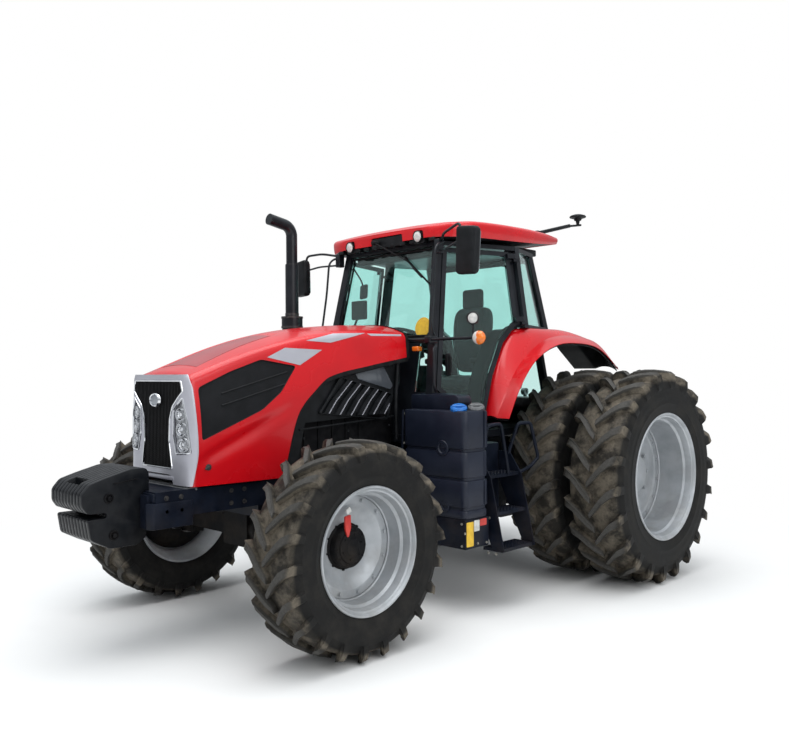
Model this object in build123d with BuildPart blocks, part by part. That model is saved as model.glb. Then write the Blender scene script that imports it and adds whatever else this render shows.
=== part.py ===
"""Farm tractor with a closed cab, dual rear wheels, front weights and a rear three-point hitch.

Units are millimetres. The front faces -Y, the tractor's left side is +X and +Z is up. The origin lies
on the ground, midway along the length and the width. Left-hand pieces are modelled and mirrored.
"""

import os
from math import atan, cos, sin

from build123d import *

# Overall layout
WHEELBASE = 2930
FRONT_OVERHANG = 1310  # front axle to the nose of the weights
REAR_OVERHANG = 1040  # rear axle to the ends of the lower links
REAR_AXLE_Y = (WHEELBASE + FRONT_OVERHANG - REAR_OVERHANG) / 2
FRONT_AXLE_Y = REAR_AXLE_Y - WHEELBASE

# Clearances
FACE_GAP = 0.3  # faces of neighbouring pieces that seat on each other
PIN_GAP = 0.1  # radial play of a pin in its bore
MOVING_GAP = 6  # moving pieces past fixed ones

# Wheels
FRONT_TYRE_RADIUS = 660
FRONT_TYRE_WIDTH = 430
FRONT_RIM_WIDTH = 380
FRONT_SEAT_RADIUS = 356
FRONT_WHEEL_OFFSET = 245  # kingpin to the middle of the front tyre
REAR_TYRE_RADIUS = 868
REAR_TYRE_WIDTH = 465
REAR_RIM_WIDTH = 440
REAR_SEAT_RADIUS = 483
REAR_INNER_WHEEL_X = 870
DUAL_SPACING = 560
RIM_WALL = 10
RIM_FLANGE_HEIGHT = 36
RIM_WELL_DEPTH = 26
DISC_WALL = 16
FRONT_DISC_OFFSET = 20  # middle of the front tyre to its disc
FRONT_HUB_RADIUS = 145
REAR_DISC_INSET = 130  # outer disc, outward from the inner face of the outer rim's flange
REAR_HUB_RADIUS = 190
SPACER_RADIUS = 285
SPACER_WALL = 12

# Front axle and steering
KINGPIN_X = 800
FRONT_WHEEL_X = KINGPIN_X + FRONT_WHEEL_OFFSET
FRONT_DISC_X = FRONT_WHEEL_X + FRONT_DISC_OFFSET
KINGPIN_RADIUS = 22
KNUCKLE_RADIUS = 62
KNUCKLE_HALF_HEIGHT = 95
YOKE_EAR_THICKNESS = 36
SPINDLE_RADIUS = 45
STEERING_ARM_LENGTH = 200
TIE_ROD_RADIUS = 17
TIE_PIN_RADIUS = 11

# Running gear between the axles
RAIL_INNER_X = 300
RAIL_THICKNESS = 45
RAIL_BOTTOM_Z = FRONT_TYRE_RADIUS + 200
RAIL_DEPTH = 160
RAIL_TOP_Z = RAIL_BOTTOM_Z + RAIL_DEPTH
ENGINE_HALF_WIDTH = 300
TRANSMISSION_HALF_WIDTH = 210
TRANSMISSION_BOTTOM_Z = 560
TRANSMISSION_TOP_Z = 1140
BELL_DEPTH = 60  # wide flange between the engine and the transmission
BELL_BOTTOM_Z = 700
AXLE_HOUSING_END_X = 610
AXLE_SHAFT_RADIUS = 60

# Hood
GRILLE_Y = FRONT_AXLE_Y - 690
HOOD_REAR_Y = REAR_AXLE_Y - 1780
HOOD_LENGTH = HOOD_REAR_Y - GRILLE_Y
HOOD_BOTTOM_Z = RAIL_TOP_Z + 10
HOOD_WALL = 6
HOOD_HINGE_Y = HOOD_REAR_Y - 170
HOOD_HINGE_Z = 1985
HOOD_HINGE_RADIUS = 10

# Cab
FLOOR_BOTTOM_Z = 1190
FLOOR_TOP_Z = 1250
CAB_FRONT_TOP_Y = REAR_AXLE_Y - 1513
CAB_FRONT_TOP_X = 541
DOOR_PLAN_SLOPE = 0.3154  # door face: growth of x along +Y
DOOR_LEAN = 0.1531  # door face: loss of x along +Z
WINDSCREEN_RAKE = 0.182  # windscreen: growth of y along +Z
REAR_POST_X = 640
REAR_POST_Y = REAR_AXLE_Y - 200
REAR_RAKE = 0.28  # rear window: loss of y along +Z
REAR_POST_SIZE = 60
DOOR_WALL = 26
DOOR_RIM = 38
DOOR_HINGE_Y = REAR_AXLE_Y - 872
DOOR_HINGE_OUT = 16
DOOR_PIN_RADIUS = 8
GLASS_WALL = 6
GLASS_INSET = 20  # fixed panes lie this far behind the cab's outer faces
SILL_Z = 1375
DOOR_BOTTOM_Z = 1400
ROOF_BOTTOM_Z = 2762
ROOF_CROWN_Z = 2960

# Rear fenders
FENDER_INNER_X = 550
FENDER_TOP_Z = 2084
FENDER_WALL = 10

# Rear hitch
LINK_PIVOT_Y = REAR_AXLE_Y + 300
LINK_PIVOT_Z = 560
LINK_PIVOT_X = 275
LINK_PIVOT_GAP = 4  # side play of a lower link between its ears
LINK_BALL_X = 450
BALL_BORE_RADIUS = 18.7
BALL_EYE_RADIUS = 42
LIFT_ARM_LENGTH = 400
ROCKER_PIVOT_Z = 1120
HITCH_PIN_RADIUS = 14
TOP_LINK_BORE_RADIUS = 16
PTO_RADIUS = 17.5
PTO_LENGTH = 80
PTO_HUB_RADIUS = 30
PTO_HUB_DEPTH = 64
PTO_Z = 690
DRAWBAR_PIN_RADIUS = 16.5

os.makedirs("parts", exist_ok=True)


def save(builder, label):
    """Label the finished piece and write it."""
    builder.part.label = label
    export_step(builder.part, "parts/" + label + ".step")


def save_pair(builder, name):
    """Write the left piece and its mirror image on the right."""
    save(builder, name + "_left")
    with BuildPart() as right:
        mirror(builder.part, about=Plane.YZ)
    save(right, name + "_right")


def side_plane(x):
    """Plane across the tractor at x, drawn in (y, z)."""
    return Plane.YZ.offset(x)


def cross_plane(y):
    """Plane along the tractor at y, drawn in (x, z)."""
    return Plane.XZ.offset(-y)


def level_plane(z):
    """Level plane at z, drawn in (x, y)."""
    return Plane.XY.offset(z)


def block(x_range, y_range, z_range, mode=Mode.ADD):
    """Box between two values on each axis, in the part that is open."""
    low = (x_range[0], y_range[0], z_range[0])
    size = (x_range[1] - x_range[0], y_range[1] - y_range[0], z_range[1] - z_range[0])
    with Locations(low):
        Box(*size, align=(Align.MIN, Align.MIN, Align.MIN), mode=mode)


def rod(start, end, radius, mode=Mode.ADD):
    """Straight round bar from start to end, in the part that is open."""
    line = Vector(*end) - Vector(*start)
    with Locations(Plane(origin=start, z_dir=line)):
        Cylinder(radius, line.length, align=(Align.CENTER, Align.CENTER, Align.MIN), mode=mode)


def tube_path(points, radius, bend):
    """Round bar along straight runs with rounded corners, as a part of its own."""
    with BuildPart() as bar:
        with BuildLine() as path:
            FilletPolyline(*points, radius=bend)
        with BuildSketch(Plane(origin=points[0], z_dir=path.line % 0)):
            Circle(radius)
        sweep()
    return bar.part


def cross_rod(x_range, y, z, radius, mode=Mode.ADD):
    """Round bar along X at y and z, in the part that is open."""
    rod((x_range[0], y, z), (x_range[1], y, z), radius, mode)


def side_profile(points, x_range, mode=Mode.ADD):
    """Outline in (y, z) carried from one x to another, in the part that is open."""
    with BuildPart(mode=Mode.PRIVATE) as plate:
        with BuildSketch(side_plane(x_range[0])):
            Polygon(*points, align=None)
        extrude(amount=x_range[1] - x_range[0])
    add(plate.part, mode=mode)


# ---------------------------------------------------------------- wheels


def rim_outline(width, seat_radius, centre_x):
    """Half section of a rolled rim: flanges, bead seats and a drop centre, in (x, radius)."""
    half = width / 2
    lip = seat_radius + RIM_FLANGE_HEIGHT
    well = seat_radius - RIM_WELL_DEPTH
    # columns: distance from the centre plane, radius of the outer surface
    outer = [
        (half, lip),
        (half - RIM_WALL, lip),
        (half - RIM_WALL, seat_radius),
        (half - 55, seat_radius),
        (half - 90, well),
    ]
    surface = [(x, r) for x, r in outer] + [(-x, r) for x, r in reversed(outer)]
    bore = [(-half, seat_radius - RIM_WALL), (-half + 60, seat_radius - RIM_WALL)]
    bore += [(-half + 95, well - RIM_WALL), (half - 95, well - RIM_WALL)]
    bore += [(half - 60, seat_radius - RIM_WALL), (half, seat_radius - RIM_WALL)]
    return [(centre_x + x, r) for x, r in surface + bore]


def tyre_outline(radius, width, rim_width, seat_radius, centre_x):
    """Half section of a tyre from bead to bead, in (x, radius), with its hollow left open to the rim."""
    lip = seat_radius + RIM_FLANGE_HEIGHT + FACE_GAP
    bead = rim_width / 2 - RIM_WALL - FACE_GAP
    seat = seat_radius + FACE_GAP
    half = width / 2
    height = radius - seat
    carcass = 24
    # columns: distance from the centre plane, radius
    outer = [
        (bead, seat),
        (bead, lip),
        (half - 8, lip + 0.12 * height),
        (half, seat + 0.45 * height),
        (half - 12, seat + 0.78 * height),
        (half - 40, seat + 0.93 * height),
        (0.42 * half, radius),
    ]
    inner = [
        (0.42 * half, radius - 2.2 * carcass),
        (half - 70, seat + 0.72 * height),
        (half - carcass, seat + 0.45 * height),
        (bead - carcass, lip),
        (bead - carcass, seat),
    ]
    outward = [(x, r) for x, r in outer] + [(-x, r) for x, r in reversed(outer)]
    inward = [(-x, r) for x, r in reversed(inner)] + [(x, r) for x, r in inner]
    return [(centre_x + x, r) for x, r in outward + inward]


def turned(outline, axle_y, axle_z, mode=Mode.ADD):
    """Outline in (x, radius) turned about an axle along X, in the part that is open."""
    with BuildPart(mode=Mode.PRIVATE) as ring:
        with BuildSketch(cross_plane(axle_y)):
            Polygon(*[(x, axle_z + r) for x, r in outline], align=None)
        revolve(axis=Axis((0, axle_y, axle_z), (1, 0, 0)))
    add(ring.part, mode=mode)


def drum(x_range, radius, axle_y, axle_z, bore=0):
    """Round drum about an axle along X, with an optional bore, in the part that is open."""
    low, high = x_range
    turned([(low, bore), (high, bore), (high, radius), (low, radius)], axle_y, axle_z)


FRONT_WELL = FRONT_SEAT_RADIUS - RIM_WELL_DEPTH - RIM_WALL
FRONT_HUB_BACK_X = KINGPIN_X + KNUCKLE_RADIUS + 68
FRONT_HUB_FACE_X = FRONT_DISC_X + DISC_WALL + 38

with BuildPart() as front_rim:
    turned(rim_outline(FRONT_RIM_WIDTH, FRONT_SEAT_RADIUS, FRONT_WHEEL_X), FRONT_AXLE_Y, FRONT_TYRE_RADIUS)
    drum(
        (FRONT_DISC_X, FRONT_DISC_X + DISC_WALL),
        FRONT_WELL + RIM_WALL / 2,
        FRONT_AXLE_Y,
        FRONT_TYRE_RADIUS,
        FRONT_HUB_RADIUS + FACE_GAP,
    )
save_pair(front_rim, "front_rim")

with BuildPart() as front_tyre:
    turned(
        tyre_outline(FRONT_TYRE_RADIUS, FRONT_TYRE_WIDTH, FRONT_RIM_WIDTH, FRONT_SEAT_RADIUS, FRONT_WHEEL_X),
        FRONT_AXLE_Y,
        FRONT_TYRE_RADIUS,
    )
save_pair(front_tyre, "front_tyre")

SPINDLE_END_X = FRONT_DISC_X - 30
HUB_BORE_END_X = SPINDLE_END_X + MOVING_GAP

with BuildPart() as front_hub:
    drum((FRONT_HUB_BACK_X, FRONT_HUB_FACE_X), FRONT_HUB_RADIUS, FRONT_AXLE_Y, FRONT_TYRE_RADIUS)
    drum(
        (FRONT_DISC_X - DISC_WALL - FACE_GAP, FRONT_DISC_X - FACE_GAP),
        FRONT_HUB_RADIUS + 45,
        FRONT_AXLE_Y,
        FRONT_TYRE_RADIUS,
    )
    rod(
        (FRONT_HUB_BACK_X, FRONT_AXLE_Y, FRONT_TYRE_RADIUS),
        (HUB_BORE_END_X, FRONT_AXLE_Y, FRONT_TYRE_RADIUS),
        SPINDLE_RADIUS + PIN_GAP,
        Mode.SUBTRACT,
    )
save_pair(front_hub, "front_hub")

REAR_OUTER_WHEEL_X = REAR_INNER_WHEEL_X + DUAL_SPACING
REAR_WELL = REAR_SEAT_RADIUS - RIM_WELL_DEPTH - RIM_WALL
INNER_DISC_X = REAR_INNER_WHEEL_X + REAR_RIM_WIDTH / 2 - REAR_DISC_INSET
OUTER_DISC_X = REAR_OUTER_WHEEL_X - REAR_RIM_WIDTH / 2 + REAR_DISC_INSET - DISC_WALL
HUB_INNER_X = AXLE_HOUSING_END_X + MOVING_GAP

with BuildPart() as rear_rims:
    for wheel_x in (REAR_INNER_WHEEL_X, REAR_OUTER_WHEEL_X):
        turned(rim_outline(REAR_RIM_WIDTH, REAR_SEAT_RADIUS, wheel_x), REAR_AXLE_Y, REAR_TYRE_RADIUS)
    for disc_x in (INNER_DISC_X, OUTER_DISC_X):
        drum((disc_x, disc_x + DISC_WALL), REAR_WELL + RIM_WALL / 2, REAR_AXLE_Y, REAR_TYRE_RADIUS)
    drum((INNER_DISC_X, OUTER_DISC_X + DISC_WALL), SPACER_RADIUS, REAR_AXLE_Y, REAR_TYRE_RADIUS,
         SPACER_RADIUS - SPACER_WALL)
    drum((HUB_INNER_X, INNER_DISC_X + DISC_WALL), REAR_HUB_RADIUS, REAR_AXLE_Y, REAR_TYRE_RADIUS)
    drum((OUTER_DISC_X, OUTER_DISC_X + DISC_WALL + 45), REAR_HUB_RADIUS - 50, REAR_AXLE_Y, REAR_TYRE_RADIUS)
    drum((AXLE_HOUSING_END_X - 90, HUB_INNER_X), AXLE_SHAFT_RADIUS, REAR_AXLE_Y, REAR_TYRE_RADIUS)
save_pair(rear_rims, "rear_rims")

with BuildPart() as rear_tyres:
    for wheel_x in (REAR_INNER_WHEEL_X, REAR_OUTER_WHEEL_X):
        turned(
            tyre_outline(REAR_TYRE_RADIUS, REAR_TYRE_WIDTH, REAR_RIM_WIDTH, REAR_SEAT_RADIUS, wheel_x),
            REAR_AXLE_Y,
            REAR_TYRE_RADIUS,
        )
save_pair(rear_tyres, "rear_tyres")

# ---------------------------------------------------------------- front axle and steering

YOKE_LOW_Z = FRONT_TYRE_RADIUS - KNUCKLE_HALF_HEIGHT - 2
YOKE_HIGH_Z = FRONT_TYRE_RADIUS + KNUCKLE_HALF_HEIGHT + 2
YOKE_WEB_X = KINGPIN_X - KNUCKLE_RADIUS - 14
YOKE_WEB_WALL = 46
YOKE_WEB_HALF_DEPTH = 46  # leaves room for the steering arm at full lock
YOKE_EAR_RADIUS = 52
BEAM_HALF_DEPTH = 75

with BuildPart() as front_axle_beam:
    block((-140, 140), (FRONT_AXLE_Y - 130, FRONT_AXLE_Y + 130),
          (FRONT_TYRE_RADIUS - 120, FRONT_TYRE_RADIUS + 110))
    beam_end = YOKE_WEB_X - YOKE_WEB_WALL + 1
    block((-beam_end, beam_end), (FRONT_AXLE_Y - BEAM_HALF_DEPTH, FRONT_AXLE_Y + BEAM_HALF_DEPTH),
          (FRONT_TYRE_RADIUS - 70, FRONT_TYRE_RADIUS + 70))
    for side in (-1, 1):
        web = sorted((side * (YOKE_WEB_X - YOKE_WEB_WALL), side * YOKE_WEB_X))
        block(web, (FRONT_AXLE_Y - YOKE_WEB_HALF_DEPTH, FRONT_AXLE_Y + YOKE_WEB_HALF_DEPTH),
              (YOKE_LOW_Z - YOKE_EAR_THICKNESS, YOKE_HIGH_Z + YOKE_EAR_THICKNESS))
        for ear_z in (YOKE_LOW_Z - YOKE_EAR_THICKNESS, YOKE_HIGH_Z):
            ear = sorted((side * (YOKE_WEB_X - 1), side * KINGPIN_X))
            block(ear, (FRONT_AXLE_Y - YOKE_WEB_HALF_DEPTH, FRONT_AXLE_Y + YOKE_WEB_HALF_DEPTH),
                  (ear_z, ear_z + YOKE_EAR_THICKNESS))
            start = (side * KINGPIN_X, FRONT_AXLE_Y, ear_z)
            end = (side * KINGPIN_X, FRONT_AXLE_Y, ear_z + YOKE_EAR_THICKNESS)
            rod(start, end, YOKE_EAR_RADIUS)
            rod(start, end, KINGPIN_RADIUS + PIN_GAP, Mode.SUBTRACT)
save(front_axle_beam, "front_axle_beam")

ARM_Z = FRONT_TYRE_RADIUS - 60
ARM_THICKNESS = 30
TIE_ROD_Z = ARM_Z - ARM_THICKNESS / 2 - 34
TIE_EYE_RADIUS = 27
TIE_EYE_HALF = 18

with BuildPart() as knuckle:
    kingpin_low = (KINGPIN_X, FRONT_AXLE_Y, YOKE_LOW_Z - YOKE_EAR_THICKNESS)
    kingpin_high = (KINGPIN_X, FRONT_AXLE_Y, YOKE_HIGH_Z + YOKE_EAR_THICKNESS)
    rod(kingpin_low, kingpin_high, KINGPIN_RADIUS)
    rod((KINGPIN_X, FRONT_AXLE_Y, FRONT_TYRE_RADIUS - KNUCKLE_HALF_HEIGHT),
        (KINGPIN_X, FRONT_AXLE_Y, FRONT_TYRE_RADIUS + KNUCKLE_HALF_HEIGHT), KNUCKLE_RADIUS)
    rod((KINGPIN_X, FRONT_AXLE_Y, FRONT_TYRE_RADIUS),
        (FRONT_HUB_BACK_X - MOVING_GAP, FRONT_AXLE_Y, FRONT_TYRE_RADIUS), KNUCKLE_HALF_HEIGHT - 10)
    rod((KINGPIN_X, FRONT_AXLE_Y, FRONT_TYRE_RADIUS), (SPINDLE_END_X, FRONT_AXLE_Y, FRONT_TYRE_RADIUS),
        SPINDLE_RADIUS)
    arm_y = FRONT_AXLE_Y + STEERING_ARM_LENGTH
    block((KINGPIN_X - 24, KINGPIN_X + 24), (FRONT_AXLE_Y, arm_y),
          (ARM_Z - ARM_THICKNESS / 2, ARM_Z + ARM_THICKNESS / 2))
    rod((KINGPIN_X, arm_y, ARM_Z - ARM_THICKNESS / 2), (KINGPIN_X, arm_y, ARM_Z + ARM_THICKNESS / 2),
        TIE_EYE_RADIUS)
    rod((KINGPIN_X, arm_y, TIE_ROD_Z - TIE_EYE_HALF), (KINGPIN_X, arm_y, ARM_Z), TIE_PIN_RADIUS)
save_pair(knuckle, "knuckle")

with BuildPart() as tie_rod:
    arm_y = FRONT_AXLE_Y + STEERING_ARM_LENGTH
    rod_half = KINGPIN_X - TIE_EYE_RADIUS / 2
    cross_rod((-rod_half, rod_half), arm_y, TIE_ROD_Z, TIE_ROD_RADIUS)
    for side in (-1, 1):
        eye_low = (side * KINGPIN_X, arm_y, TIE_ROD_Z - TIE_EYE_HALF)
        eye_high = (side * KINGPIN_X, arm_y, TIE_ROD_Z + TIE_EYE_HALF)
        rod(eye_low, eye_high, TIE_EYE_RADIUS)
        rod(eye_low, eye_high, TIE_PIN_RADIUS + PIN_GAP, Mode.SUBTRACT)
save(tie_rod, "tie_rod")

# ---------------------------------------------------------------- frame, engine and driveline

RAIL_FRONT_Y = GRILLE_Y - 230
ENGINE_FRONT_Y = FRONT_AXLE_Y - 20
ENGINE_REAR_Y = REAR_AXLE_Y - 1830
RAIL_OUTER_X = RAIL_INNER_X + RAIL_THICKNESS
BEAM_TOP_Z = FRONT_TYRE_RADIUS + 110

with BuildPart() as chassis_rails:
    for side in (-1, 1):
        rail = sorted((side * RAIL_INNER_X, side * RAIL_OUTER_X))
        block(rail, (RAIL_FRONT_Y, ENGINE_REAR_Y), (RAIL_BOTTOM_Z, RAIL_TOP_Z))
    block((-RAIL_OUTER_X, RAIL_OUTER_X), (RAIL_FRONT_Y, GRILLE_Y + 120), (RAIL_BOTTOM_Z + 60, RAIL_TOP_Z))
    block((-RAIL_INNER_X, RAIL_INNER_X), (FRONT_AXLE_Y - 150, FRONT_AXLE_Y - 20),
          (BEAM_TOP_Z + FACE_GAP, RAIL_TOP_Z))
save(chassis_rails, "chassis_rails")

RADIATOR_HALF_WIDTH = RAIL_INNER_X + 18  # its foot rests on the rails

with BuildPart() as radiator:
    block((-RADIATOR_HALF_WIDTH, RADIATOR_HALF_WIDTH), (GRILLE_Y + 180, GRILLE_Y + 330),
          (RAIL_TOP_Z + FACE_GAP, 1620))
save(radiator, "radiator")

with BuildPart() as transmission_housing:
    block((-TRANSMISSION_HALF_WIDTH, TRANSMISSION_HALF_WIDTH), (ENGINE_REAR_Y, REAR_AXLE_Y - 220),
          (TRANSMISSION_BOTTOM_Z, TRANSMISSION_TOP_Z))
    block((-RAIL_INNER_X, RAIL_INNER_X), (ENGINE_REAR_Y, ENGINE_REAR_Y + BELL_DEPTH),
          (BELL_BOTTOM_Z, TRANSMISSION_TOP_Z - 20))
    for mount_x in (-150, 150):
        for mount_y in (ENGINE_REAR_Y + 200, REAR_AXLE_Y - 330):
            rod((mount_x, mount_y, TRANSMISSION_TOP_Z - 1), (mount_x, mount_y, FLOOR_BOTTOM_Z), 52)
save(transmission_housing, "transmission_housing")

HOUSING_REAR_Y = REAR_AXLE_Y + 200
HOUSING_BOTTOM_Z = REAR_TYRE_RADIUS - 300

with BuildPart() as rear_axle_housing:
    block((-230, 230), (REAR_AXLE_Y - 220, HOUSING_REAR_Y), (HOUSING_BOTTOM_Z, REAR_TYRE_RADIUS + 260))
    for side in (-1, 1):
        inner = (side * 200, REAR_AXLE_Y, REAR_TYRE_RADIUS)
        outer = (side * AXLE_HOUSING_END_X, REAR_AXLE_Y, REAR_TYRE_RADIUS)
        flange = (side * (AXLE_HOUSING_END_X - 40), REAR_AXLE_Y, REAR_TYRE_RADIUS)
        shaft = (side * (AXLE_HOUSING_END_X - 96), REAR_AXLE_Y, REAR_TYRE_RADIUS)
        rod(inner, outer, 130)
        rod(flange, outer, REAR_HUB_RADIUS)
        rod(shaft, outer, AXLE_SHAFT_RADIUS + PIN_GAP, Mode.SUBTRACT)
save(rear_axle_housing, "rear_axle_housing")

CARRIER_FRONT_Y = RAIL_FRONT_Y - 30
CARRIER_HALF_WIDTH = 300
CARRIER_BOTTOM_Z = RAIL_BOTTOM_Z - 60
CARRIER_TOP_Z = RAIL_TOP_Z - 20

with BuildPart() as weight_carrier:
    carrier = (-CARRIER_HALF_WIDTH, CARRIER_HALF_WIDTH)
    face_y = RAIL_FRONT_Y - FACE_GAP
    block(carrier, (CARRIER_FRONT_Y, face_y), (CARRIER_BOTTOM_Z, CARRIER_TOP_Z))
    block(carrier, (face_y, GRILLE_Y + 30), (CARRIER_BOTTOM_Z, RAIL_BOTTOM_Z - FACE_GAP))
save(weight_carrier, "weight_carrier")

WEIGHT_NOSE_Y = FRONT_AXLE_Y - FRONT_OVERHANG
WEIGHT_COUNT = 10
WEIGHT_PITCH = 40
WEIGHT_WALL = 36
WEIGHT_ROD_RADIUS = 14
# columns: distance behind the nose, height above the carrier's lower edge, over the top and round the nose
WEIGHT_FRONT = [
    (130, 315), (25, 235), (0, 185), (0, 80), (45, 55), (40, 0), (55, -75), (110, -100),
]

with BuildPart() as front_weights:
    back_y = CARRIER_FRONT_Y - FACE_GAP
    under_z = CARRIER_BOTTOM_Z - FACE_GAP
    weight_outline = [
        (back_y, under_z),
        (back_y, CARRIER_BOTTOM_Z + 320),
        (back_y - 40, CARRIER_BOTTOM_Z + 360),
        *[(WEIGHT_NOSE_Y + y, CARRIER_BOTTOM_Z + z) for y, z in WEIGHT_FRONT],
        (back_y + 60, CARRIER_BOTTOM_Z - 80),
        (back_y + 60, under_z),
    ]
    for index in range(WEIGHT_COUNT):
        start_x = (index - WEIGHT_COUNT / 2) * WEIGHT_PITCH
        side_profile(weight_outline, (start_x, start_x + WEIGHT_WALL))
    rod_half = WEIGHT_COUNT * WEIGHT_PITCH / 2 + 20
    cross_rod((-rod_half, rod_half), WEIGHT_NOSE_Y + 160, CARRIER_BOTTOM_Z + 200, WEIGHT_ROD_RADIUS)
    cross_rod((-rod_half, rod_half), WEIGHT_NOSE_Y + 190, CARRIER_BOTTOM_Z - 20, WEIGHT_ROD_RADIUS)
save(front_weights, "front_weights")

# ---------------------------------------------------------------- hood

# columns: share of the hood's length, half width at the waist, half width at the shoulder,
# shoulder height, crown height
HOOD_STATIONS = [
    (0.00, 372, 318, 1700, 1735),
    (0.26, 404, 350, 1876, 1925),
    (0.49, 425, 378, 1980, 2030),
    (0.75, 446, 402, 2030, 2086),
    (1.00, 456, 412, 2026, 2105),
]
HOOD_WAIST_Z = 1250
HOOD_CROWN_SHARE = 0.62  # half width of the flat crown, of the shoulder's half width
ACROSS_HOOD = (-600, 600)


def hood_section(station, inset):
    """Closed outline of the hood at a station, in (x, z), drawn in by inset."""
    share, waist, shoulder, shoulder_z, crown_z = station
    crown_half = HOOD_CROWN_SHARE * shoulder
    low_z = HOOD_BOTTOM_Z - (80 if inset else 0)
    half = [
        (waist - 12 - inset, low_z),
        (waist - inset, HOOD_WAIST_Z),
        (shoulder - inset, shoulder_z - 0.5 * inset),
        (crown_half, crown_z - inset),
    ]
    return [(x, z) for x, z in half] + [(-x, z) for x, z in reversed(half)]


def hood_body(inset, overrun=0):
    """Solid bounded by the hood's skin, drawn in by inset and run past both ends by overrun."""
    with BuildPart() as body:
        for station in HOOD_STATIONS:
            y = GRILLE_Y + station[0] * HOOD_LENGTH
            if station is HOOD_STATIONS[0]:
                y -= overrun
            if station is HOOD_STATIONS[-1]:
                y += overrun
            with BuildSketch(cross_plane(y)):
                Polygon(*hood_section(station, inset), align=None)
        loft(ruled=True)
    return body.part


ARCH_LENGTH = HOOD_REAR_Y - FRONT_AXLE_Y
HINGE_LUG_X = 300
HINGE_LUG_WALL = 30
HINGE_REACH_X = HINGE_LUG_X + HINGE_LUG_WALL + 10
# columns: share of the way from the front axle to the hood's rear, height of the side skin's lower edge
HOOD_EDGE = [(0.0, 1020), (0.05, 1330), (0.10, 1470), (0.22, 1610), (0.33, 1700), (0.64, 1775), (1.0, 1844)]
hood_edge = [(FRONT_AXLE_Y + share * ARCH_LENGTH, z) for share, z in HOOD_EDGE]
# columns: distance behind the grille plane, height, round the side opening
SIDE_OPENING = [(70, 1310), (60, 1640), (290, 1740), (520, 1818), (790, 1775), (660, 1600), (510, 1488)]
side_opening = [(GRILLE_Y + y, z) for y, z in SIDE_OPENING]

with BuildPart() as hood_shell:
    add(hood_body(0))
    add(hood_body(HOOD_WALL, 5), mode=Mode.SUBTRACT)
    side_profile(
        hood_edge + [(HOOD_REAR_Y + 20, 1844), (HOOD_REAR_Y + 20, 900), (FRONT_AXLE_Y, 900)],
        ACROSS_HOOD,
        Mode.SUBTRACT,
    )
    side_profile(side_opening, ACROSS_HOOD, Mode.SUBTRACT)
    for side in (-1, 1):
        lug = sorted((side * HINGE_LUG_X, side * (HINGE_LUG_X + HINGE_LUG_WALL)))
        block(lug, (HOOD_HINGE_Y - 30, HOOD_HINGE_Y + 30), (HOOD_HINGE_Z - 25, HOOD_HINGE_Z + 90))
    cross_rod((-HINGE_REACH_X, HINGE_REACH_X), HOOD_HINGE_Y, HOOD_HINGE_Z, HOOD_HINGE_RADIUS + PIN_GAP,
              Mode.SUBTRACT)
save(hood_shell, "hood_shell")

SURROUND_FRONT_Y = GRILLE_Y - 30
SURROUND_LOW_Z = HOOD_BOTTOM_Z + 10
# columns: x, z, of half the mesh, from the top down
MESH_HALF = [(285, 1672), (295, 1612), (190, 1520), (158, 1440), (150, 1300), (180, 1125)]
# columns: x, z, round the left headlamp
LAMP_OUTLINE = [(212, 1500), (300, 1572), (330, 1440), (352, 1236), (238, 1236), (205, 1340)]


def mirrored_outline(half):
    """Closed outline from its right-hand half, in (x, z)."""
    return half + [(-x, z) for x, z in reversed(half)]


def front_plate(outline, y_range, mode=Mode.ADD):
    """Outline in (x, z) carried from one y to another, in the part that is open."""
    with BuildPart(mode=Mode.PRIVATE) as plate:
        with BuildSketch(cross_plane(y_range[1])):
            Polygon(*outline, align=None)
        extrude(amount=y_range[1] - y_range[0])
    add(plate.part, mode=mode)


front_station = HOOD_STATIONS[0]
surround_half = [
    (front_station[1] - 14, SURROUND_LOW_Z),
    (front_station[1] - 3, HOOD_WAIST_Z),
    (front_station[2] - 3, front_station[3]),
    (HOOD_CROWN_SHARE * front_station[2], front_station[4] - 3),
]

with BuildPart() as grille_surround:
    front_plate(mirrored_outline(surround_half), (SURROUND_FRONT_Y, GRILLE_Y - FACE_GAP))
    front_plate(mirrored_outline(MESH_HALF), (SURROUND_FRONT_Y - 1, GRILLE_Y + 1), Mode.SUBTRACT)
    for side in (-1, 1):
        lamp_outline = [(side * x, z) for x, z in LAMP_OUTLINE]
        front_plate(lamp_outline, (SURROUND_FRONT_Y - 1, GRILLE_Y + 1), Mode.SUBTRACT)
save(grille_surround, "grille_surround")

with BuildPart() as grille_mesh:
    inset_mesh = [(x - FACE_GAP, z) for x, z in MESH_HALF]
    inset_mesh[0] = (inset_mesh[0][0], inset_mesh[0][1] - FACE_GAP)
    inset_mesh[-1] = (inset_mesh[-1][0], inset_mesh[-1][1] + FACE_GAP)
    front_plate(mirrored_outline(inset_mesh), (SURROUND_FRONT_Y + 12, GRILLE_Y - 8))
save(grille_mesh, "grille_mesh")

with BuildPart() as headlamps:
    for side in (-1, 1):
        with BuildPart(mode=Mode.PRIVATE) as lamp:
            with BuildSketch(cross_plane(GRILLE_Y - 2)):
                Polygon(*[(side * x, z) for x, z in LAMP_OUTLINE], align=None)
                offset(amount=-FACE_GAP, kind=Kind.INTERSECTION)
            extrude(amount=24)
        add(lamp.part)
save(headlamps, "headlamps")

MESH_SKIN_GAP = HOOD_WALL + FACE_GAP
MESH_WALL = 5
MESH_LAP = 14  # the mesh reaches this far past its opening, behind the skin
HOOD_TOP_Z = 2200

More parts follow.
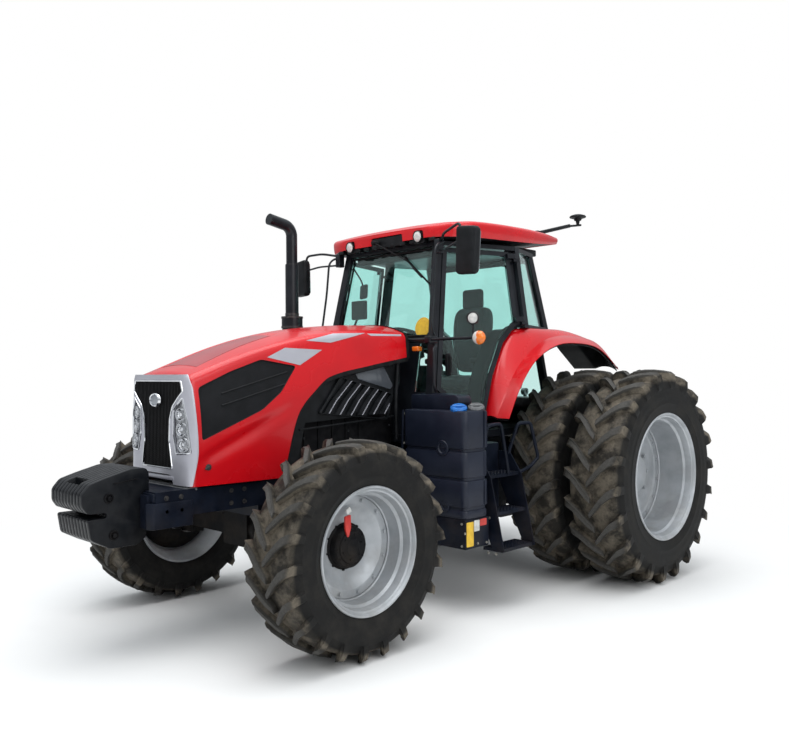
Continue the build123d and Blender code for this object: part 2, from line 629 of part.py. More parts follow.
with BuildPart() as hood_side_meshes:
    add(hood_body(MESH_SKIN_GAP, -1))
    add(hood_body(MESH_SKIN_GAP + MESH_WALL, 5), mode=Mode.SUBTRACT)
    with BuildPart(mode=Mode.PRIVATE) as window:
        with BuildSketch(side_plane(ACROSS_HOOD[0])):
            Polygon(*side_opening, align=None)
            offset(amount=MESH_LAP, kind=Kind.INTERSECTION)
        extrude(amount=ACROSS_HOOD[1] - ACROSS_HOOD[0])
    add(window.part, mode=Mode.INTERSECT)
    block((-260, 260), (GRILLE_Y - 100, HOOD_REAR_Y), (HOOD_BOTTOM_Z, HOOD_TOP_Z), Mode.SUBTRACT)
save(hood_side_meshes, "hood_side_meshes")

HINGE_STAND_X = HINGE_LUG_X - MOVING_GAP
HINGE_STAND_WALL = 30
ENGINE_BOTTOM_Z = 800
ENGINE_TOP_Z = 1560
HEAD_HALF_WIDTH = ENGINE_HALF_WIDTH - 60
HEAD_TOP_Z = 1700
SUMP_HALF_WIDTH = 180
SUMP_BOTTOM_Z = 680

with BuildPart() as engine_block:
    engine_y = (ENGINE_FRONT_Y, ENGINE_REAR_Y)
    block((-ENGINE_HALF_WIDTH, ENGINE_HALF_WIDTH), engine_y, (ENGINE_BOTTOM_Z, ENGINE_TOP_Z))
    block((-HEAD_HALF_WIDTH, HEAD_HALF_WIDTH), engine_y, (ENGINE_TOP_Z - 1, HEAD_TOP_Z))
    block((-SUMP_HALF_WIDTH, SUMP_HALF_WIDTH), (ENGINE_FRONT_Y + 260, ENGINE_REAR_Y),
          (SUMP_BOTTOM_Z, ENGINE_BOTTOM_Z + 1))
    for side in (-1, 1):
        stand = sorted((side * (HINGE_STAND_X - HINGE_STAND_WALL), side * HINGE_STAND_X))
        block(stand, (HOOD_HINGE_Y - 28, HOOD_HINGE_Y + 28), (ENGINE_TOP_Z - 1, HOOD_HINGE_Z + 20))
        pin = sorted((side * (HINGE_STAND_X - HINGE_STAND_WALL), side * HINGE_REACH_X))
        cross_rod(pin, HOOD_HINGE_Y, HOOD_HINGE_Z, HOOD_HINGE_RADIUS)
save(engine_block, "engine_block")

SIDE_PANEL_X = 374
SIDE_PANEL_WALL = 12
panel_top = [(y + 8, z + 14) for y, z in hood_edge]
panel_outline = panel_top[:-1] + [
    (HOOD_REAR_Y - 40, 1850),
    (HOOD_REAR_Y - 40, 1640),
    (HOOD_REAR_Y - 180, 1420),
    (FRONT_AXLE_Y + 0.16 * ARCH_LENGTH, 1385),
    (FRONT_AXLE_Y + 0.08 * ARCH_LENGTH, 1020),
]

with BuildPart() as side_panels:
    for side in (-1, 1):
        side_profile(panel_outline, sorted((side * SIDE_PANEL_X, side * (SIDE_PANEL_X + SIDE_PANEL_WALL))))
        for stay_y in (FRONT_AXLE_Y + 0.3 * ARCH_LENGTH, HOOD_REAR_Y - 300):
            stay = sorted((side * ENGINE_HALF_WIDTH, side * SIDE_PANEL_X))
            block(stay, (stay_y - 20, stay_y + 20), (1500, 1530))
save(side_panels, "side_panels")

STACK_X = -600
STACK_Y = REAR_AXLE_Y - 2080
CANISTER_RADIUS = 82
CANISTER_BOTTOM_Z = 1240
CANISTER_TOP_Z = 2110
COLLAR_TOP_Z = 2190
DOWNPIPE_RADIUS = 50
STACK_PIPE_RADIUS = 54
STACK_PIPE_TOP_Z = 2620
STACK_TIP_RADIUS = 46
STACK_BEND_Z = 2930
STACK_BEND_RADIUS = 90

with BuildPart() as exhaust_stack:
    # columns: lower end, upper end, radius of each length of the stack
    for low_z, high_z, radius in (
        (CANISTER_BOTTOM_Z, CANISTER_TOP_Z, CANISTER_RADIUS),
        (CANISTER_TOP_Z, COLLAR_TOP_Z, CANISTER_RADIUS + 4),
        (COLLAR_TOP_Z, STACK_PIPE_TOP_Z, STACK_PIPE_RADIUS),
    ):
        rod((STACK_X, STACK_Y, low_z), (STACK_X, STACK_Y, high_z), radius)
    cross_rod((STACK_X, -ENGINE_HALF_WIDTH), STACK_Y, CANISTER_BOTTOM_Z + 60, DOWNPIPE_RADIUS)
    tip = [
        (STACK_X, STACK_Y, STACK_PIPE_TOP_Z - 10),
        (STACK_X, STACK_Y, STACK_BEND_Z),
        (STACK_X, STACK_Y - 230, STACK_BEND_Z + 40),
    ]
    add(tube_path(tip, STACK_TIP_RADIUS, STACK_BEND_RADIUS))
save(exhaust_stack, "exhaust_stack")

# ---------------------------------------------------------------- cab

REFERENCE_Z = 2716


def front_post_y(z):
    """The windscreen's outer face at height z."""
    return CAB_FRONT_TOP_Y - WINDSCREEN_RAKE * (REFERENCE_Z - z)


def door_x(y, z):
    """The left door's outer face at y and z."""
    return CAB_FRONT_TOP_X + DOOR_PLAN_SLOPE * (y - CAB_FRONT_TOP_Y) - DOOR_LEAN * (z - REFERENCE_Z)


def front_post_x(z):
    """The corner where the windscreen's and the left door's outer faces meet, at height z."""
    return door_x(front_post_y(z), z)


def rear_face_y(z):
    """The rear window's outer face at height z."""
    return REAR_POST_Y - REAR_RAKE * (z - FENDER_TOP_Z)


def rear_post_x(z):
    """The outer edge of the rear post at height z."""
    return REAR_POST_X - 0.0625 * (z - FENDER_TOP_Z)


DOOR_PLANE = Plane(
    origin=(CAB_FRONT_TOP_X, CAB_FRONT_TOP_Y, REFERENCE_Z),
    x_dir=(DOOR_PLAN_SLOPE, 1, 0),
    z_dir=(1, -DOOR_PLAN_SLOPE, DOOR_LEAN),
)
SCREEN_PLANE = Plane(
    origin=(0, CAB_FRONT_TOP_Y, REFERENCE_Z), x_dir=(1, 0, 0), z_dir=(0, -1, WINDSCREEN_RAKE)
)
REAR_PLANE = Plane(origin=(0, REAR_POST_Y, FENDER_TOP_Z), x_dir=(-1, 0, 0), z_dir=(0, 1, REAR_RAKE))


def on_door(y, z):
    """Place of (y, z) in the door plane's own axes."""
    local = DOOR_PLANE.to_local_coords(Vector(door_x(y, z), y, z))
    return (local.X, local.Y)


def on_screen(x, z):
    """Place of (x, z) in the windscreen plane's own axes."""
    local = SCREEN_PLANE.to_local_coords(Vector(x, front_post_y(z), z))
    return (local.X, local.Y)


def on_rear(x, z):
    """Place of (x, z) in the rear plane's own axes."""
    local = REAR_PLANE.to_local_coords(Vector(x, rear_face_y(z), z))
    return (local.X, local.Y)


def panel(plane, outline, low, high, mode=Mode.ADD):
    """Outline on a plane carried between two offsets from it, in the part that is open."""
    with BuildPart(mode=Mode.PRIVATE) as plate:
        with BuildSketch(plane.offset(low)):
            Polygon(*outline, align=None)
        extrude(amount=high - low)
    add(plate.part, mode=mode)


def level_slab(outline, z_range, mode=Mode.ADD):
    """Plan outline carried between two heights, in the part that is open."""
    with BuildPart(mode=Mode.PRIVATE) as slab:
        with BuildSketch(level_plane(z_range[0])):
            Polygon(*outline, align=None)
        extrude(amount=z_range[1] - z_range[0])
    add(slab.part, mode=mode)


def level_loft(outlines, mode=Mode.ADD):
    """Ruled solid through plan outlines given as (z, points), in the part that is open."""
    with BuildPart(mode=Mode.PRIVATE) as body:
        for z, points in outlines:
            with BuildSketch(level_plane(z)):
                Polygon(*points, align=None)
        loft(ruled=True)
    add(body.part, mode=mode)


def both_sides(points, side):
    """Points with x turned to the given side."""
    return [(side * x, y) for x, y in points]


# columns: x and y of the front post's corners, from the corner where the outer faces meet
FRONT_POST_SECTION = [(-2, -20), (4, 12), (-31, 12), (-22, 45), (-70, 45), (-70, -20)]
DOOR_FRONT_LAP = 20


def front_post_points(z):
    """Plan section of the left front post at height z."""
    return [(front_post_x(z) + x, front_post_y(z) + y) for x, y in FRONT_POST_SECTION]


# Hinge line of the left door: square to it lie the door's plan direction and the way in
HINGE_REFERENCE_Z = 2400
HINGE_HEIGHTS = (-255, 265)
HINGE_LUG_HALF = 20
HINGE_BRACKET_HEIGHT = 24


def hinge_plane():
    """Plane square to the left door's hinge line: x rearward along the door, y inward, z up the line."""
    normal = DOOR_PLANE.z_dir
    foot = Vector(door_x(DOOR_HINGE_Y, HINGE_REFERENCE_Z), DOOR_HINGE_Y, HINGE_REFERENCE_Z)
    return Plane(
        origin=foot + normal * DOOR_HINGE_OUT,
        x_dir=(DOOR_PLAN_SLOPE, 1, DOOR_PLAN_SLOPE * DOOR_LEAN),
        z_dir=(-DOOR_LEAN, 0, 1),
    )


HINGE = hinge_plane()


def hinge_block(x_range, y_range, z_range, mode=Mode.ADD):
    """Box in the hinge line's own axes, in the part that is open."""
    with Locations(HINGE):
        with Locations((x_range[0], y_range[0], z_range[0])):
            Box(x_range[1] - x_range[0], y_range[1] - y_range[0], z_range[1] - z_range[0],
                align=(Align.MIN, Align.MIN, Align.MIN), mode=mode)


def hinge_rod(z_range, radius, mode=Mode.ADD):
    """Round bar along the hinge line, in the part that is open."""
    height = z_range[1] - z_range[0]
    with Locations(HINGE):
        with Locations((0, 0, z_range[0])):
            Cylinder(radius, height, align=(Align.CENTER, Align.CENTER, Align.MIN), mode=mode)


DOOR_TOP_Z = 2700
DOOR_STEP_Z = 1600
DOOR_REAR_Y = DOOR_HINGE_Y - 34
FENDER_FRONT_Y = REAR_AXLE_Y - 1280
# columns: y from the rear axle, z, down the door's rear edge beside the fender
DOOR_FENDER_EDGE = [(-936, 2092), (-1066, 1958), (-1197, 1705), (-1306, DOOR_BOTTOM_Z)]

door_outline = [
    on_door(front_post_y(DOOR_TOP_Z) + DOOR_FRONT_LAP, DOOR_TOP_Z),
    on_door(DOOR_REAR_Y, DOOR_TOP_Z),
    on_door(DOOR_REAR_Y, 2112),
    *[on_door(REAR_AXLE_Y + y, z) for y, z in DOOR_FENDER_EDGE],
    on_door(REAR_AXLE_Y - 1500, DOOR_BOTTOM_Z),
    on_door(front_post_y(DOOR_STEP_Z) + DOOR_FRONT_LAP, DOOR_STEP_Z),
]

with BuildPart() as door:
    panel(DOOR_PLANE, door_outline, -DOOR_WALL, 0)
    with BuildPart(mode=Mode.PRIVATE) as pane_hole:
        with BuildSketch(DOOR_PLANE.offset(-DOOR_WALL - 1)):
            Polygon(*door_outline, align=None)
            offset(amount=-DOOR_RIM, kind=Kind.INTERSECTION)
        extrude(amount=DOOR_WALL + 2)
    add(pane_hole.part, mode=Mode.SUBTRACT)
    for height in HINGE_HEIGHTS:
        lug = (height - HINGE_LUG_HALF, height + HINGE_LUG_HALF)
        hinge_block((-70, 0), (-15, DOOR_HINGE_OUT + 8), lug)
        hinge_rod(lug, 15)
        hinge_rod((lug[0] - 1, lug[1] + 1), DOOR_PIN_RADIUS + PIN_GAP, Mode.SUBTRACT)
save_pair(door, "door")

with BuildPart() as door_glass:
    with BuildSketch(DOOR_PLANE.offset(-DOOR_WALL / 2 - GLASS_WALL / 2)):
        Polygon(*door_outline, align=None)
        offset(amount=-DOOR_RIM - FACE_GAP, kind=Kind.INTERSECTION)
    extrude(amount=GLASS_WALL)
save_pair(door_glass, "door_glass")

WALL_INNER_X = FENDER_INNER_X - 2  # outer face of the cab's own sheet beside the fender
CEILING_BOTTOM_Z = REFERENCE_Z
CEILING_TOP_Z = 2750
COWL_TOP_Z = 1960
SCREEN_BOTTOM_Z = 2002
QUARTER_BOTTOM_Z = 1580
QUARTER_INNER_X = 440
REAR_GLASS_BOTTOM_Z = 1500
CENTRE_POST_BACK = 84
FLOOR_REAR_Y = rear_face_y(FLOOR_TOP_Z)

side_panel_outline = [
    on_door(front_post_y(FLOOR_TOP_Z) + 10, FLOOR_TOP_Z),
    on_door(front_post_y(DOOR_STEP_Z - 8) + 10, DOOR_STEP_Z - 8),
    on_door(REAR_AXLE_Y - 1504, DOOR_BOTTOM_Z - 8),
    on_door(FENDER_FRONT_Y - 20, DOOR_BOTTOM_Z - 8),
    on_door(FENDER_FRONT_Y - 20, FLOOR_TOP_Z),
]


def centre_post_points(z):
    """Plan section of the left post behind the door, at height z."""
    face = door_x(DOOR_HINGE_Y, z)
    y = DOOR_HINGE_Y
    slope = DOOR_PLAN_SLOPE
    return [
        (face + slope * 32, y + 32),
        (face + slope * 32, y + CENTRE_POST_BACK),
        (face - 62, y + CENTRE_POST_BACK),
        (face - 62, y - 20),
        (face - 46, y - 20),
        (face - 30, y + 32),
    ]


def rear_post_points(z):
    """Plan section of the left rear post at height z."""
    x = rear_post_x(z)
    y = rear_face_y(z)
    size = REAR_POST_SIZE
    return [(x, y), (x, y - size), (x - size, y - size), (x - size, y)]


def rail_between(start, end, wall, z_range):
    """Rail between two plan points, its wall on the inner side, in the part that is open."""
    along = (Vector(*end) - Vector(*start)).normalized()
    inward = Vector(-along.Y, along.X) if start[0] > 0 else Vector(along.Y, -along.X)
    a = Vector(*start) + inward * wall
    b = Vector(*end) + inward * wall
    level_slab([start, end, (b.X, b.Y), (a.X, a.Y)], z_range)


def half_top(z):
    """Right-hand half of the cab's plan at its top: front post, centre post, rear post."""
    return [
        (front_post_x(z) - 4, front_post_y(z) - 18),
        (door_x(DOOR_HINGE_Y, z) + 8, DOOR_HINGE_Y + 40),
        (rear_post_x(z), rear_face_y(z)),
    ]


quarter_outline = [
    (QUARTER_INNER_X, QUARTER_BOTTOM_Z),
    (front_post_x(QUARTER_BOTTOM_Z) - 72, QUARTER_BOTTOM_Z),
    (front_post_x(COWL_TOP_Z - 6) - 72, COWL_TOP_Z - 6),
    (QUARTER_INNER_X, COWL_TOP_Z - 6),
]
rear_glass_half = [
    (480, REAR_GLASS_BOTTOM_Z),
    (480, 2050),
    (rear_post_x(2130) - 66, 2130),
    (rear_post_x(2680) - 66, 2680),
]
rear_frame_half = [
    (WALL_INNER_X, FLOOR_TOP_Z),
    (WALL_INNER_X, FENDER_TOP_Z + FACE_GAP),
    (rear_post_x(FENDER_TOP_Z), FENDER_TOP_Z + FACE_GAP),
    (rear_post_x(CEILING_BOTTOM_Z), CEILING_BOTTOM_Z + 2),
]

with BuildPart() as cab_frame:
    for side in (-1, 1):
        level_loft([
            (FLOOR_TOP_Z + FACE_GAP, both_sides(front_post_points(FLOOR_TOP_Z), side)),
            (CEILING_TOP_Z - 10, both_sides(front_post_points(CEILING_TOP_Z - 10), side)),
        ])
        level_loft([
            (FENDER_TOP_Z + FACE_GAP, both_sides(centre_post_points(FENDER_TOP_Z), side)),
            (CEILING_TOP_Z - 10, both_sides(centre_post_points(CEILING_TOP_Z - 10), side)),
        ])
        level_loft([
            (FENDER_TOP_Z + FACE_GAP, both_sides(rear_post_points(FENDER_TOP_Z), side)),
            (CEILING_TOP_Z - 10, both_sides(rear_post_points(CEILING_TOP_Z - 10), side)),
        ])
        waist = FENDER_TOP_Z + 14
        rail_between(
            (side * door_x(DOOR_HINGE_Y, waist), DOOR_HINGE_Y + 60),
            (side * rear_post_x(waist), rear_face_y(waist) - 30),
            50,
            (FENDER_TOP_Z + FACE_GAP, FENDER_TOP_Z + 28),
        )
    screen_wall = [
        (-front_post_x(FLOOR_TOP_Z) + 40, FLOOR_TOP_Z + FACE_GAP),
        (front_post_x(FLOOR_TOP_Z) - 40, FLOOR_TOP_Z + FACE_GAP),
        (front_post_x(SCREEN_BOTTOM_Z) - 40, SCREEN_BOTTOM_Z - FACE_GAP),
        (-front_post_x(SCREEN_BOTTOM_Z) + 40, SCREEN_BOTTOM_Z - FACE_GAP),
    ]
    panel(SCREEN_PLANE, [on_screen(x, z) for x, z in screen_wall], -34, -2)
    for side in (-1, 1):
        opening = [on_screen(side * x, z) for x, z in quarter_outline]
        panel(SCREEN_PLANE, opening, -50, 20, Mode.SUBTRACT)
    panel(REAR_PLANE, [on_rear(x, z) for x, z in mirrored_outline(rear_frame_half)], -40, 0)
    panel(REAR_PLANE, [on_rear(x, z) for x, z in mirrored_outline(rear_glass_half)], -80, 20, Mode.SUBTRACT)
    half = half_top(CEILING_BOTTOM_Z)
    level_slab(half + [(-x, y) for x, y in reversed(half)], (CEILING_BOTTOM_Z, CEILING_TOP_Z))
    with BuildPart(mode=Mode.PRIVATE) as left_fittings:
        panel(DOOR_PLANE, side_panel_outline, -DOOR_WALL, 0)
        for height in HINGE_HEIGHTS:
            top = height - HINGE_LUG_HALF - 2
            hinge_block((-13, 36), (-13, 20), (top - HINGE_BRACKET_HEIGHT, top))
            hinge_rod((top - 1, height + HINGE_LUG_HALF), DOOR_PIN_RADIUS)
    add(left_fittings.part)
    add(mirror(left_fittings.part, about=Plane.YZ, mode=Mode.PRIVATE))
    block((-900, 900), (-3000, 3000), (CEILING_TOP_Z, CEILING_TOP_Z + 200), Mode.SUBTRACT)
    block((-900, 900), (-3000, 3000), (FLOOR_TOP_Z - 200, FLOOR_TOP_Z + FACE_GAP), Mode.SUBTRACT)
    for side in (-1, 1):
        over_fender = sorted((side * WALL_INNER_X, side * 900))
        block(over_fender, (DOOR_HINGE_Y, REAR_AXLE_Y + 400), (FLOOR_BOTTOM_Z, FENDER_TOP_Z + FACE_GAP),
              Mode.SUBTRACT)
save(cab_frame, "cab_frame")

with BuildPart() as windscreen:
    screen_outline = [
        (-front_post_x(SCREEN_BOTTOM_Z) + 71, SCREEN_BOTTOM_Z),
        (front_post_x(SCREEN_BOTTOM_Z) - 71, SCREEN_BOTTOM_Z),
        (front_post_x(CEILING_BOTTOM_Z) - 71, CEILING_BOTTOM_Z - FACE_GAP),
        (-front_post_x(CEILING_BOTTOM_Z) + 71, CEILING_BOTTOM_Z - FACE_GAP),
    ]
    pane = [on_screen(x, z) for x, z in screen_outline]
    panel(SCREEN_PLANE, pane, -GLASS_INSET, -GLASS_INSET + GLASS_WALL)
save(windscreen, "windscreen")


def inset_outline(points, plane, low, high, gap=FACE_GAP):
    """Outline on a plane drawn in by a gap and carried between two offsets, in the part that is open."""
    with BuildPart(mode=Mode.PRIVATE) as pane:
        with BuildSketch(plane.offset(low)):
            Polygon(*points, align=None)
            offset(amount=-gap, kind=Kind.INTERSECTION)
        extrude(amount=high - low)
    add(pane.part)


with BuildPart() as rear_window:
    outline = [on_rear(x, z) for x, z in mirrored_outline(rear_glass_half)]
    inset_outline(outline, REAR_PLANE, -GLASS_INSET, -GLASS_INSET + GLASS_WALL)
save(rear_window, "rear_window")


def side_glass_points(z):
    """Plan section of the left pane between the centre and rear posts, at height z."""
    x0 = door_x(DOOR_HINGE_Y, z) - 6
    y0 = DOOR_HINGE_Y + CENTRE_POST_BACK + FACE_GAP
    x1 = rear_post_x(z) - 14
    y1 = rear_face_y(z) - REAR_POST_SIZE - FACE_GAP
    return [(x0, y0), (x1, y1), (x1 - GLASS_WALL, y1), (x0 - GLASS_WALL, y0)]


with BuildPart() as side_windows:
    glass_low = FENDER_TOP_Z + 28 + FACE_GAP
    glass_high = CEILING_BOTTOM_Z - FACE_GAP
    for side in (-1, 1):
        level_loft([
            (glass_low, both_sides(side_glass_points(glass_low), side)),
            (glass_high, both_sides(side_glass_points(glass_high), side)),
        ])
        quarter_pane = [on_screen(side * x, z) for x, z in quarter_outline]
        inset_outline(quarter_pane, SCREEN_PLANE, -GLASS_INSET, -GLASS_INSET + GLASS_WALL)
save(side_windows, "side_windows")

with BuildPart() as cab_floor:
    wall_y = FENDER_FRONT_Y - 20
    corner_x = door_x(wall_y, SILL_Z) - DOOR_WALL - 12
    floor_half = [
        (front_post_x(FLOOR_TOP_Z) - 4, front_post_y(FLOOR_TOP_Z) - 18),
        (corner_x, wall_y),
        (WALL_INNER_X, wall_y),
        (WALL_INNER_X, FLOOR_REAR_Y),
    ]
    level_slab(floor_half + [(-x, y) for x, y in reversed(floor_half)], (FLOOR_BOTTOM_Z, FLOOR_TOP_Z))
    for side in (-1, 1):
        wall = sorted((side * WALL_INNER_X, side * corner_x))
        block(wall, (wall_y - 14, wall_y), (FLOOR_TOP_Z - 1, SILL_Z))
save(cab_floor, "cab_floor")

# columns: y from the rear axle, half width, lower edge, shoulder height, crown height
ROOF_STATIONS = [
    (-1612, 470, 2772, 2845, 2862),
    (-1545, 690, ROOF_BOTTOM_Z, 2868, 2896),
    (-1350, 778, ROOF_BOTTOM_Z + 4, 2885, 2930),
    (-800, 784, ROOF_BOTTOM_Z + 28, 2905, ROOF_CROWN_Z),
    (-330, 700, ROOF_BOTTOM_Z + 70, 2925, ROOF_CROWN_Z + 8),
    (10, 600, ROOF_BOTTOM_Z + 116, 2935, ROOF_CROWN_Z - 8),
]
ROOF_LAMP_X = 393
ROOF_LAMP_Z = 2790
ROOF_LAMP_RADIUS = 44
ROOF_LAMP_BACK_Y = REAR_AXLE_Y - 1570
ROOF_LAMP_FRONT_Y = REAR_AXLE_Y - 1632

with BuildPart() as cab_roof:
    for offset_y, half_width, low_z, shoulder_z, crown_z in ROOF_STATIONS:
        half = [
            (half_width - 18, low_z),
            (half_width, low_z + 30),
            (half_width - 36, shoulder_z),
            (half_width - 170, crown_z),
        ]
        with BuildSketch(cross_plane(REAR_AXLE_Y + offset_y)):
            Polygon(*mirrored_outline(half), align=None)
    loft(ruled=True)
    half = [(x - 50, y + 40 if x < 560 and y < 0 else y - 20) for x, y in half_top(CEILING_BOTTOM_Z)]
    level_slab(half + [(-x, y) for x, y in reversed(half)], (CEILING_TOP_Z + FACE_GAP, 2860))
    for side in (-1, 1):
        rod((side * ROOF_LAMP_X, ROOF_LAMP_FRONT_Y - 60, ROOF_LAMP_Z),
            (side * ROOF_LAMP_X, ROOF_LAMP_BACK_Y, ROOF_LAMP_Z), ROOF_LAMP_RADIUS + 8, Mode.SUBTRACT)
save(cab_roof, "cab_roof")

with BuildPart() as work_lamps:
    for side in (-1, 1):
        rod((side * ROOF_LAMP_X, ROOF_LAMP_FRONT_Y, ROOF_LAMP_Z),
            (side * ROOF_LAMP_X, ROOF_LAMP_BACK_Y - FACE_GAP, ROOF_LAMP_Z), ROOF_LAMP_RADIUS)
save(work_lamps, "work_lamps")

# ---------------------------------------------------------------- driver's place

WHEEL_CENTRE = Vector(0, REAR_AXLE_Y - 1300, 2000)
COLUMN_DIRECTION = Vector(0, 0.45, 0.893)
STEERING_WHEEL_RADIUS = 190
STEERING_RIM_RADIUS = 15
STEERING_SHAFT_RADIUS = 12
COLUMN_RADIUS = 34


def on_column(distance):
    """Point on the steering column's axis, measured from the wheel's centre."""
    return WHEEL_CENTRE + COLUMN_DIRECTION.normalized() * distance


DASH_Y = REAR_AXLE_Y - 1590
DASH_TOP_Z = 1960
# columns: distance behind the dashboard's front, height, of the console and of the panel on it
CONSOLE_PROFILE = [
    (0, FLOOR_TOP_Z + FACE_GAP), (0, DASH_TOP_Z - 30), (110, DASH_TOP_Z), (190, 1800),
    (130, FLOOR_TOP_Z + FACE_GAP),
]
PANEL_PROFILE = [(0, 1800), (0, DASH_TOP_Z - 30), (120, DASH_TOP_Z), (150, 1850)]

with BuildPart() as dashboard:
    side_profile([(DASH_Y + y, z) for y, z in CONSOLE_PROFILE], (-150, 150))
    side_profile([(DASH_Y + y, z) for y, z in PANEL_PROFILE], (-300, 300))
    rod(tuple(on_column(-330)), tuple(on_column(-60)), COLUMN_RADIUS)
    rod(tuple(on_column(-130)), tuple(on_column(-50)), STEERING_SHAFT_RADIUS + PIN_GAP, Mode.SUBTRACT)
save(dashboard, "dashboard")

with BuildPart() as steering_wheel:
    with Locations(Plane(origin=WHEEL_CENTRE, x_dir=(1, 0, 0), z_dir=COLUMN_DIRECTION)):
        Torus(STEERING_WHEEL_RADIUS, STEERING_RIM_RADIUS)
        Cylinder(32, 40)
        with PolarLocations(0, 3, start_angle=90):
            with Locations((STEERING_WHEEL_RADIUS / 2, 0, 0)):
                Box(STEERING_WHEEL_RADIUS, 26, 12)
    rod(tuple(on_column(-124)), tuple(on_column(0)), STEERING_SHAFT_RADIUS)
save(steering_wheel, "steering_wheel")

SEAT_REAR_Y = REAR_AXLE_Y - 430
SEAT_TOP_Z = 1700

with BuildPart() as seat_base:
    block((-170, 170), (SEAT_REAR_Y - 420, SEAT_REAR_Y - 60), (FLOOR_TOP_Z + FACE_GAP, FLOOR_TOP_Z + 60))
    block((-130, 130), (SEAT_REAR_Y - 380, SEAT_REAR_Y - 100), (FLOOR_TOP_Z + 59, SEAT_TOP_Z - 170))
    block((-220, 220), (SEAT_REAR_Y - 460, SEAT_REAR_Y - 20), (SEAT_TOP_Z - 171, SEAT_TOP_Z - 130 - FACE_GAP))
save(seat_base, "seat_base")

with BuildPart() as seat_cushion:
    block((-250, 250), (SEAT_REAR_Y - 500, SEAT_REAR_Y), (SEAT_TOP_Z - 130, SEAT_TOP_Z))
    fillet(seat_cushion.edges().filter_by(Axis.Z), 60)
save(seat_cushion, "seat_cushion")

with BuildPart() as seat_backrest:
    side_profile(
        [
            (SEAT_REAR_Y - 120, SEAT_TOP_Z + FACE_GAP),
            (SEAT_REAR_Y, SEAT_TOP_Z + FACE_GAP),
            (SEAT_REAR_Y + 90, 2330),
            (SEAT_REAR_Y + 10, 2340),
        ],
        (-235, 235),
    )
save(seat_backrest, "seat_backrest")

# ---------------------------------------------------------------- rear fenders

FENDER_CROWN_X = 800
# columns: y from the rear axle, z, from the foot over the top to the tail
FENDER_CROWN = [
    (-1280, 1375), (-1190, 1640), (-1085, 1850), (-960, 2010), (-800, FENDER_TOP_Z), (-240, FENDER_TOP_Z),
    (-30, 2030), (140, 1920), (360, 1775),
]
FENDER_CREASE = [
    (-1280, 1374), (-1178, 1548), (-1047, 1726), (-845, 1886), (-634, 1988), (-300, 2030),
    (0, 2010), (200, 1930), (355, 1772),
]
FENDER_LIP = [
    (-1274, 1368), (-1171, 1548), (-1046, 1700), (-840, 1862), (-640, 1940), (-342, 1974),
    (-60, 1945), (170, 1858), (330, 1757),
]
# columns: x, profile
FENDER_SECTIONS = [
    (FENDER_INNER_X, FENDER_CROWN), (FENDER_CROWN_X, FENDER_CROWN), (900, FENDER_CREASE), (1010, FENDER_LIP),
]
FENDER_CENTRE = (-250, 900)


def fender_points(profile, inset):
    """Points of a fender profile in (y, z), drawn in towards the wheel by inset."""
    points = []
    for y, z in profile:
        towards = Vector(FENDER_CENTRE[0] - y, FENDER_CENTRE[1] - z).normalized()
        points.append((REAR_AXLE_Y + y + inset * towards.X, z + inset * towards.Y))
    return points


with BuildPart() as fender:
    for x, profile in FENDER_SECTIONS:
        outer_line = fender_points(profile, 0)
        inner_line = fender_points(profile, FENDER_WALL)
        with BuildSketch(side_plane(x)):
            Polygon(*outer_line, *reversed(inner_line), align=None)
    loft(ruled=True)
    wall_outline = fender_points(FENDER_CROWN, FENDER_WALL / 2) + [
        (REAR_AXLE_Y + 340, 1500),
        (REAR_AXLE_Y + 300, FLOOR_BOTTOM_Z),
        (FENDER_FRONT_Y, FLOOR_BOTTOM_Z),
    ]
    side_profile(wall_outline, (FENDER_INNER_X, FENDER_INNER_X + FENDER_WALL))
save_pair(fender, "fender")

# ---------------------------------------------------------------- tanks, steps and outside fittings

TANK_FRONT_Y = REAR_AXLE_Y - 1900
TANK_REAR_Y = REAR_AXLE_Y - 1620
TANK_INNER_X = 480
TANK_OUTER_X = 1100
TANK_BOTTOM_Z = 480
TANK_TOP_Z = 1460
TANK_FILLET = 45
TANK_STEP_X = 860  # outer face of the low block that carries the steps
TANK_SLAB_REAR_Y = front_post_y(FLOOR_TOP_Z) - 35
TANK_SHOULDER_X = door_x(TANK_REAR_Y, FLOOR_TOP_Z) + 14

with BuildPart() as side_tank:
    block((TANK_INNER_X, TANK_OUTER_X), (TANK_FRONT_Y, TANK_SLAB_REAR_Y), (TANK_BOTTOM_Z, TANK_TOP_Z))
    block((TANK_SHOULDER_X, TANK_OUTER_X), (TANK_SLAB_REAR_Y - 1, TANK_REAR_Y), (TANK_BOTTOM_Z, TANK_TOP_Z))
    fillet(side_tank.edges().filter_by(Axis.Z).group_by(Axis.X)[-1], TANK_FILLET)
    top_z = FLOOR_BOTTOM_Z - 30
    block((TANK_INNER_X, TANK_SHOULDER_X + 1), (TANK_SLAB_REAR_Y - 1, TANK_REAR_Y), (TANK_BOTTOM_Z, top_z))
    block((TANK_INNER_X, TANK_STEP_X), (TANK_REAR_Y - 1, REAR_AXLE_Y - 1180), (TANK_BOTTOM_Z + 120, top_z))
    block((TRANSMISSION_HALF_WIDTH + FACE_GAP, TANK_INNER_X + 1),
          (ENGINE_REAR_Y + BELL_DEPTH + 10, TANK_REAR_Y - 30), (620, 760))
save_pair(side_tank, "side_tank")

COVER_TOP_Z = 1562
COVER_WALL = 34

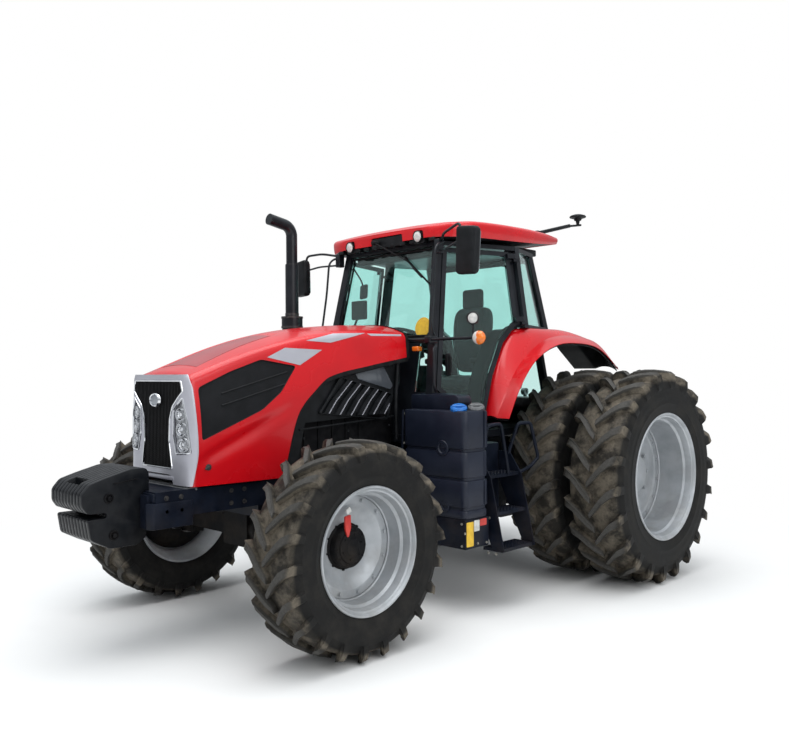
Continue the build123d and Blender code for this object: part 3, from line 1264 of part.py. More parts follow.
with BuildPart() as tank_covers:
    tray_bottom_z = COVER_TOP_Z - COVER_WALL
    back_y = front_post_y(COVER_TOP_Z) - 30
    for side in (-1, 1):
        tray = sorted((side * (TANK_INNER_X - 30), side * (TANK_OUTER_X - 30)))
        riser = sorted((side * (TANK_INNER_X + 20), side * (TANK_OUTER_X - 70)))
        block(tray, (TANK_FRONT_Y - 24, back_y), (tray_bottom_z, COVER_TOP_Z))
        block(riser, (TANK_FRONT_Y + 20, back_y - 10), (TANK_TOP_Z + FACE_GAP, tray_bottom_z + 1))
save(tank_covers, "tank_covers")

STEP_FRONT_Y = REAR_AXLE_Y - 1580
STEP_REAR_Y = REAR_AXLE_Y - 1200
STEP_WALL = 10
STEP_SEAT_X = TANK_STEP_X + FACE_GAP
HANDRAIL_RADIUS = 13
# columns: inner x, outer x, height of the tread's top
STEP_TREADS = [(880, 1050, 970), (940, 1110, 705), (1000, 1175, 450)]

with BuildPart() as entry_steps:
    cheek = [
        (STEP_SEAT_X, FLOOR_BOTTOM_Z - 70),
        (960, FLOOR_BOTTOM_Z - 70),
        (1070, 960),
        (1190, 430),
        (1090, 430),
        (STEP_SEAT_X, 900),
    ]
    for side in (-1, 1):
        for cheek_y in (STEP_FRONT_Y, STEP_REAR_Y - STEP_WALL):
            front_plate([(side * x, z) for x, z in cheek], (cheek_y, cheek_y + STEP_WALL))
        for inner_x, outer_x, top_z in STEP_TREADS:
            block(sorted((side * inner_x, side * outer_x)), (STEP_FRONT_Y, STEP_REAR_Y), (top_z - 24, top_z))
        front_loop = [
            (side * 960, STEP_FRONT_Y + 5, FLOOR_BOTTOM_Z - 90),
            (side * 1040, STEP_FRONT_Y + 5, 1335),
            (side * 1060, STEP_FRONT_Y + 140, 1345),
            (side * 1060, STEP_FRONT_Y + 230, 965),
            (side * 1010, STEP_FRONT_Y + 240, 958),
        ]
        rear_loop = [
            (side * 950, STEP_REAR_Y - 5, FLOOR_BOTTOM_Z - 90),
            (side * 1030, STEP_REAR_Y + 10, 1335),
            (side * 1060, STEP_REAR_Y + 130, 1335),
            (side * 1060, STEP_REAR_Y + 230, 1060),
            (side * 1050, STEP_REAR_Y + 150, 1000),
            (side * 1040, STEP_REAR_Y - 5, 955),
        ]
        add(tube_path(front_loop, HANDRAIL_RADIUS, 35))
        add(tube_path(rear_loop, HANDRAIL_RADIUS, 35))
save(entry_steps, "entry_steps")

MIRROR_X = 930
MIRROR_Y = REAR_AXLE_Y - 1745

with BuildPart() as mirrors:
    for side in (-1, 1):
        foot_x = front_post_x(2690) - 30
        foot_y = front_post_y(2640) - 20 - FACE_GAP
        block(sorted((side * (foot_x - 30), side * (foot_x + 30))), (foot_y - 12, foot_y), (2640, 2712))
        arm = [
            (side * foot_x, foot_y - 6, 2690),
            (side * (MIRROR_X - 40), MIRROR_Y, 2790),
            (side * MIRROR_X, MIRROR_Y, 2770),
            (side * MIRROR_X, MIRROR_Y, 2430),
        ]
        add(tube_path(arm, 11, 12))
        rod((side * foot_x, foot_y - 6, 2655), (side * MIRROR_X, MIRROR_Y, 2690), 7)
        for clamp_z in (2500, 2700):
            block(sorted((side * MIRROR_X, side * (MIRROR_X + 40))), (MIRROR_Y - 12, MIRROR_Y + 12),
                  (clamp_z - 14, clamp_z + 14))
        with BuildPart(mode=Mode.PRIVATE) as housing:
            case = sorted((side * (MIRROR_X + 30), side * (MIRROR_X + 220)))
            block(case, (MIRROR_Y - 45, MIRROR_Y + 25), (2400, 2765))
            fillet(housing.edges().filter_by(Axis.Y), 40)
        add(housing.part)
save(mirrors, "mirrors")

SIGNAL_X = 1100
SIGNAL_Z = 1970

with BuildPart() as turn_signals:
    for side in (-1, 1):
        foot_x = front_post_x(SIGNAL_Z) - 30
        foot_y = front_post_y(SIGNAL_Z - 30) - 20 - FACE_GAP
        signal_y = foot_y - 100
        lamp_x = side * SIGNAL_X
        disc_x = side * (SIGNAL_X - 48)
        disc_z = SIGNAL_Z + 145
        foot = sorted((side * (foot_x - 28), side * (foot_x + 28)))
        block(foot, (foot_y - 14, foot_y), (SIGNAL_Z - 30, SIGNAL_Z + 46))
        rod((side * foot_x, foot_y - 10, SIGNAL_Z + 10), (lamp_x, signal_y, SIGNAL_Z), 11)
        rod((lamp_x, signal_y - 34, SIGNAL_Z), (lamp_x, signal_y + 30, SIGNAL_Z), 50)
        rod((disc_x, signal_y, SIGNAL_Z), (disc_x, signal_y, disc_z - 15), 8)
        rod((disc_x, signal_y - 12, disc_z), (disc_x, signal_y + 12, disc_z), 44)
save(turn_signals, "turn_signals")

ANTENNA_X = 545

with BuildPart() as gps_antenna:
    mast_foot = (ANTENNA_X - 60, REAR_AXLE_Y - 130, 2984)
    mast_knee = (ANTENNA_X, REAR_AXLE_Y + 290, 3085)
    mast_end = (ANTENNA_X, REAR_AXLE_Y + 480, 3115)
    disc_centre = (ANTENNA_X, REAR_AXLE_Y + 430, 3185)
    rod(mast_foot, mast_knee, 17)
    rod(mast_knee, mast_end, 10)
    rod((ANTENNA_X, REAR_AXLE_Y + 430, 3100), disc_centre, 12)
    rod(disc_centre, (ANTENNA_X, REAR_AXLE_Y + 430, 3210), 78)
    block((ANTENNA_X - 120, ANTENNA_X - 20), (REAR_AXLE_Y - 190, REAR_AXLE_Y - 70), (2962, 2990))
save(gps_antenna, "gps_antenna")

# ---------------------------------------------------------------- rear hitch

EAR_WALL = 26
EAR_RADIUS = 55
LINK_WALL = 34
SLOT_HALF = LINK_WALL / 2 + LINK_PIVOT_GAP
HITCH_HALF_WIDTH = 190
LINK_BALL_Y = REAR_AXLE_Y + REAR_OVERHANG - BALL_EYE_RADIUS
ROCKER_PIVOT_Y = LINK_PIVOT_Y - 30
ROCKER_SHAFT_RADIUS = 36
ROCKER_TUBE_RADIUS = 62
HITCH_BOTTOM_Z = 430
HITCH_TOP_Z = 1060
LINK_STRAIGHT = 90  # the link runs straight back this far before it splays
LIFT_PIN_SHARE = (LIFT_ARM_LENGTH - LINK_STRAIGHT) / (LINK_BALL_Y - LINK_PIVOT_Y - LINK_STRAIGHT)
LINK_SPLAY = atan((LINK_BALL_X - LINK_PIVOT_X) / (LINK_BALL_Y - LINK_PIVOT_Y - LINK_STRAIGHT))
LIFT_PIN_LENGTH = 62
LIFT_X = LINK_PIVOT_X + LIFT_PIN_SHARE * (LINK_BALL_X - LINK_PIVOT_X)
HITCH_REAR_Y = HOUSING_REAR_Y + 130
TOP_LINK_PIN_Z = 980
TOP_LINK_LEAN = -0.14
TOP_LINK_LENGTH = 560
TOP_LINK_Y = HITCH_REAR_Y + 75
TOP_LINK_SLEEVE_RADIUS = 24
TOP_EAR_INNER_X = 26
TOP_EAR_OUTER_X = 50
TOP_EYE_RADIUS = 35

with BuildPart() as hitch_frame:
    hitch_x = (-HITCH_HALF_WIDTH, HITCH_HALF_WIDTH)
    block(hitch_x, (HOUSING_REAR_Y, HITCH_REAR_Y), (HITCH_BOTTOM_Z, HITCH_TOP_Z))
    block((-150, 150), (HOUSING_REAR_Y, ROCKER_PIVOT_Y + 40), (HITCH_TOP_Z - 1, ROCKER_PIVOT_Z + 60))
    cross_rod((-LIFT_X + 60, LIFT_X - 60), ROCKER_PIVOT_Y, ROCKER_PIVOT_Z, ROCKER_TUBE_RADIUS)
    cross_rod((-LIFT_X, LIFT_X), ROCKER_PIVOT_Y, ROCKER_PIVOT_Z, ROCKER_SHAFT_RADIUS + PIN_GAP, Mode.SUBTRACT)
    for side in (-1, 1):
        ear_z = (LINK_PIVOT_Z - EAR_RADIUS, LINK_PIVOT_Z + EAR_RADIUS)
        for ear_x in (LINK_PIVOT_X - SLOT_HALF - EAR_WALL, LINK_PIVOT_X + SLOT_HALF):
            ear = sorted((side * ear_x, side * (ear_x + EAR_WALL)))
            block(ear, (HITCH_REAR_Y - 100, LINK_PIVOT_Y), ear_z)
            cross_rod(ear, LINK_PIVOT_Y, LINK_PIVOT_Z, EAR_RADIUS)
        web = sorted((side * (HITCH_HALF_WIDTH - 1), side * (LINK_PIVOT_X + SLOT_HALF + EAR_WALL)))
        block(web, (HOUSING_REAR_Y, LINK_PIVOT_Y - 60), ear_z)
        pin = sorted((side * (LINK_PIVOT_X - 50), side * (LINK_PIVOT_X + 50)))
        cross_rod(pin, LINK_PIVOT_Y, LINK_PIVOT_Z, HITCH_PIN_RADIUS)
        top_ear = sorted((side * TOP_EAR_INNER_X, side * TOP_EAR_OUTER_X))
        block(top_ear, (HITCH_REAR_Y - 1, TOP_LINK_Y + 10),
              (TOP_LINK_PIN_Z - TOP_EYE_RADIUS, TOP_LINK_PIN_Z + TOP_EYE_RADIUS))
        cross_rod(top_ear, TOP_LINK_Y, TOP_LINK_PIN_Z, TOP_EYE_RADIUS)
    cross_rod((-TOP_EAR_OUTER_X, TOP_EAR_OUTER_X), TOP_LINK_Y, TOP_LINK_PIN_Z, HITCH_PIN_RADIUS)
    rest_z = ROCKER_PIVOT_Z + 110
    link_front = TOP_LINK_SLEEVE_RADIUS / cos(atan(TOP_LINK_LEAN))
    rest_y = TOP_LINK_Y + TOP_LINK_LEAN * (rest_z - TOP_LINK_PIN_Z) - link_front - FACE_GAP
    block((-15, 15), (ROCKER_PIVOT_Y, rest_y), (ROCKER_PIVOT_Z + 40, rest_z))
    rod((0, HITCH_REAR_Y - PTO_HUB_DEPTH - MOVING_GAP, PTO_Z), (0, HITCH_REAR_Y + 1, PTO_Z),
        PTO_HUB_RADIUS + PIN_GAP, Mode.SUBTRACT)
save(hitch_frame, "hitch_frame")

with BuildPart() as pto_shaft:
    hub_end_y = HITCH_REAR_Y + 15
    rod((0, HITCH_REAR_Y - PTO_HUB_DEPTH, PTO_Z), (0, hub_end_y, PTO_Z), PTO_HUB_RADIUS)
    rod((0, hub_end_y, PTO_Z), (0, hub_end_y + PTO_LENGTH, PTO_Z), PTO_RADIUS)
save(pto_shaft, "pto_shaft")

with BuildPart() as lower_links:
    for side in (-1, 1):
        plan = [
            (side * (LINK_PIVOT_X - LINK_WALL / 2), LINK_PIVOT_Y),
            (side * (LINK_PIVOT_X + LINK_WALL / 2), LINK_PIVOT_Y),
            (side * (LINK_PIVOT_X + LINK_WALL / 2), LINK_PIVOT_Y + LINK_STRAIGHT),
            (side * (LIFT_X + LINK_WALL / 2), LINK_PIVOT_Y + LIFT_ARM_LENGTH),
            (side * (LINK_BALL_X + LINK_WALL / 2), LINK_BALL_Y),
            (side * (LINK_BALL_X - LINK_WALL / 2), LINK_BALL_Y),
            (side * (LIFT_X - LINK_WALL / 2), LINK_PIVOT_Y + LIFT_ARM_LENGTH),
            (side * (LINK_PIVOT_X - LINK_WALL / 2), LINK_PIVOT_Y + LINK_STRAIGHT),
        ]
        level_slab(plan, (LINK_PIVOT_Z - 34, LINK_PIVOT_Z + 34))
        pivot = (side * LINK_PIVOT_X - LINK_WALL / 2, side * LINK_PIVOT_X + LINK_WALL / 2)
        cross_rod(pivot, LINK_PIVOT_Y, LINK_PIVOT_Z, 40)
        cross_rod((pivot[0] - 20, pivot[1] + 20), LINK_PIVOT_Y, LINK_PIVOT_Z, HITCH_PIN_RADIUS + PIN_GAP,
                  Mode.SUBTRACT)
        # the ball eye's bore lies square to the splayed link
        centre = Vector(side * LINK_BALL_X, LINK_BALL_Y, LINK_PIVOT_Z)
        across = Vector(side * cos(LINK_SPLAY), -sin(LINK_SPLAY), 0)
        rod(tuple(centre - across * LINK_WALL / 2), tuple(centre + across * LINK_WALL / 2), BALL_EYE_RADIUS)
        rod(tuple(centre - across * LINK_WALL), tuple(centre + across * LINK_WALL), BALL_BORE_RADIUS,
            Mode.SUBTRACT)
        lift_pin = sorted((side * LIFT_X, side * (LIFT_X - LIFT_PIN_LENGTH)))
        cross_rod(lift_pin, LINK_PIVOT_Y + LIFT_ARM_LENGTH, LINK_PIVOT_Z, HITCH_PIN_RADIUS)
save(lower_links, "lower_links")

ROD_X = LIFT_X - 44
ROD_EYE_HALF = 15

with BuildPart() as rocker_arms:
    cross_rod((-LIFT_X - 10, LIFT_X + 10), ROCKER_PIVOT_Y, ROCKER_PIVOT_Z, ROCKER_SHAFT_RADIUS)
    for side in (-1, 1):
        arm = sorted((side * (LIFT_X - 20), side * (LIFT_X + 14)))
        tip_y = ROCKER_PIVOT_Y + LIFT_ARM_LENGTH
        block(arm, (ROCKER_PIVOT_Y, tip_y), (ROCKER_PIVOT_Z - 30, ROCKER_PIVOT_Z + 30))
        cross_rod(arm, ROCKER_PIVOT_Y, ROCKER_PIVOT_Z, 60)
        cross_rod(arm, tip_y, ROCKER_PIVOT_Z, 32)
        lift_pin = sorted((side * LIFT_X, side * (LIFT_X - LIFT_PIN_LENGTH)))
        cross_rod(lift_pin, tip_y, ROCKER_PIVOT_Z, HITCH_PIN_RADIUS)
save(rocker_arms, "rocker_arms")

with BuildPart() as lift_rods:
    low = Vector(0, LINK_PIVOT_Y + LIFT_ARM_LENGTH, LINK_PIVOT_Z)
    high = Vector(0, ROCKER_PIVOT_Y + LIFT_ARM_LENGTH, ROCKER_PIVOT_Z)
    for side in (-1, 1):
        centre = Vector(side * ROD_X, 0, 0)
        rod(tuple(low + centre), tuple(high + centre), 13)
        rod(tuple(low + centre + (high - low) * 0.3), tuple(low + centre + (high - low) * 0.62), 15)
        eye_x = (centre.X - ROD_EYE_HALF, centre.X + ROD_EYE_HALF)
        for end in (low, high):
            cross_rod(eye_x, end.Y, end.Z, 30)
        for end in (low, high):
            cross_rod(eye_x, end.Y, end.Z, HITCH_PIN_RADIUS + PIN_GAP, Mode.SUBTRACT)
save(lift_rods, "lift_rods")

with BuildPart() as top_link:
    lower_eye = Vector(0, TOP_LINK_Y, TOP_LINK_PIN_Z)
    direction = Vector(0, TOP_LINK_LEAN, 1).normalized()
    upper_eye = lower_eye + direction * TOP_LINK_LENGTH
    rod(tuple(lower_eye), tuple(upper_eye), 17)
    rod(tuple(lower_eye + direction * 150), tuple(lower_eye + direction * 420), TOP_LINK_SLEEVE_RADIUS)
    # columns: centre of the eye, radius of its bore
    for eye, bore in ((lower_eye, HITCH_PIN_RADIUS + PIN_GAP), (upper_eye, TOP_LINK_BORE_RADIUS)):
        cross_rod((-22, 22), eye.Y, eye.Z, 34)
        cross_rod((-30, 30), eye.Y, eye.Z, bore, Mode.SUBTRACT)
save(top_link, "top_link")

DRAWBAR_TOP_Z = 400
DRAWBAR_END_Y = REAR_AXLE_Y + 760
DRAWBAR_HALF_WIDTH = 42
DRAWBAR_WALL = 42
CLEVIS_DEPTH = 160
CLEVIS_GAP = 70
CLEVIS_WALL = 20

with BuildPart() as drawbar:
    bar = (-DRAWBAR_HALF_WIDTH, DRAWBAR_HALF_WIDTH)
    start_y = REAR_AXLE_Y - 120
    clevis_y = DRAWBAR_END_Y - CLEVIS_DEPTH
    clevis_top_z = DRAWBAR_TOP_Z + CLEVIS_GAP + CLEVIS_WALL
    pin_y = DRAWBAR_END_Y - 55
    block(bar, (start_y, DRAWBAR_END_Y), (DRAWBAR_TOP_Z - DRAWBAR_WALL, DRAWBAR_TOP_Z))
    block(bar, (clevis_y - 30, clevis_y), (DRAWBAR_TOP_Z - 1, clevis_top_z))
    block(bar, (clevis_y - 30, DRAWBAR_END_Y), (clevis_top_z - CLEVIS_WALL, clevis_top_z))
    rod((0, pin_y, DRAWBAR_TOP_Z - DRAWBAR_WALL - 10), (0, pin_y, clevis_top_z + 10), DRAWBAR_PIN_RADIUS,
        Mode.SUBTRACT)
    block((-90, 90), (HOUSING_REAR_Y + 20, HITCH_REAR_Y - 20), (DRAWBAR_TOP_Z, HITCH_BOTTOM_Z - FACE_GAP))
    block((-60, 60), (start_y, start_y + 60), (DRAWBAR_TOP_Z - 1, HOUSING_BOTTOM_Z - FACE_GAP))
save(drawbar, "drawbar")
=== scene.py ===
# %% [markdown]
# # A farm tractor, piece by piece
# This lesson only dresses it: some CAD solids keep their mesh and get a finish, and others are
# stood for by detailed pieces that ride on the same bodies. Everything is in metres, the front
# faces -Y, +X is the tractor's left and the ground is at z = 0.

# %% Load the frame
import math

import bmesh
import bpy
from mathutils import Euler, Matrix, Vector
from mathutils.bvhtree import BVHTree


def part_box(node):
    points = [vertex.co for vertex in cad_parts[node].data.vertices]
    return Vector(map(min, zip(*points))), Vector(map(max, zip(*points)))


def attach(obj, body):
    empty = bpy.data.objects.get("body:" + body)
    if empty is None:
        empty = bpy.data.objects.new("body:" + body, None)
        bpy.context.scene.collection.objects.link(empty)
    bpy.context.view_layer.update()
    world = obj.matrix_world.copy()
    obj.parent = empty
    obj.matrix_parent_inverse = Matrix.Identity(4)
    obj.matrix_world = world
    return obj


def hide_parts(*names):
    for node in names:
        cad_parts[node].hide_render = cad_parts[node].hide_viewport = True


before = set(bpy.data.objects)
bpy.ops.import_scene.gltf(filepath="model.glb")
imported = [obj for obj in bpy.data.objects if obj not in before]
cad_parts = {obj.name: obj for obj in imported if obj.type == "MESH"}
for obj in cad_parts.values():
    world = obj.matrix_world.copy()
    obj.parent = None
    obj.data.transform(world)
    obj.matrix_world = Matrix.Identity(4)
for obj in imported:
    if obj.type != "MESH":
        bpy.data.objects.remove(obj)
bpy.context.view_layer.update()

scene = bpy.context.scene

# %% [markdown]
# ## Where things are
# Positions come from the CAD nodes' boxes, so a piece can't drift away from the solid it stands for.
# Two small functions give a box's corners and its middle, and the two axles are read once, because
# wheels, fenders and the rear linkage are all placed from them.

# %% Read the main places
def box_of(node):
    """Lowest and highest corner of a CAD node's box."""
    low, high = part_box(node)
    return Vector(low), Vector(high)


def middle(node):
    """Middle of a CAD node's box."""
    low, high = box_of(node)
    return (low + high) / 2


FRONT_AXLE = middle("front_tyre_left")
REAR_AXLE = middle("rear_tyres_left")
hood_low, hood_high = box_of("hood_shell")
GRILLE_Y, HOOD_REAR_Y = hood_low.y, hood_high.y
HOOD_LENGTH = HOOD_REAR_Y - GRILLE_Y
print("axles at y", round(FRONT_AXLE.y, 3), round(REAR_AXLE.y, 3), "hood", round(HOOD_LENGTH, 3), "long")

# %% [markdown]
# ## Camera, floor and light
# The camera stands at eye height, off the front left corner. Its bearing, pitch and roll are set as
# three angles and turned into a matrix, which is easier to adjust than a rotation typed by hand. The
# sky gives soft light that grows with height, one wide lamp above gives the soft shadow under the
# tractor, and a second one lifts its left side.

# %% Set the camera
CAMERA_PLACE = Vector((4.789, -4.705, 1.727))
BEARING, PITCH, ROLL = (math.radians(v) for v in (44.83, -0.21, -0.32))
LENS = 37.51

forward = Vector((-math.sin(BEARING) * math.cos(PITCH), math.cos(BEARING) * math.cos(PITCH), math.sin(PITCH)))
level = Vector((math.cos(BEARING), math.sin(BEARING), 0))
above = level.cross(forward)
right = level * math.cos(ROLL) + above * math.sin(ROLL)
above = above * math.cos(ROLL) - level * math.sin(ROLL)
camera = bpy.data.objects.new("camera", bpy.data.cameras.new("camera"))
scene.collection.objects.link(camera)
turn = Matrix((right, above, -forward)).transposed().to_4x4()
camera.matrix_world = Matrix.Translation(CAMERA_PLACE) @ turn
camera.data.lens = LENS
camera.data.sensor_width = 36
camera.data.clip_end = 200
scene.camera = camera
scene.view_settings.view_transform = "Standard"

# %% Light the place
def node(tree, kind, inputs=(), **settings):
    """Adds a shader node, sets its properties and fills or links its inputs."""
    made = tree.nodes.new(kind)
    for key, value in settings.items():
        setattr(made, key, value)
    for key, value in dict(inputs).items():
        if isinstance(value, bpy.types.NodeSocket):
            tree.links.new(value, made.inputs[key])
        else:
            made.inputs[key].default_value = value
    return made


def ranged(tree, value, low, high, to_low=0.0, to_high=1.0):
    """A value carried from one range to another and held inside it."""
    return node(tree, "ShaderNodeMapRange", {
        "Value": value, "From Min": low, "From Max": high, "To Min": to_low, "To Max": to_high}).outputs[0]


def maths(tree, operation, first, second):
    """Two values added, multiplied or compared."""
    return node(tree, "ShaderNodeMath", {0: first, 1: second}, operation=operation).outputs[0]


def tone(colour):
    """A colour as four numbers."""
    return (*colour, 1.0)


world = bpy.data.worlds.new("overcast")
scene.world = world
world.use_nodes = True
sky = world.node_tree
sky.nodes.clear()
rays = node(sky, "ShaderNodeLightPath").outputs
outward = node(sky, "ShaderNodeTexCoord").outputs["Generated"]
height = node(sky, "ShaderNodeSeparateXYZ", {0: outward}).outputs["Z"]
soft_light = node(sky, "ShaderNodeBackground", {
    "Color": tone((0.92, 0.96, 1.0)), "Strength": ranged(sky, height, -0.15, 0.9, 0.10, 1.25)})
white_back = node(sky, "ShaderNodeBackground", {"Color": tone((1, 1, 1)), "Strength": 1.0})
seen = maths(sky, "MAXIMUM", rays["Is Camera Ray"], rays["Is Transmission Ray"])
choose = node(sky, "ShaderNodeMixShader", {0: seen, 1: soft_light.outputs[0], 2: white_back.outputs[0]})
node(sky, "ShaderNodeOutputWorld", {0: choose.outputs[0]})


def add_lamp(name, place, target, size, power):
    """Adds a square soft lamp that faces a target."""
    lamp = bpy.data.lights.new(name, "AREA")
    lamp.size = size
    lamp.energy = power
    holder = bpy.data.objects.new(name, lamp)
    holder.location = place
    holder.rotation_mode = "QUATERNION"
    holder.rotation_quaternion = (Vector(target) - Vector(place)).to_track_quat("-Z", "Y")
    scene.collection.objects.link(holder)


add_lamp("sky_lamp", (1.0, -1.5, 8.5), (0, 0, 1.0), 7, 430)
add_lamp("side_lamp", (8.0, -2.0, 5.0), (0, 0, 1.2), 5, 175)
print("camera", [round(v, 2) for v in camera.location], "two lamps")

# %% [markdown]
# ## Finishes
# Every finish is a small node tree on the piece's own coordinates: two tones mixed by noise, a bump
# for the grain, and dirt that gathers low on the machine. One function builds the tree, so a new
# finish is one line of numbers. Values that are the same all over the surface go straight into the
# shader's sockets, where an exporter can read them.

# %% Make the finish builder
DUST = (0.17, 0.125, 0.08)


def blank_finish(name):
    """An empty material, its node tree and the piece's own coordinates in it."""
    material = bpy.data.materials.new(name)
    material.use_nodes = True
    tree = material.node_tree
    tree.nodes.clear()
    return material, tree, node(tree, "ShaderNodeTexCoord").outputs["Object"]


def noise(tree, place, scale, detail, rough=0.5):
    """Cloudy noise from 0 to 1."""
    return node(tree, "ShaderNodeTexNoise", {
        "Vector": place, "Scale": scale, "Detail": detail, "Roughness": rough}).outputs["Fac"]


def blended(tree, share, first, second):
    """A colour between two, each a colour or the result of another node."""
    ends = [end if isinstance(end, bpy.types.NodeSocket) else tone(end) for end in (first, second)]
    return node(tree, "ShaderNodeMix", {0: share, 6: ends[0], 7: ends[1]}, data_type="RGBA").outputs[2]


def relief_of(tree, height, strength, distance=0.002):
    """A bumpy normal from a height."""
    return node(tree, "ShaderNodeBump", {"Height": height, "Strength": strength,
                                         "Distance": distance}).outputs[0]


def shade(tree, **inputs):
    """Closes a tree with a principled shader. An underscore in an input's name stands for a space."""
    shader = node(tree, "ShaderNodeBsdfPrincipled",
                  {key.replace("_", " "): value for key, value in inputs.items()})
    node(tree, "ShaderNodeOutputMaterial", {0: shader.outputs[0]})


def finish(name, colour, second, rough, metal=0.0, coat=0.0, grain=30.0, bump=0.05, dust=0.0,
           dust_height=1.1, dust_colour=DUST, sheen=0.0, fine=220.0, gleam=0.5):
    """A two-tone surface with grain, uneven gloss and dirt that thins out with height."""
    material, tree, place = blank_finish(name)
    broad = noise(tree, place, grain, 6.0)
    result = blended(tree, ranged(tree, broad, 0.4, 0.62), colour, second)
    gloss = ranged(tree, broad, 0.3, 0.7, *rough)
    if dust:
        height = node(tree, "ShaderNodeSeparateXYZ", {0: place}).outputs["Z"]
        fleck = ranged(tree, noise(tree, place, 5.0, 8.0, 0.65), 0.42, 0.72, 0.0, dust)
        amount = maths(tree, "MULTIPLY", ranged(tree, height, dust_height, 0.2), fleck)
        result = blended(tree, amount, result, dust_colour)
        gloss = node(tree, "ShaderNodeMix", {0: amount, 2: gloss, 3: 0.9}, data_type="FLOAT").outputs[0]
    shade(tree, Base_Color=result, Roughness=gloss,
          Normal=relief_of(tree, noise(tree, place, fine, 3.0), bump), Metallic=metal, Coat_Weight=coat,
          Coat_Roughness=0.08, Sheen_Weight=sheen, Specular_IOR_Level=gleam)
    return material


def clear_finish(name, colour, rough):
    """Glass or clear plastic with a faint film of dust in its gloss."""
    material, tree, place = blank_finish(name)
    film = noise(tree, place, 6.0, 5.0)
    shade(tree, Base_Color=blended(tree, film, colour, [channel * 0.93 for channel in colour]),
          Roughness=ranged(tree, film, 0.45, 0.8, rough, rough + 0.05), IOR=1.45, Transmission_Weight=1.0)
    return material


# %% Name the finishes
RED_PAINT = finish("red_paint", (0.60, 0.004, 0.009), (0.53, 0.003, 0.008), (0.24, 0.34), coat=0.30,
                   grain=2.5, bump=0.003, gleam=0.4)
SILVER_PAINT = finish("silver_paint", (0.40, 0.42, 0.45), (0.32, 0.34, 0.37), (0.3, 0.42), metal=0.45,
                      grain=9, bump=0.03, dust=0.2)
LAMP_SILVER = finish("lamp_silver", (0.52, 0.53, 0.55), (0.40, 0.41, 0.43), (0.2, 0.32), metal=0.5, grain=14,
                     bump=0.0)
RIM_PAINT = finish("rim_paint", (0.44, 0.46, 0.48), (0.34, 0.36, 0.38), (0.36, 0.5), metal=0.35, grain=6,
                   bump=0.04, dust=0.45, dust_height=1.3, dust_colour=(0.2, 0.17, 0.13))
FRAME_PAINT = finish("frame_paint", (0.004, 0.006, 0.012), (0.007, 0.010, 0.019), (0.32, 0.48), grain=8,
                     bump=0.05, dust=0.18, gleam=0.14)
CAB_PAINT = finish("cab_paint", (0.006, 0.007, 0.010), (0.010, 0.012, 0.016), (0.28, 0.4), coat=0.08, grain=7,
                   bump=0.03, dust=0.08, gleam=0.3)
CASTING = finish("casting", (0.004, 0.004, 0.005), (0.009, 0.009, 0.010), (0.45, 0.65), grain=22, bump=0.5,
                 dust=0.18, fine=120, gleam=0.10)
WEIGHT_IRON = finish("weight_iron", (0.004, 0.005, 0.007), (0.009, 0.010, 0.012), (0.30, 0.46), grain=14,
                     bump=0.3, dust=0.06, fine=160, gleam=0.18)
TANK_PLASTIC = finish("tank_plastic", (0.008, 0.011, 0.022), (0.014, 0.018, 0.032), (0.34, 0.46), grain=5,
                      bump=0.10, dust=0.25, dust_height=0.8, fine=500, gleam=0.32)
BLACK_RUBBER = finish("black_rubber", (0.006, 0.006, 0.007), (0.013, 0.013, 0.014), (0.55, 0.75), grain=18,
                      bump=0.15, dust=0.15, gleam=0.15)
MOULDED_BLACK = finish("moulded_black", (0.005, 0.006, 0.007), (0.010, 0.011, 0.013), (0.4, 0.55), grain=12,
                       bump=0.2, fine=420, dust=0.08, gleam=0.2)
STEEL = finish("bare_steel", (0.34, 0.34, 0.35), (0.22, 0.21, 0.20), (0.3, 0.48), metal=0.9, grain=25,
               bump=0.08, dust=0.3)
ZINC = finish("zinc_bolt", (0.44, 0.43, 0.40), (0.28, 0.26, 0.22), (0.32, 0.5), metal=0.8, grain=60,
              bump=0.06)
DARK_BOLT = finish("dark_bolt", (0.04, 0.04, 0.045), (0.08, 0.075, 0.07), (0.35, 0.55), metal=0.6, grain=60,
                   bump=0.06)
CHROME = finish("chrome", (0.75, 0.76, 0.78), (0.62, 0.63, 0.66), (0.06, 0.14), metal=1.0, grain=12, bump=0.0)
CABIN_PLASTIC = finish("cabin_plastic", (0.020, 0.021, 0.023), (0.034, 0.035, 0.038), (0.5, 0.65), grain=16,
                       bump=0.3, fine=520, gleam=0.25)
GREY_PLASTIC = finish("grey_plastic", (0.10, 0.105, 0.11), (0.15, 0.155, 0.16), (0.4, 0.55), grain=20,
                      bump=0.15)
BLUE_PLASTIC = finish("blue_plastic", (0.012, 0.15, 0.50), (0.010, 0.11, 0.38), (0.3, 0.42), grain=20,
                      bump=0.08)
RED_PLASTIC = finish("red_plastic", (0.60, 0.03, 0.02), (0.48, 0.02, 0.015), (0.35, 0.5), grain=24, bump=0.1)
AMBER_LENS = finish("amber_lens", (0.85, 0.21, 0.012), (0.65, 0.13, 0.008), (0.12, 0.22), coat=0.5, grain=40,
                    bump=0.2, fine=90)
WHITE_LENS = finish("white_lens", (0.74, 0.73, 0.70), (0.56, 0.56, 0.54), (0.12, 0.22), coat=0.5, grain=40,
                    bump=0.3, fine=90)
RED_LENS = finish("red_lens", (0.55, 0.012, 0.01), (0.40, 0.008, 0.008), (0.14, 0.24), coat=0.5, grain=40,
                  bump=0.2, fine=90)
YELLOW_LABEL = finish("yellow_label", (0.78, 0.50, 0.03), (0.66, 0.40, 0.03), (0.4, 0.55), grain=30,
                      bump=0.03)
WHITE_LABEL = finish("white_label", (0.62, 0.62, 0.60), (0.48, 0.48, 0.46), (0.4, 0.55), grain=30, bump=0.03)
RED_LABEL = finish("red_label", (0.55, 0.05, 0.04), (0.45, 0.04, 0.03), (0.4, 0.55), grain=30, bump=0.03)
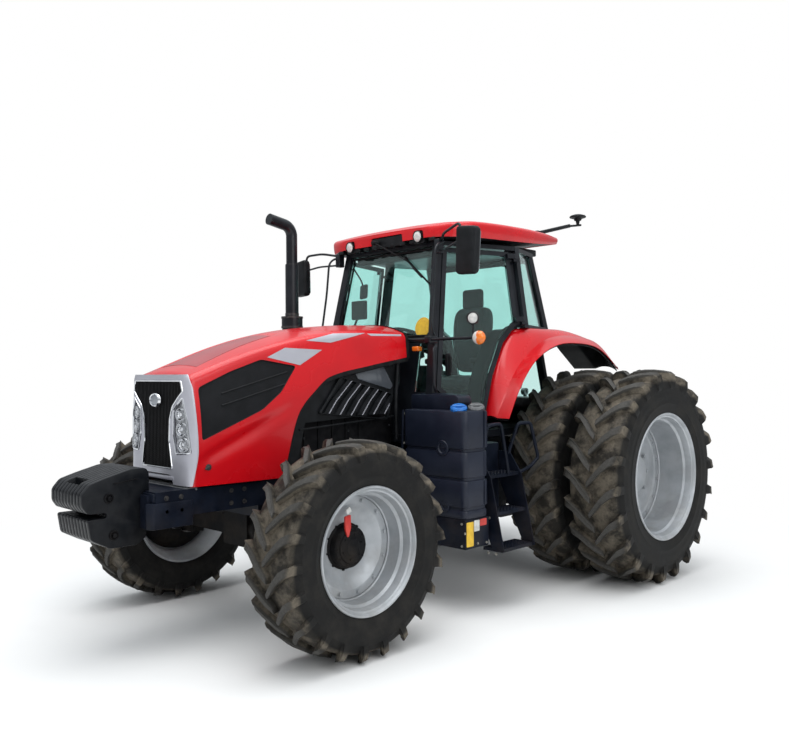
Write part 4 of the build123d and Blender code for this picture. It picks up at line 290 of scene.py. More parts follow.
MIRROR_GLASS = finish("mirror_glass", (0.55, 0.58, 0.60), (0.50, 0.53, 0.56), (0.03, 0.07), metal=1.0,
                      grain=4, bump=0.0)
GLASS = clear_finish("cab_glass", (0.62, 0.90, 0.86), 0.0)
LENS_GLASS = clear_finish("lens_glass", (0.93, 0.95, 0.97), 0.02)
print(len(bpy.data.materials), "finishes")

# %% [markdown]
# ## Floor
# The floor is a plain pale disc that turns into the white background a few metres out. Only the
# soft shadow under the tractor shows that it is there.

# %% Lay the floor
def floor_finish():
    """Pale floor that fades to plain white away from the machine, for the camera's rays only."""
    material, tree, place = blank_finish("pale_floor")
    pale = blended(tree, noise(tree, place, 3.0, 5.0), (0.84, 0.84, 0.83), (0.80, 0.80, 0.79))
    away = node(tree, "ShaderNodeVectorMath", {0: place}, operation="LENGTH").outputs["Value"]
    looked_at = node(tree, "ShaderNodeLightPath").outputs["Is Camera Ray"]
    fade = maths(tree, "MULTIPLY", ranged(tree, away, 2.6, 5.2), looked_at)
    ground = node(tree, "ShaderNodeBsdfDiffuse", {"Color": pale})
    white = node(tree, "ShaderNodeEmission", {"Color": tone((1, 1, 1)), "Strength": 1.0})
    both = node(tree, "ShaderNodeMixShader", {0: fade, 1: ground.outputs[0], 2: white.outputs[0]})
    node(tree, "ShaderNodeOutputMaterial", {0: both.outputs[0]})
    return material


disc = bmesh.new()
bmesh.ops.create_circle(disc, cap_ends=True, radius=60, segments=96)
floor_mesh = bpy.data.meshes.new("floor")
disc.to_mesh(floor_mesh)
disc.free()
floor = bpy.data.objects.new("floor", floor_mesh)
floor_mesh.materials.append(floor_finish())
scene.collection.objects.link(floor)
print("floor", len(floor_mesh.vertices), "corners")

# %% [markdown]
# ## Shape helpers
# Everything below is made from five shapes: a block with softened edges, a round bar, a profile spun
# about an axle, a flat outline given a thickness, and a pipe bent along corners. They all add to a
# `bmesh`, so one piece can be built from many of them.

# %% Write the shape helpers
def soften(bm, edges, width, segments=2):
    """Rounds edges over with a bevel."""
    bmesh.ops.bevel(bm, geom=list(edges), offset=width, offset_type="OFFSET", segments=segments, profile=0.5,
                    affect="EDGES", material=-1, clamp_overlap=True)


def add_block(bm, low, high, edge=0.004, segments=2, turn=None):
    """Adds a box between two corners, turned about its middle if asked, with softened edges."""
    low, high = Vector(low), Vector(high)
    place = Matrix.Translation((low + high) / 2)
    if turn:
        place = place @ Euler(turn).to_matrix().to_4x4()
    made = bmesh.ops.create_cube(bm, size=1, matrix=place @ Matrix.Diagonal((*(high - low), 1)))
    if edge:
        soften(bm, {e for v in made["verts"] for e in v.link_edges}, edge, segments)


def aim(start, end):
    """Matrix that carries the Z axis onto the line from start to end."""
    start, end = Vector(start), Vector(end)
    return Matrix.Translation((start + end) / 2) @ (end - start).to_track_quat("Z", "Y").to_matrix().to_4x4()


def add_bar(bm, start, end, radius, end_radius=None, sides=20, edge=0.0):
    """Adds a round bar or cone between two points."""
    made = bmesh.ops.create_cone(
        bm, cap_ends=True, segments=sides, radius1=radius,
        radius2=radius if end_radius is None else end_radius, depth=(Vector(end) - Vector(start)).length,
        matrix=aim(start, end))
    if edge:
        caps = {e for v in made["verts"] for f in v.link_faces if len(f.verts) > 4 for e in f.edges}
        soften(bm, caps, edge)


def add_spun(bm, profile, centre, axis=(1, 0, 0), steps=72, closed=True):
    """Spins (along the axis, radius) points about an axis through centre."""
    axis = Vector(axis).normalized()
    out = axis.orthogonal().normalized()
    verts = [bm.verts.new(Vector(centre) + axis * along + out * radius) for along, radius in profile]
    pairs = list(zip(verts, verts[1:])) + ([(verts[-1], verts[0])] if closed else [])
    edges = [bm.edges.new(pair) for pair in pairs]
    bmesh.ops.spin(bm, geom=verts + edges, cent=centre, axis=axis, dvec=(0, 0, 0), angle=2 * math.pi,
                   steps=steps, use_merge=True, use_duplicate=False)
    bmesh.ops.remove_doubles(bm, verts=[v for v in bm.verts if v.is_valid], dist=0.00001)


def lay(axis, across, up, along):
    """A point from its two coordinates in a plane and its place along the axis square to it."""
    return {"X": Vector((along, across, up)), "Y": Vector((across, along, up)),
            "Z": Vector((across, up, along))}[axis]


def add_plate(bm, outline, span, axis, corner=0.0, edge=0.0, corner_steps=4):
    """Gives a flat outline a thickness along an axis, with rounded corners and softened rims."""
    verts = [bm.verts.new(lay(axis, a, b, span[0])) for a, b in outline]
    face = bm.faces.new(verts)
    if corner:
        made = bmesh.ops.bevel(bm, geom=verts, offset=corner, segments=corner_steps, profile=0.5,
                               affect="VERTICES", material=-1, clamp_overlap=True)
        face = next(f for f in bm.faces if f.is_valid and any(v in made["verts"] for v in f.verts))
    grown = bmesh.ops.extrude_face_region(bm, geom=[face], use_keep_orig=True)
    moved = [g for g in grown["geom"] if isinstance(g, bmesh.types.BMVert)]
    bmesh.ops.translate(bm, verts=moved, vec=lay(axis, 0, 0, span[1] - span[0]))
    if edge:
        far = next(g for g in grown["geom"] if isinstance(g, bmesh.types.BMFace))
        soften(bm, set(face.edges) | set(far.edges), edge)


def add_pipe(bm, points, radius, bend=0.05, sides=6, bend_steps=6):
    """Adds a pipe that follows straight runs and turns through rounded corners."""
    points = [Vector(p) for p in points]
    path = [points[0]]
    for before, here, after in zip(points, points[1:], points[2:]):
        near = here + (before - here).normalized() * min(bend, (before - here).length * 0.49)
        far = here + (after - here).normalized() * min(bend, (after - here).length * 0.49)
        for i in range(bend_steps + 1):
            t = i / bend_steps
            path.append(near * (1 - t) ** 2 + here * 2 * t * (1 - t) + far * t ** 2)
    path.append(points[-1])
    curve = bpy.data.curves.new("pipe", "CURVE")
    curve.dimensions = "3D"
    curve.bevel_depth = radius
    curve.bevel_resolution = sides
    curve.use_fill_caps = True
    line = curve.splines.new("POLY")
    line.points.add(len(path) - 1)
    for spot, place in zip(line.points, path):
        spot.co = (*place, 1)
    holder = bpy.data.objects.new("pipe", curve)
    mesh = bpy.data.meshes.new_from_object(holder)
    bm.from_mesh(mesh)
    bpy.data.objects.remove(holder)
    bpy.data.curves.remove(curve)
    bpy.data.meshes.remove(mesh)


def add_bolts(bm, places, direction, radius=0.009, height=0.007):
    """Adds a hexagon head on a washer at each place, facing one direction."""
    direction = Vector(direction).normalized()
    for place in places:
        place = Vector(place)
        add_bar(bm, place, place + direction * height * 0.25, radius * 1.35, sides=10)
        add_bar(bm, place, place + direction * height, radius, sides=6)


def absorb(bm, other):
    """Moves everything from another bmesh into this one."""
    mesh = bpy.data.meshes.new("passing")
    other.to_mesh(mesh)
    other.free()
    bm.from_mesh(mesh)
    bpy.data.meshes.remove(mesh)


def ring_of(count, centre, radius, axis="X", start=0.0):
    """Places evenly spaced round a circle."""
    turns = [start + 2 * math.pi * i / count for i in range(count)]
    return [Vector(centre) + lay(axis, math.cos(t) * radius, math.sin(t) * radius, 0) for t in turns]


faces_made = {}


def add_piece(name, bm, body, finishes, stands_for=(), angle=35.0):
    """Turns a bmesh into a shaded object, hangs it on its body and hides the CAD nodes it stands for."""
    bmesh.ops.recalc_face_normals(bm, faces=bm.faces[:])
    mesh = bpy.data.meshes.new(name)
    bm.to_mesh(mesh)
    bm.free()
    mesh.shade_smooth()
    mesh.set_sharp_from_angle(angle=math.radians(angle))
    piece = bpy.data.objects.new(name, mesh)
    scene.collection.objects.link(piece)
    for surface in finishes if isinstance(finishes, tuple) else (finishes,):
        mesh.materials.append(surface)
    dress(piece, body, stands_for)
    return piece


def dress(piece, body, stands_for=()):
    """Ties a piece to its body, hides the CAD nodes it stands for and counts its faces."""
    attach(piece, body)
    if stands_for:
        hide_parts(*stands_for)
    faces_made[piece.name] = len(piece.data.polygons)


def mirror_bm(bm):
    """Adds the mirror image across the middle plane of everything in a bmesh."""
    bmesh.ops.mirror(bm, geom=bm.verts[:] + bm.edges[:] + bm.faces[:], matrix=Matrix.Identity(4),
                     merge_dist=0.0, axis="X")


def close_middle(bm):
    """Adds the mirror image of a left half and welds the two along the middle plane."""
    mirror_bm(bm)
    bmesh.ops.remove_doubles(bm, verts=[v for v in bm.verts if abs(v.co.x) < 0.001], dist=0.0005)


def sheet_of(columns, rows, point):
    """A grid whose points are placed by a function of two shares, each from 0 to 1."""
    bm = bmesh.new()
    bmesh.ops.create_grid(bm, x_segments=columns, y_segments=rows, size=0.5)
    for v in bm.verts:
        v.co = point(v.co.x + 0.5, v.co.y + 0.5)
    return bm


def face_towards(bm, way):
    """Turns the faces of a sheet to one side, the one that looks along a direction on the whole."""
    bmesh.ops.recalc_face_normals(bm, faces=bm.faces[:])
    if sum(f.normal.dot(Vector(way)) * f.calc_area() for f in bm.faces) < 0:
        bmesh.ops.reverse_faces(bm, faces=bm.faces[:])


def rect(a0, a1, b0, b1):
    """Outline of a rectangle between two pairs of coordinates."""
    return [(a0, b0), (a1, b0), (a1, b1), (a0, b1)]


SIDES = (("left", 1), ("right", -1))

# %% [markdown]
# ## Tyres
# A tyre is a spun carcass and a ring of lugs. One lug starts as a subdivided block whose corners are
# carried onto a curved path from the crown to the sidewall, then it is spun round the wheel as copies,
# once for each half of the tread, half a pitch apart.

# %% Make the tyres
LUGS = 22
# columns: place of the foot across the half width and its radius share, place of the top and its radius
# share, thickness
LUG_PATH = (
    (-0.05, 0.905, -0.05, 0.996, 0.046),
    (0.18, 0.905, 0.18, 1.000, 0.048),
    (0.42, 0.902, 0.42, 0.999, 0.052),
    (0.66, 0.895, 0.66, 0.995, 0.057),
    (0.84, 0.880, 0.86, 0.984, 0.064),
    (0.90, 0.862, 0.975, 0.960, 0.072),
    (0.91, 0.825, 1.015, 0.900, 0.074),
    (0.92, 0.790, 0.995, 0.835, 0.066),
)


def tyre_finish(name, axle, radius):
    """Worn rubber with clay left between the lugs, told apart by the distance from the axle."""
    material, tree, place = blank_finish(name)
    flat = node(tree, "ShaderNodeVectorMath", {0: place, 1: (0, 1, 1), 2: (0, -axle.y, -axle.z)},
                operation="MULTIPLY_ADD").outputs[0]
    away = node(tree, "ShaderNodeVectorMath", {0: flat}, operation="LENGTH").outputs["Value"]
    broad, clods = noise(tree, place, 7.0, 8.0, 0.65), noise(tree, place, 60.0, 5.0, 0.7)
    rubber = blended(tree, broad, (0.006, 0.006, 0.006), (0.015, 0.0145, 0.014))
    clay = blended(tree, clods, (0.055, 0.047, 0.037), (0.25, 0.215, 0.165))
    worn = blended(tree, clods, (0.026, 0.025, 0.024), (0.100, 0.096, 0.088))
    in_tread = ranged(tree, away, radius * 0.885, radius * 0.925)
    on_top = ranged(tree, away, radius * 0.965, radius * 0.99)
    between = maths(tree, "MULTIPLY", in_tread, maths(tree, "SUBTRACT", 1.0, on_top))
    clay_share = maths(tree, "MULTIPLY", between, ranged(tree, broad, 0.40, 0.58, 0.12, 0.85))
    filmed = blended(tree, ranged(tree, broad, 0.45, 0.75, 0.0, 0.16), rubber, (0.10, 0.09, 0.075))
    muddy = blended(tree, clay_share, filmed, clay)
    height = maths(tree, "ADD", clods, noise(tree, place, 260.0, 3.0))
    shade(tree, Base_Color=blended(tree, on_top, muddy, worn),
          Roughness=ranged(tree, broad, 0.3, 0.7, 0.5, 0.72), Normal=relief_of(tree, height, 0.25, 0.004),
          Specular_IOR_Level=0.14)
    return material


def add_carcass(bm, centre, radius, half, bead, flange):
    """Spins the smooth body of a tyre with its shoulders, sidewall rings and beads."""
    wall = radius - bead
    one_side = [
        (flange - 0.012, bead), (flange + 0.002, bead + 0.03), (half * 0.97, bead + wall * 0.20),
        (half * 0.985, bead + wall * 0.22), (half * 0.99, bead + wall * 0.25),
        (half * 0.98, bead + wall * 0.27), (half, bead + wall * 0.36), (half, bead + wall * 0.46),
        (half * 0.985, bead + wall * 0.56), (half * 0.99, bead + wall * 0.58),
        (half * 0.965, bead + wall * 0.62), (half * 0.93, bead + wall * 0.71),
        (half * 0.86, bead + wall * 0.78), (half * 0.72, bead + wall * 0.815),
        (half * 0.45, bead + wall * 0.838), (half * 0.18, bead + wall * 0.845)]
    profile = one_side + [(-along, r) for along, r in reversed(one_side)]
    profile += [(-flange + 0.04, bead - 0.012), (flange - 0.04, bead - 0.012)]
    add_spun(bm, profile, centre, steps=96)


def add_lugs(bm, centre, radius, half, sweep):
    """Adds both rings of lugs, each from one block carried onto the lug path."""
    for side, offset in ((1, 0.0), (-1, math.pi / LUGS)):
        lug = bmesh.new()
        bmesh.ops.create_cube(lug, size=1, matrix=Matrix.Translation((0.5, 0, 0.5)))
        along = [e for e in lug.edges if abs(e.verts[0].co.x - e.verts[1].co.x) > 0.5]
        bmesh.ops.subdivide_edges(lug, edges=along, cuts=len(LUG_PATH) - 2, use_grid_fill=True)
        rims = [e for e in lug.edges if all(v.co.z > 0.9 for v in e.verts)
                and abs(e.verts[0].co.y - e.verts[1].co.y) < 0.1]
        for v in lug.verts:
            foot_share, foot_reach, top_share, top_reach, width = LUG_PATH[round(v.co.x * (len(LUG_PATH) - 1))]
            on_top = v.co.z > 0.5
            across, reach = (top_share, top_reach) if on_top else (foot_share, foot_reach)
            turn = offset + sweep * (1 - (1 - min(1.0, max(0.0, top_share))) ** 1.6)
            turn += v.co.y * width * (1.0 if on_top else 1.5) / reach
            v.co = Vector(centre) + Vector((side * across * half, -math.cos(turn) * reach * radius,
                                            math.sin(turn) * reach * radius))
        soften(lug, rims, 0.005, 1)
        bmesh.ops.spin(lug, geom=lug.verts[:] + lug.edges[:] + lug.faces[:], cent=centre, axis=(1, 0, 0),
                       dvec=(0, 0, 0), angle=2 * math.pi * (LUGS - 1) / LUGS, steps=LUGS - 1,
                       use_duplicate=True)
        absorb(bm, lug)


FRONT_RUBBER = tyre_finish("front_tyre_rubber", FRONT_AXLE, FRONT_AXLE.z)
REAR_RUBBER = tyre_finish("rear_tyre_rubber", REAR_AXLE, REAR_AXLE.z)
FRONT_BEAD, REAR_BEAD = 0.384, 0.512
REAR_HALF, INSET = 0.2325, 0.003  # half a rear tyre's width, and how far the carcass stays inside the lugs
for side, sign in SIDES:
    low, high = box_of("front_tyre_" + side)
    centre, half = (low + high) / 2, (high.x - low.x) / 2
    bm = bmesh.new()
    add_carcass(bm, centre, centre.z, half - INSET, FRONT_BEAD, 0.188)
    add_lugs(bm, centre, centre.z, half, 0.27)
    add_piece("front_tyre_tread_" + side, bm, "front_wheel_" + side, FRONT_RUBBER,
              ("front_tyre_" + side,))
    low, high = box_of("rear_tyres_" + side)
    bm = bmesh.new()
    for x in (low.x + REAR_HALF, high.x - REAR_HALF):
        centre = Vector((x, REAR_AXLE.y, REAR_AXLE.z))
        add_carcass(bm, centre, REAR_AXLE.z, REAR_HALF - INSET, REAR_BEAD, 0.218)
        add_lugs(bm, centre, REAR_AXLE.z, REAR_HALF, 0.24)
    add_piece("rear_tyre_treads_" + side, bm, "rear_wheel_" + side, REAR_RUBBER,
              ("rear_tyres_" + side,))
print({name: count for name, count in faces_made.items() if "tyre" in name})

# %% [markdown]
# ## Rims
# A rim is spun too. Its barrel has a double lip and narrows towards a seam, where the disc is bolted
# on. The disc is a second spun shape, curved like a dish down to the hub.

# %% Make the rims
def add_rim(bm, centre, sign, flange, half, seat, disc_at, disc_profile, bolts, bolt_radius):
    """Adds one barrel, its disc and the ring of bolts. Sign gives the side that the dish opens to."""
    barrel = [
        (half - 0.016, flange - 0.006), (half - 0.006, flange), (half, flange - 0.004),
        (half, flange - 0.013), (half - 0.010, flange - 0.021), (half - 0.020, flange - 0.025),
        (half - 0.026, flange - 0.036), (half - 0.050, flange - 0.043), (half - 0.075, flange - 0.047),
        (half - 0.090, flange - 0.062), (disc_at + 0.022, seat - 0.034), (disc_at + 0.016, seat - 0.041),
        (disc_at - 0.03, seat - 0.041), (-half + 0.09, seat - 0.02), (-half + 0.05, flange - 0.043),
        (-half + 0.02, flange - 0.025), (-half, flange - 0.013), (-half, flange - 0.004),
        (-half + 0.006, flange), (-half + 0.016, flange - 0.006), (-half + 0.03, seat + 0.004),
        (-half + 0.09, seat + 0.002), (half - 0.09, seat + 0.002), (half - 0.03, seat + 0.004)]
    add_spun(bm, [(sign * a, r) for a, r in barrel], centre, steps=96)
    add_spun(bm, [(sign * a, r) for a, r in disc_profile], centre, steps=96)
    face = Vector(centre) + Vector((sign * (disc_at + 0.009), 0, 0))
    add_bolts(bm, ring_of(bolts, face, bolt_radius, start=0.2), (sign, 0, 0), 0.011, 0.012)


def dish(at, outer, hub, depth):
    """Profile of a wheel disc: a flat bolting ring, a curved dish and a flat middle, and its back."""
    front = [(at, outer), (at + 0.008, outer - 0.004), (at + 0.008, outer - 0.052),
             (at + 0.002, outer - 0.062), (at - depth * 0.25, outer - 0.078),
             (at - depth * 0.65, outer - 0.105), (at - depth, outer - 0.145), (at - depth, hub)]
    back = [(a - 0.012, r) for a, r in reversed(front[1:])]
    return front + back + [(at - 0.012, outer)]


REAR_RIM_X = (0.870, 1.430)
for side, sign in SIDES:
    bm = bmesh.new()
    add_rim(bm, middle("front_rim_" + side), sign, 0.392, 0.190, 0.356, -0.007,
            dish(-0.007, 0.316, 0.120, 0.045), 12, 0.288)
    add_piece("front_rim_dish_" + side, bm, "front_wheel_" + side, RIM_PAINT,
              ("front_rim_" + side,), 30)
    bm = bmesh.new()
    inner, outer = (Vector((sign * x, REAR_AXLE.y, REAR_AXLE.z)) for x in REAR_RIM_X)
    outward = Vector((sign, 0, 0))
    for place, disc_at in ((outer, -0.100), (inner, 0.095)):
        add_rim(bm, place, sign, 0.519, 0.220, 0.483, disc_at, dish(disc_at, 0.443, 0.12, 0.0), 16, 0.412)
    add_bar(bm, inner + outward * 0.099, outer - outward * 0.106, 0.285, sides=64)
    add_bar(bm, outer - outward * 0.10, outer - outward * 0.045, 0.15, sides=48, edge=0.01)
    add_bolts(bm, ring_of(10, outer - outward * 0.092, 0.225), outward, 0.014, 0.016)
    add_piece("rear_rim_pair_" + side, bm, "rear_wheel_" + side, RIM_PAINT,
              ("rear_rims_" + side,), 30)
print({name: count for name, count in faces_made.items() if "rim" in name})

# %% [markdown]
# ## Hood
# The hood is one sheet. A grid is carried onto cross sections that rise and widen from the grille to
# the windscreen, with a crisp shoulder and a sunk panel in front. It gets a thickness, then two
# prisms are cut out of it: the arch over the front wheel and the opening for the side screen.

# %% Shape the hood
def curve_at(points, at):
    """Height at a place on a smooth curve through (place, height) points."""
    at = min(max(at, points[0][0]), points[-1][0])
    i = max(k for k in range(len(points) - 1) if points[k][0] <= at)
    (x0, y0), (x1, y1) = points[i], points[i + 1]
    slopes = []
    for k in (i, i + 1):
        before, after = points[max(k - 1, 0)], points[min(k + 1, len(points) - 1)]
        slopes.append((after[1] - before[1]) / (after[0] - before[0]))
    t = (at - x0) / (x1 - x0)
    rise = (2 * t ** 3 - 3 * t ** 2 + 1) * y0 + (3 * t ** 2 - 2 * t ** 3) * y1
    return rise + (x1 - x0) * ((t ** 3 - 2 * t ** 2 + t) * slopes[0] + (t ** 3 - t ** 2) * slopes[1])


def carve(bm, tool, operation="DIFFERENCE"):
    """Cuts one bmesh with another, or keeps what they share, and gives back the result."""
    holders = []
    for part in (bm, tool):
        bmesh.ops.recalc_face_normals(part, faces=part.faces[:])
        mesh = bpy.data.meshes.new("carving")
        part.to_mesh(mesh)
        part.free()
        holder = bpy.data.objects.new("carving", mesh)
        scene.collection.objects.link(holder)
        holders.append(holder)
    change = holders[0].modifiers.new("carve", "BOOLEAN")
    change.object, change.operation, change.solver = holders[1], operation, "EXACT"
    cut = bpy.data.meshes.new_from_object(holders[0].evaluated_get(bpy.context.evaluated_depsgraph_get()))
    result = bmesh.new()
    result.from_mesh(cut)
    for mesh in [cut] + [holder.data for holder in holders]:
        bpy.data.meshes.remove(mesh)
    return result


def prism(outline, span, axis, corner=0.0):
    """A cutting tool: an outline drawn out along an axis."""
    tool = bmesh.new()
    add_plate(tool, outline, span, axis, corner=corner)
    return tool


def thicken(bm, thickness):
    """Gives a sheet a thickness on its inner side."""
    bmesh.ops.recalc_face_normals(bm, faces=bm.faces[:])
    bmesh.ops.solidify(bm, geom=bm.faces[:], thickness=thickness)


WAIST_Z, HOOD_FOOT_Z = 1.25, 1.03
# shares of the hood's length from the grille
WAIST = ((0, 0.372), (0.26, 0.404), (0.49, 0.425), (0.75, 0.446), (1, 0.456))
SHOULDER = ((0, 0.326), (0.26, 0.352), (0.49, 0.380), (0.75, 0.404), (1, 0.414))
SHOULDER_Z = ((0, 1.700), (0.26, 1.872), (0.49, 1.976), (0.75, 2.028), (1, 2.026))
CROWN_Z = ((0, 1.735), (0.26, 1.922), (0.49, 2.028), (0.75, 2.084), (1, 2.103))


def section_point(share, t):
    """Point of the hood's skin on its left half: t runs from the foot over the shoulder to the middle."""
    waist, shoulder = curve_at(WAIST, share), curve_at(SHOULDER, share)
    shoulder_z, crown = curve_at(SHOULDER_Z, share), curve_at(CROWN_Z, share)
    side_end = Vector((shoulder + 0.010, 0, shoulder_z - 0.040))
    top_start = Vector((shoulder - 0.040, 0, shoulder_z + 0.010))
    y, t = GRILLE_Y + HOOD_LENGTH * share, max(0.0, t)
    if t < 0.14:
        x, z = waist - 0.012 * (1 - t / 0.14) ** 2, HOOD_FOOT_Z + (WAIST_Z - HOOD_FOOT_Z) * t / 0.14
    elif t < 0.52:
        s = (t - 0.14) / 0.38
        x = waist + (side_end.x - waist) * s + 0.012 * math.sin(math.pi * s)
        z = WAIST_Z + (side_end.z - WAIST_Z) * s
    elif t < 0.58:
        s = (t - 0.52) / 0.06
        corner = Vector((shoulder, 0, shoulder_z + 0.003))
        here = side_end * (1 - s) ** 2 + corner * 2 * s * (1 - s) + top_start * s ** 2
        x, z = here.x, here.z
    else:
        s = max(0.0, 1 - (t - 0.58) / 0.42)
        x = top_start.x * s
        z = crown - (crown - top_start.z) * s ** 2.2
    lip = max(0.0, 1 - share / 0.018) ** 2
    x, z = x - 0.014 * lip * (1 if t < 0.58 else x / shoulder), z - 0.014 * lip * (1 if t > 0.5 else 0)
    if 0.05 < share < 0.44 and t > 0.58:
        width = 0.225 - 0.13 * (share - 0.05)
        along = min(1.0, (share - 0.05) / 0.015, (0.44 - share) / 0.02)
        z -= 0.007 * min(1.0, max(0.0, (width - x) / 0.014)) * along
    if t < 0.5:
        below = (1.205 + 0.46 * (y + 1.985) - z) / 0.055
        fade = min(1.0, max(0.0, (y + 1.995) / 0.10)) * min(1.0, max(0.0, (-1.24 - y) / 0.35))
        x -= fade * 0.014 * math.exp(-((below - 0.5) * (1.0 if below > 0.5 else 2.0)) ** 2)
    return Vector((x, y, z))


bm = sheet_of(150, 90, section_point)
close_middle(bm)
face_towards(bm, (0, 0, 1))
hood_skin = BVHTree.FromBMesh(bm)
thicken(bm, 0.006)

ARCH = ((-1.345, 0.98), (-1.33, 1.10), (-1.2725, 1.33), (-1.215, 1.47), (-1.077, 1.61), (-0.95, 1.70),
        (-0.594, 1.775), (-0.17, 1.846))
arch_start, arch_end = ARCH[0][0], ARCH[-1][0]
arch_ys = [arch_start + (arch_end - arch_start) * (i / 40) ** 1.7 for i in range(41)]
arch_line = [(y, curve_at(ARCH, y)) for y in arch_ys]
bm = carve(bm, prism(arch_line + [(0.1, 1.846), (0.1, 0.9), (-1.345, 0.9)], (-0.7, 0.7), "X"))
OPENING = ((0.070, 1.310), (0.060, 1.640), (0.290, 1.740), (0.520, 1.818), (0.790, 1.775), (0.660, 1.600),
           (0.510, 1.488))
opening = [(GRILLE_Y + along, z) for along, z in OPENING]
for sign in (1, -1):
    bm = carve(bm, prism(opening, (sign * 0.25, sign * 0.7), "X", 0.022))
add_piece("hood_panels", bm, "hood", RED_PAINT, ("hood_shell",), 32)


def drape(outline, direction, lift=0.0015):
    """Lays a four-cornered patch on the hood's skin, looking along a direction."""
    a, b, c, d = (Vector(p) for p in outline)
    direction = Vector(direction)

    def on_skin(s, t):
        over = (a * (1 - s) + b * s) * (1 - t) + (d * (1 - s) + c * s) * t
        hit, normal = hood_skin.ray_cast(over - direction * 0.6, direction)[:2]
        return hit + (normal if normal.dot(direction) < 0 else -normal) * lift

    patch = sheet_of(14, 14, on_skin)
    bmesh.ops.solidify(patch, geom=patch.faces[:], thickness=lift)
    return patch


DEEP_RED = finish("deep_red_paint", (0.33, 0.014, 0.022), (0.28, 0.012, 0.018), (0.34, 0.44), coat=0.35,
                  grain=2.5, bump=0.02)
TRIM_SILVER = finish("trim_silver", (0.50, 0.50, 0.55), (0.45, 0.45, 0.50), (0.28, 0.36), metal=0.35, grain=4,
                     bump=0.02)
add_piece("hood_top_panel", drape(((-0.208, -1.885, 2), (0.208, -1.885, 2), (0.148, -1.26, 2),
                                   (-0.148, -1.26, 2)),
                                  (0, 0, -1)), "hood", DEEP_RED)
# corners along the hood and up it
ACCENTS = (
    ((-1.45, 1.833), (-1.31, 1.897), (-1.01, 1.887), (-1.20, 1.782)),
    ((-1.13, 1.950), (-0.89, 2.004), (-0.60, 2.016), (-0.93, 1.940)),
    ((-0.58, 2.012), (-0.23, 2.016), (-0.23, 2.004), (-0.55, 1.998)),
)
bm = bmesh.new()
for sign in (1, -1):
    for corners in ACCENTS:
        absorb(bm, drape([(sign * 0.4, y, z) for y, z in corners], (-sign, 0, 0), 0.002))
add_piece("hood_accents", bm, "hood", TRIM_SILVER)


# %% Edge the hood and latch it
def skin_x(y, z, sign):
    """How far out the hood's skin is at a height and a place along the hood."""
    hit = hood_skin.ray_cast(Vector((sign * 0.9, y, z)), Vector((-sign, 0, 0)))[0]
    return hit.x if hit else sign * 0.4


def arch_edge(share, drop):
    """Point of the rubber strip under the arch, on the side that the loop has reached."""
    y = -1.333 + share ** 1.5 * (HOOD_REAR_Y + 1.333)
    z = curve_at(ARCH, y) - 0.020 * drop
    return skin_x(y, max(z, 1.035), sign) + sign * 0.001, y, z


def rear_edge(along, t):
    """Point of the rubber strip round the hood's rear end."""
    here = section_point(1.0, 0.44 + 0.56 * t)
    return here.x * 1.008, HOOD_REAR_Y - 0.014 + 0.028 * along, here.z + 0.004


bm = bmesh.new()
for sign in (1, -1):
    strip = sheet_of(len(arch_line) + 20, 1, arch_edge)
    bmesh.ops.solidify(strip, geom=strip.faces[:], thickness=0.010)
    absorb(bm, strip)
strip = sheet_of(2, 60, rear_edge)
close_middle(strip)
thicken(strip, 0.014)
absorb(bm, strip)
add_piece("hood_rubber_edges", bm, "hood", BLACK_RUBBER)

bm = bmesh.new()
for sign in (1, -1):
    hit = Vector((skin_x(-1.905, 1.145, sign), -1.905, 1.145))
    add_bar(bm, hit - Vector((sign * 0.004, 0, 0)), hit + Vector((sign * 0.005, 0, 0)), 0.020, sides=28,
            edge=0.002)
    add_block(bm, hit + Vector((sign * 0.005 - 0.003, -0.030, -0.006)),
              hit + Vector((sign * 0.009 + 0.003, 0.016, 0.006)), 0.003, turn=(0.4, 0, 0))
add_piece("hood_latches", bm, "hood", DARK_BOLT)

# %% [markdown]
# ## Side screens
# Behind each opening lies a dark woven screen in a thin frame, with the two slanted braces that hold
# it, so that the opening is neither empty nor a flat black patch.

# %% Make the side screens
def woven_finish(name, colour, second, cell):
    """Dark woven mesh: a fine grid of two tones that also stands in relief."""
    material = finish(name, colour, second, (0.45, 0.6), grain=12, bump=0.1, gleam=0.15)
    tree = material.node_tree
    kinds = {n.type: n for n in tree.nodes}
    shader, place = kinds["BSDF_PRINCIPLED"], kinds["TEX_COORD"].outputs["Object"]
    weave = node(tree, "ShaderNodeTexChecker", {
        "Vector": place, "Scale": 1 / cell, "Color1": tone((1, 1, 1)),
        "Color2": tone((0.25, 0.25, 0.25))}).outputs
    plain = shader.inputs["Base Color"].links[0].from_socket
    darker = node(tree, "ShaderNodeMix", {0: 1.0, 6: plain, 7: weave["Color"]}, data_type="RGBA",
                  blend_type="MULTIPLY")
    tree.links.new(darker.outputs[2], shader.inputs["Base Color"])
    tree.links.new(relief_of(tree, weave["Fac"], 0.4), shader.inputs["Normal"])
    return material


SCREEN_MESH = woven_finish("screen_mesh", (0.012, 0.013, 0.015), (0.018, 0.019, 0.022), 0.0045)


SCREEN_DEPTH = 0.010
low_y, high_y = min(p[0] for p in opening) - 0.02, max(p[0] for p in opening) + 0.02


def screen_point(s, t):
    """Point of the screen, sunk under the hood's skin on the side that the loop has reached."""
    y, z = low_y + (high_y - low_y) * s, 1.28 + 0.56 * t
    return skin_x(y, z, sign) - sign * SCREEN_DEPTH, y, z


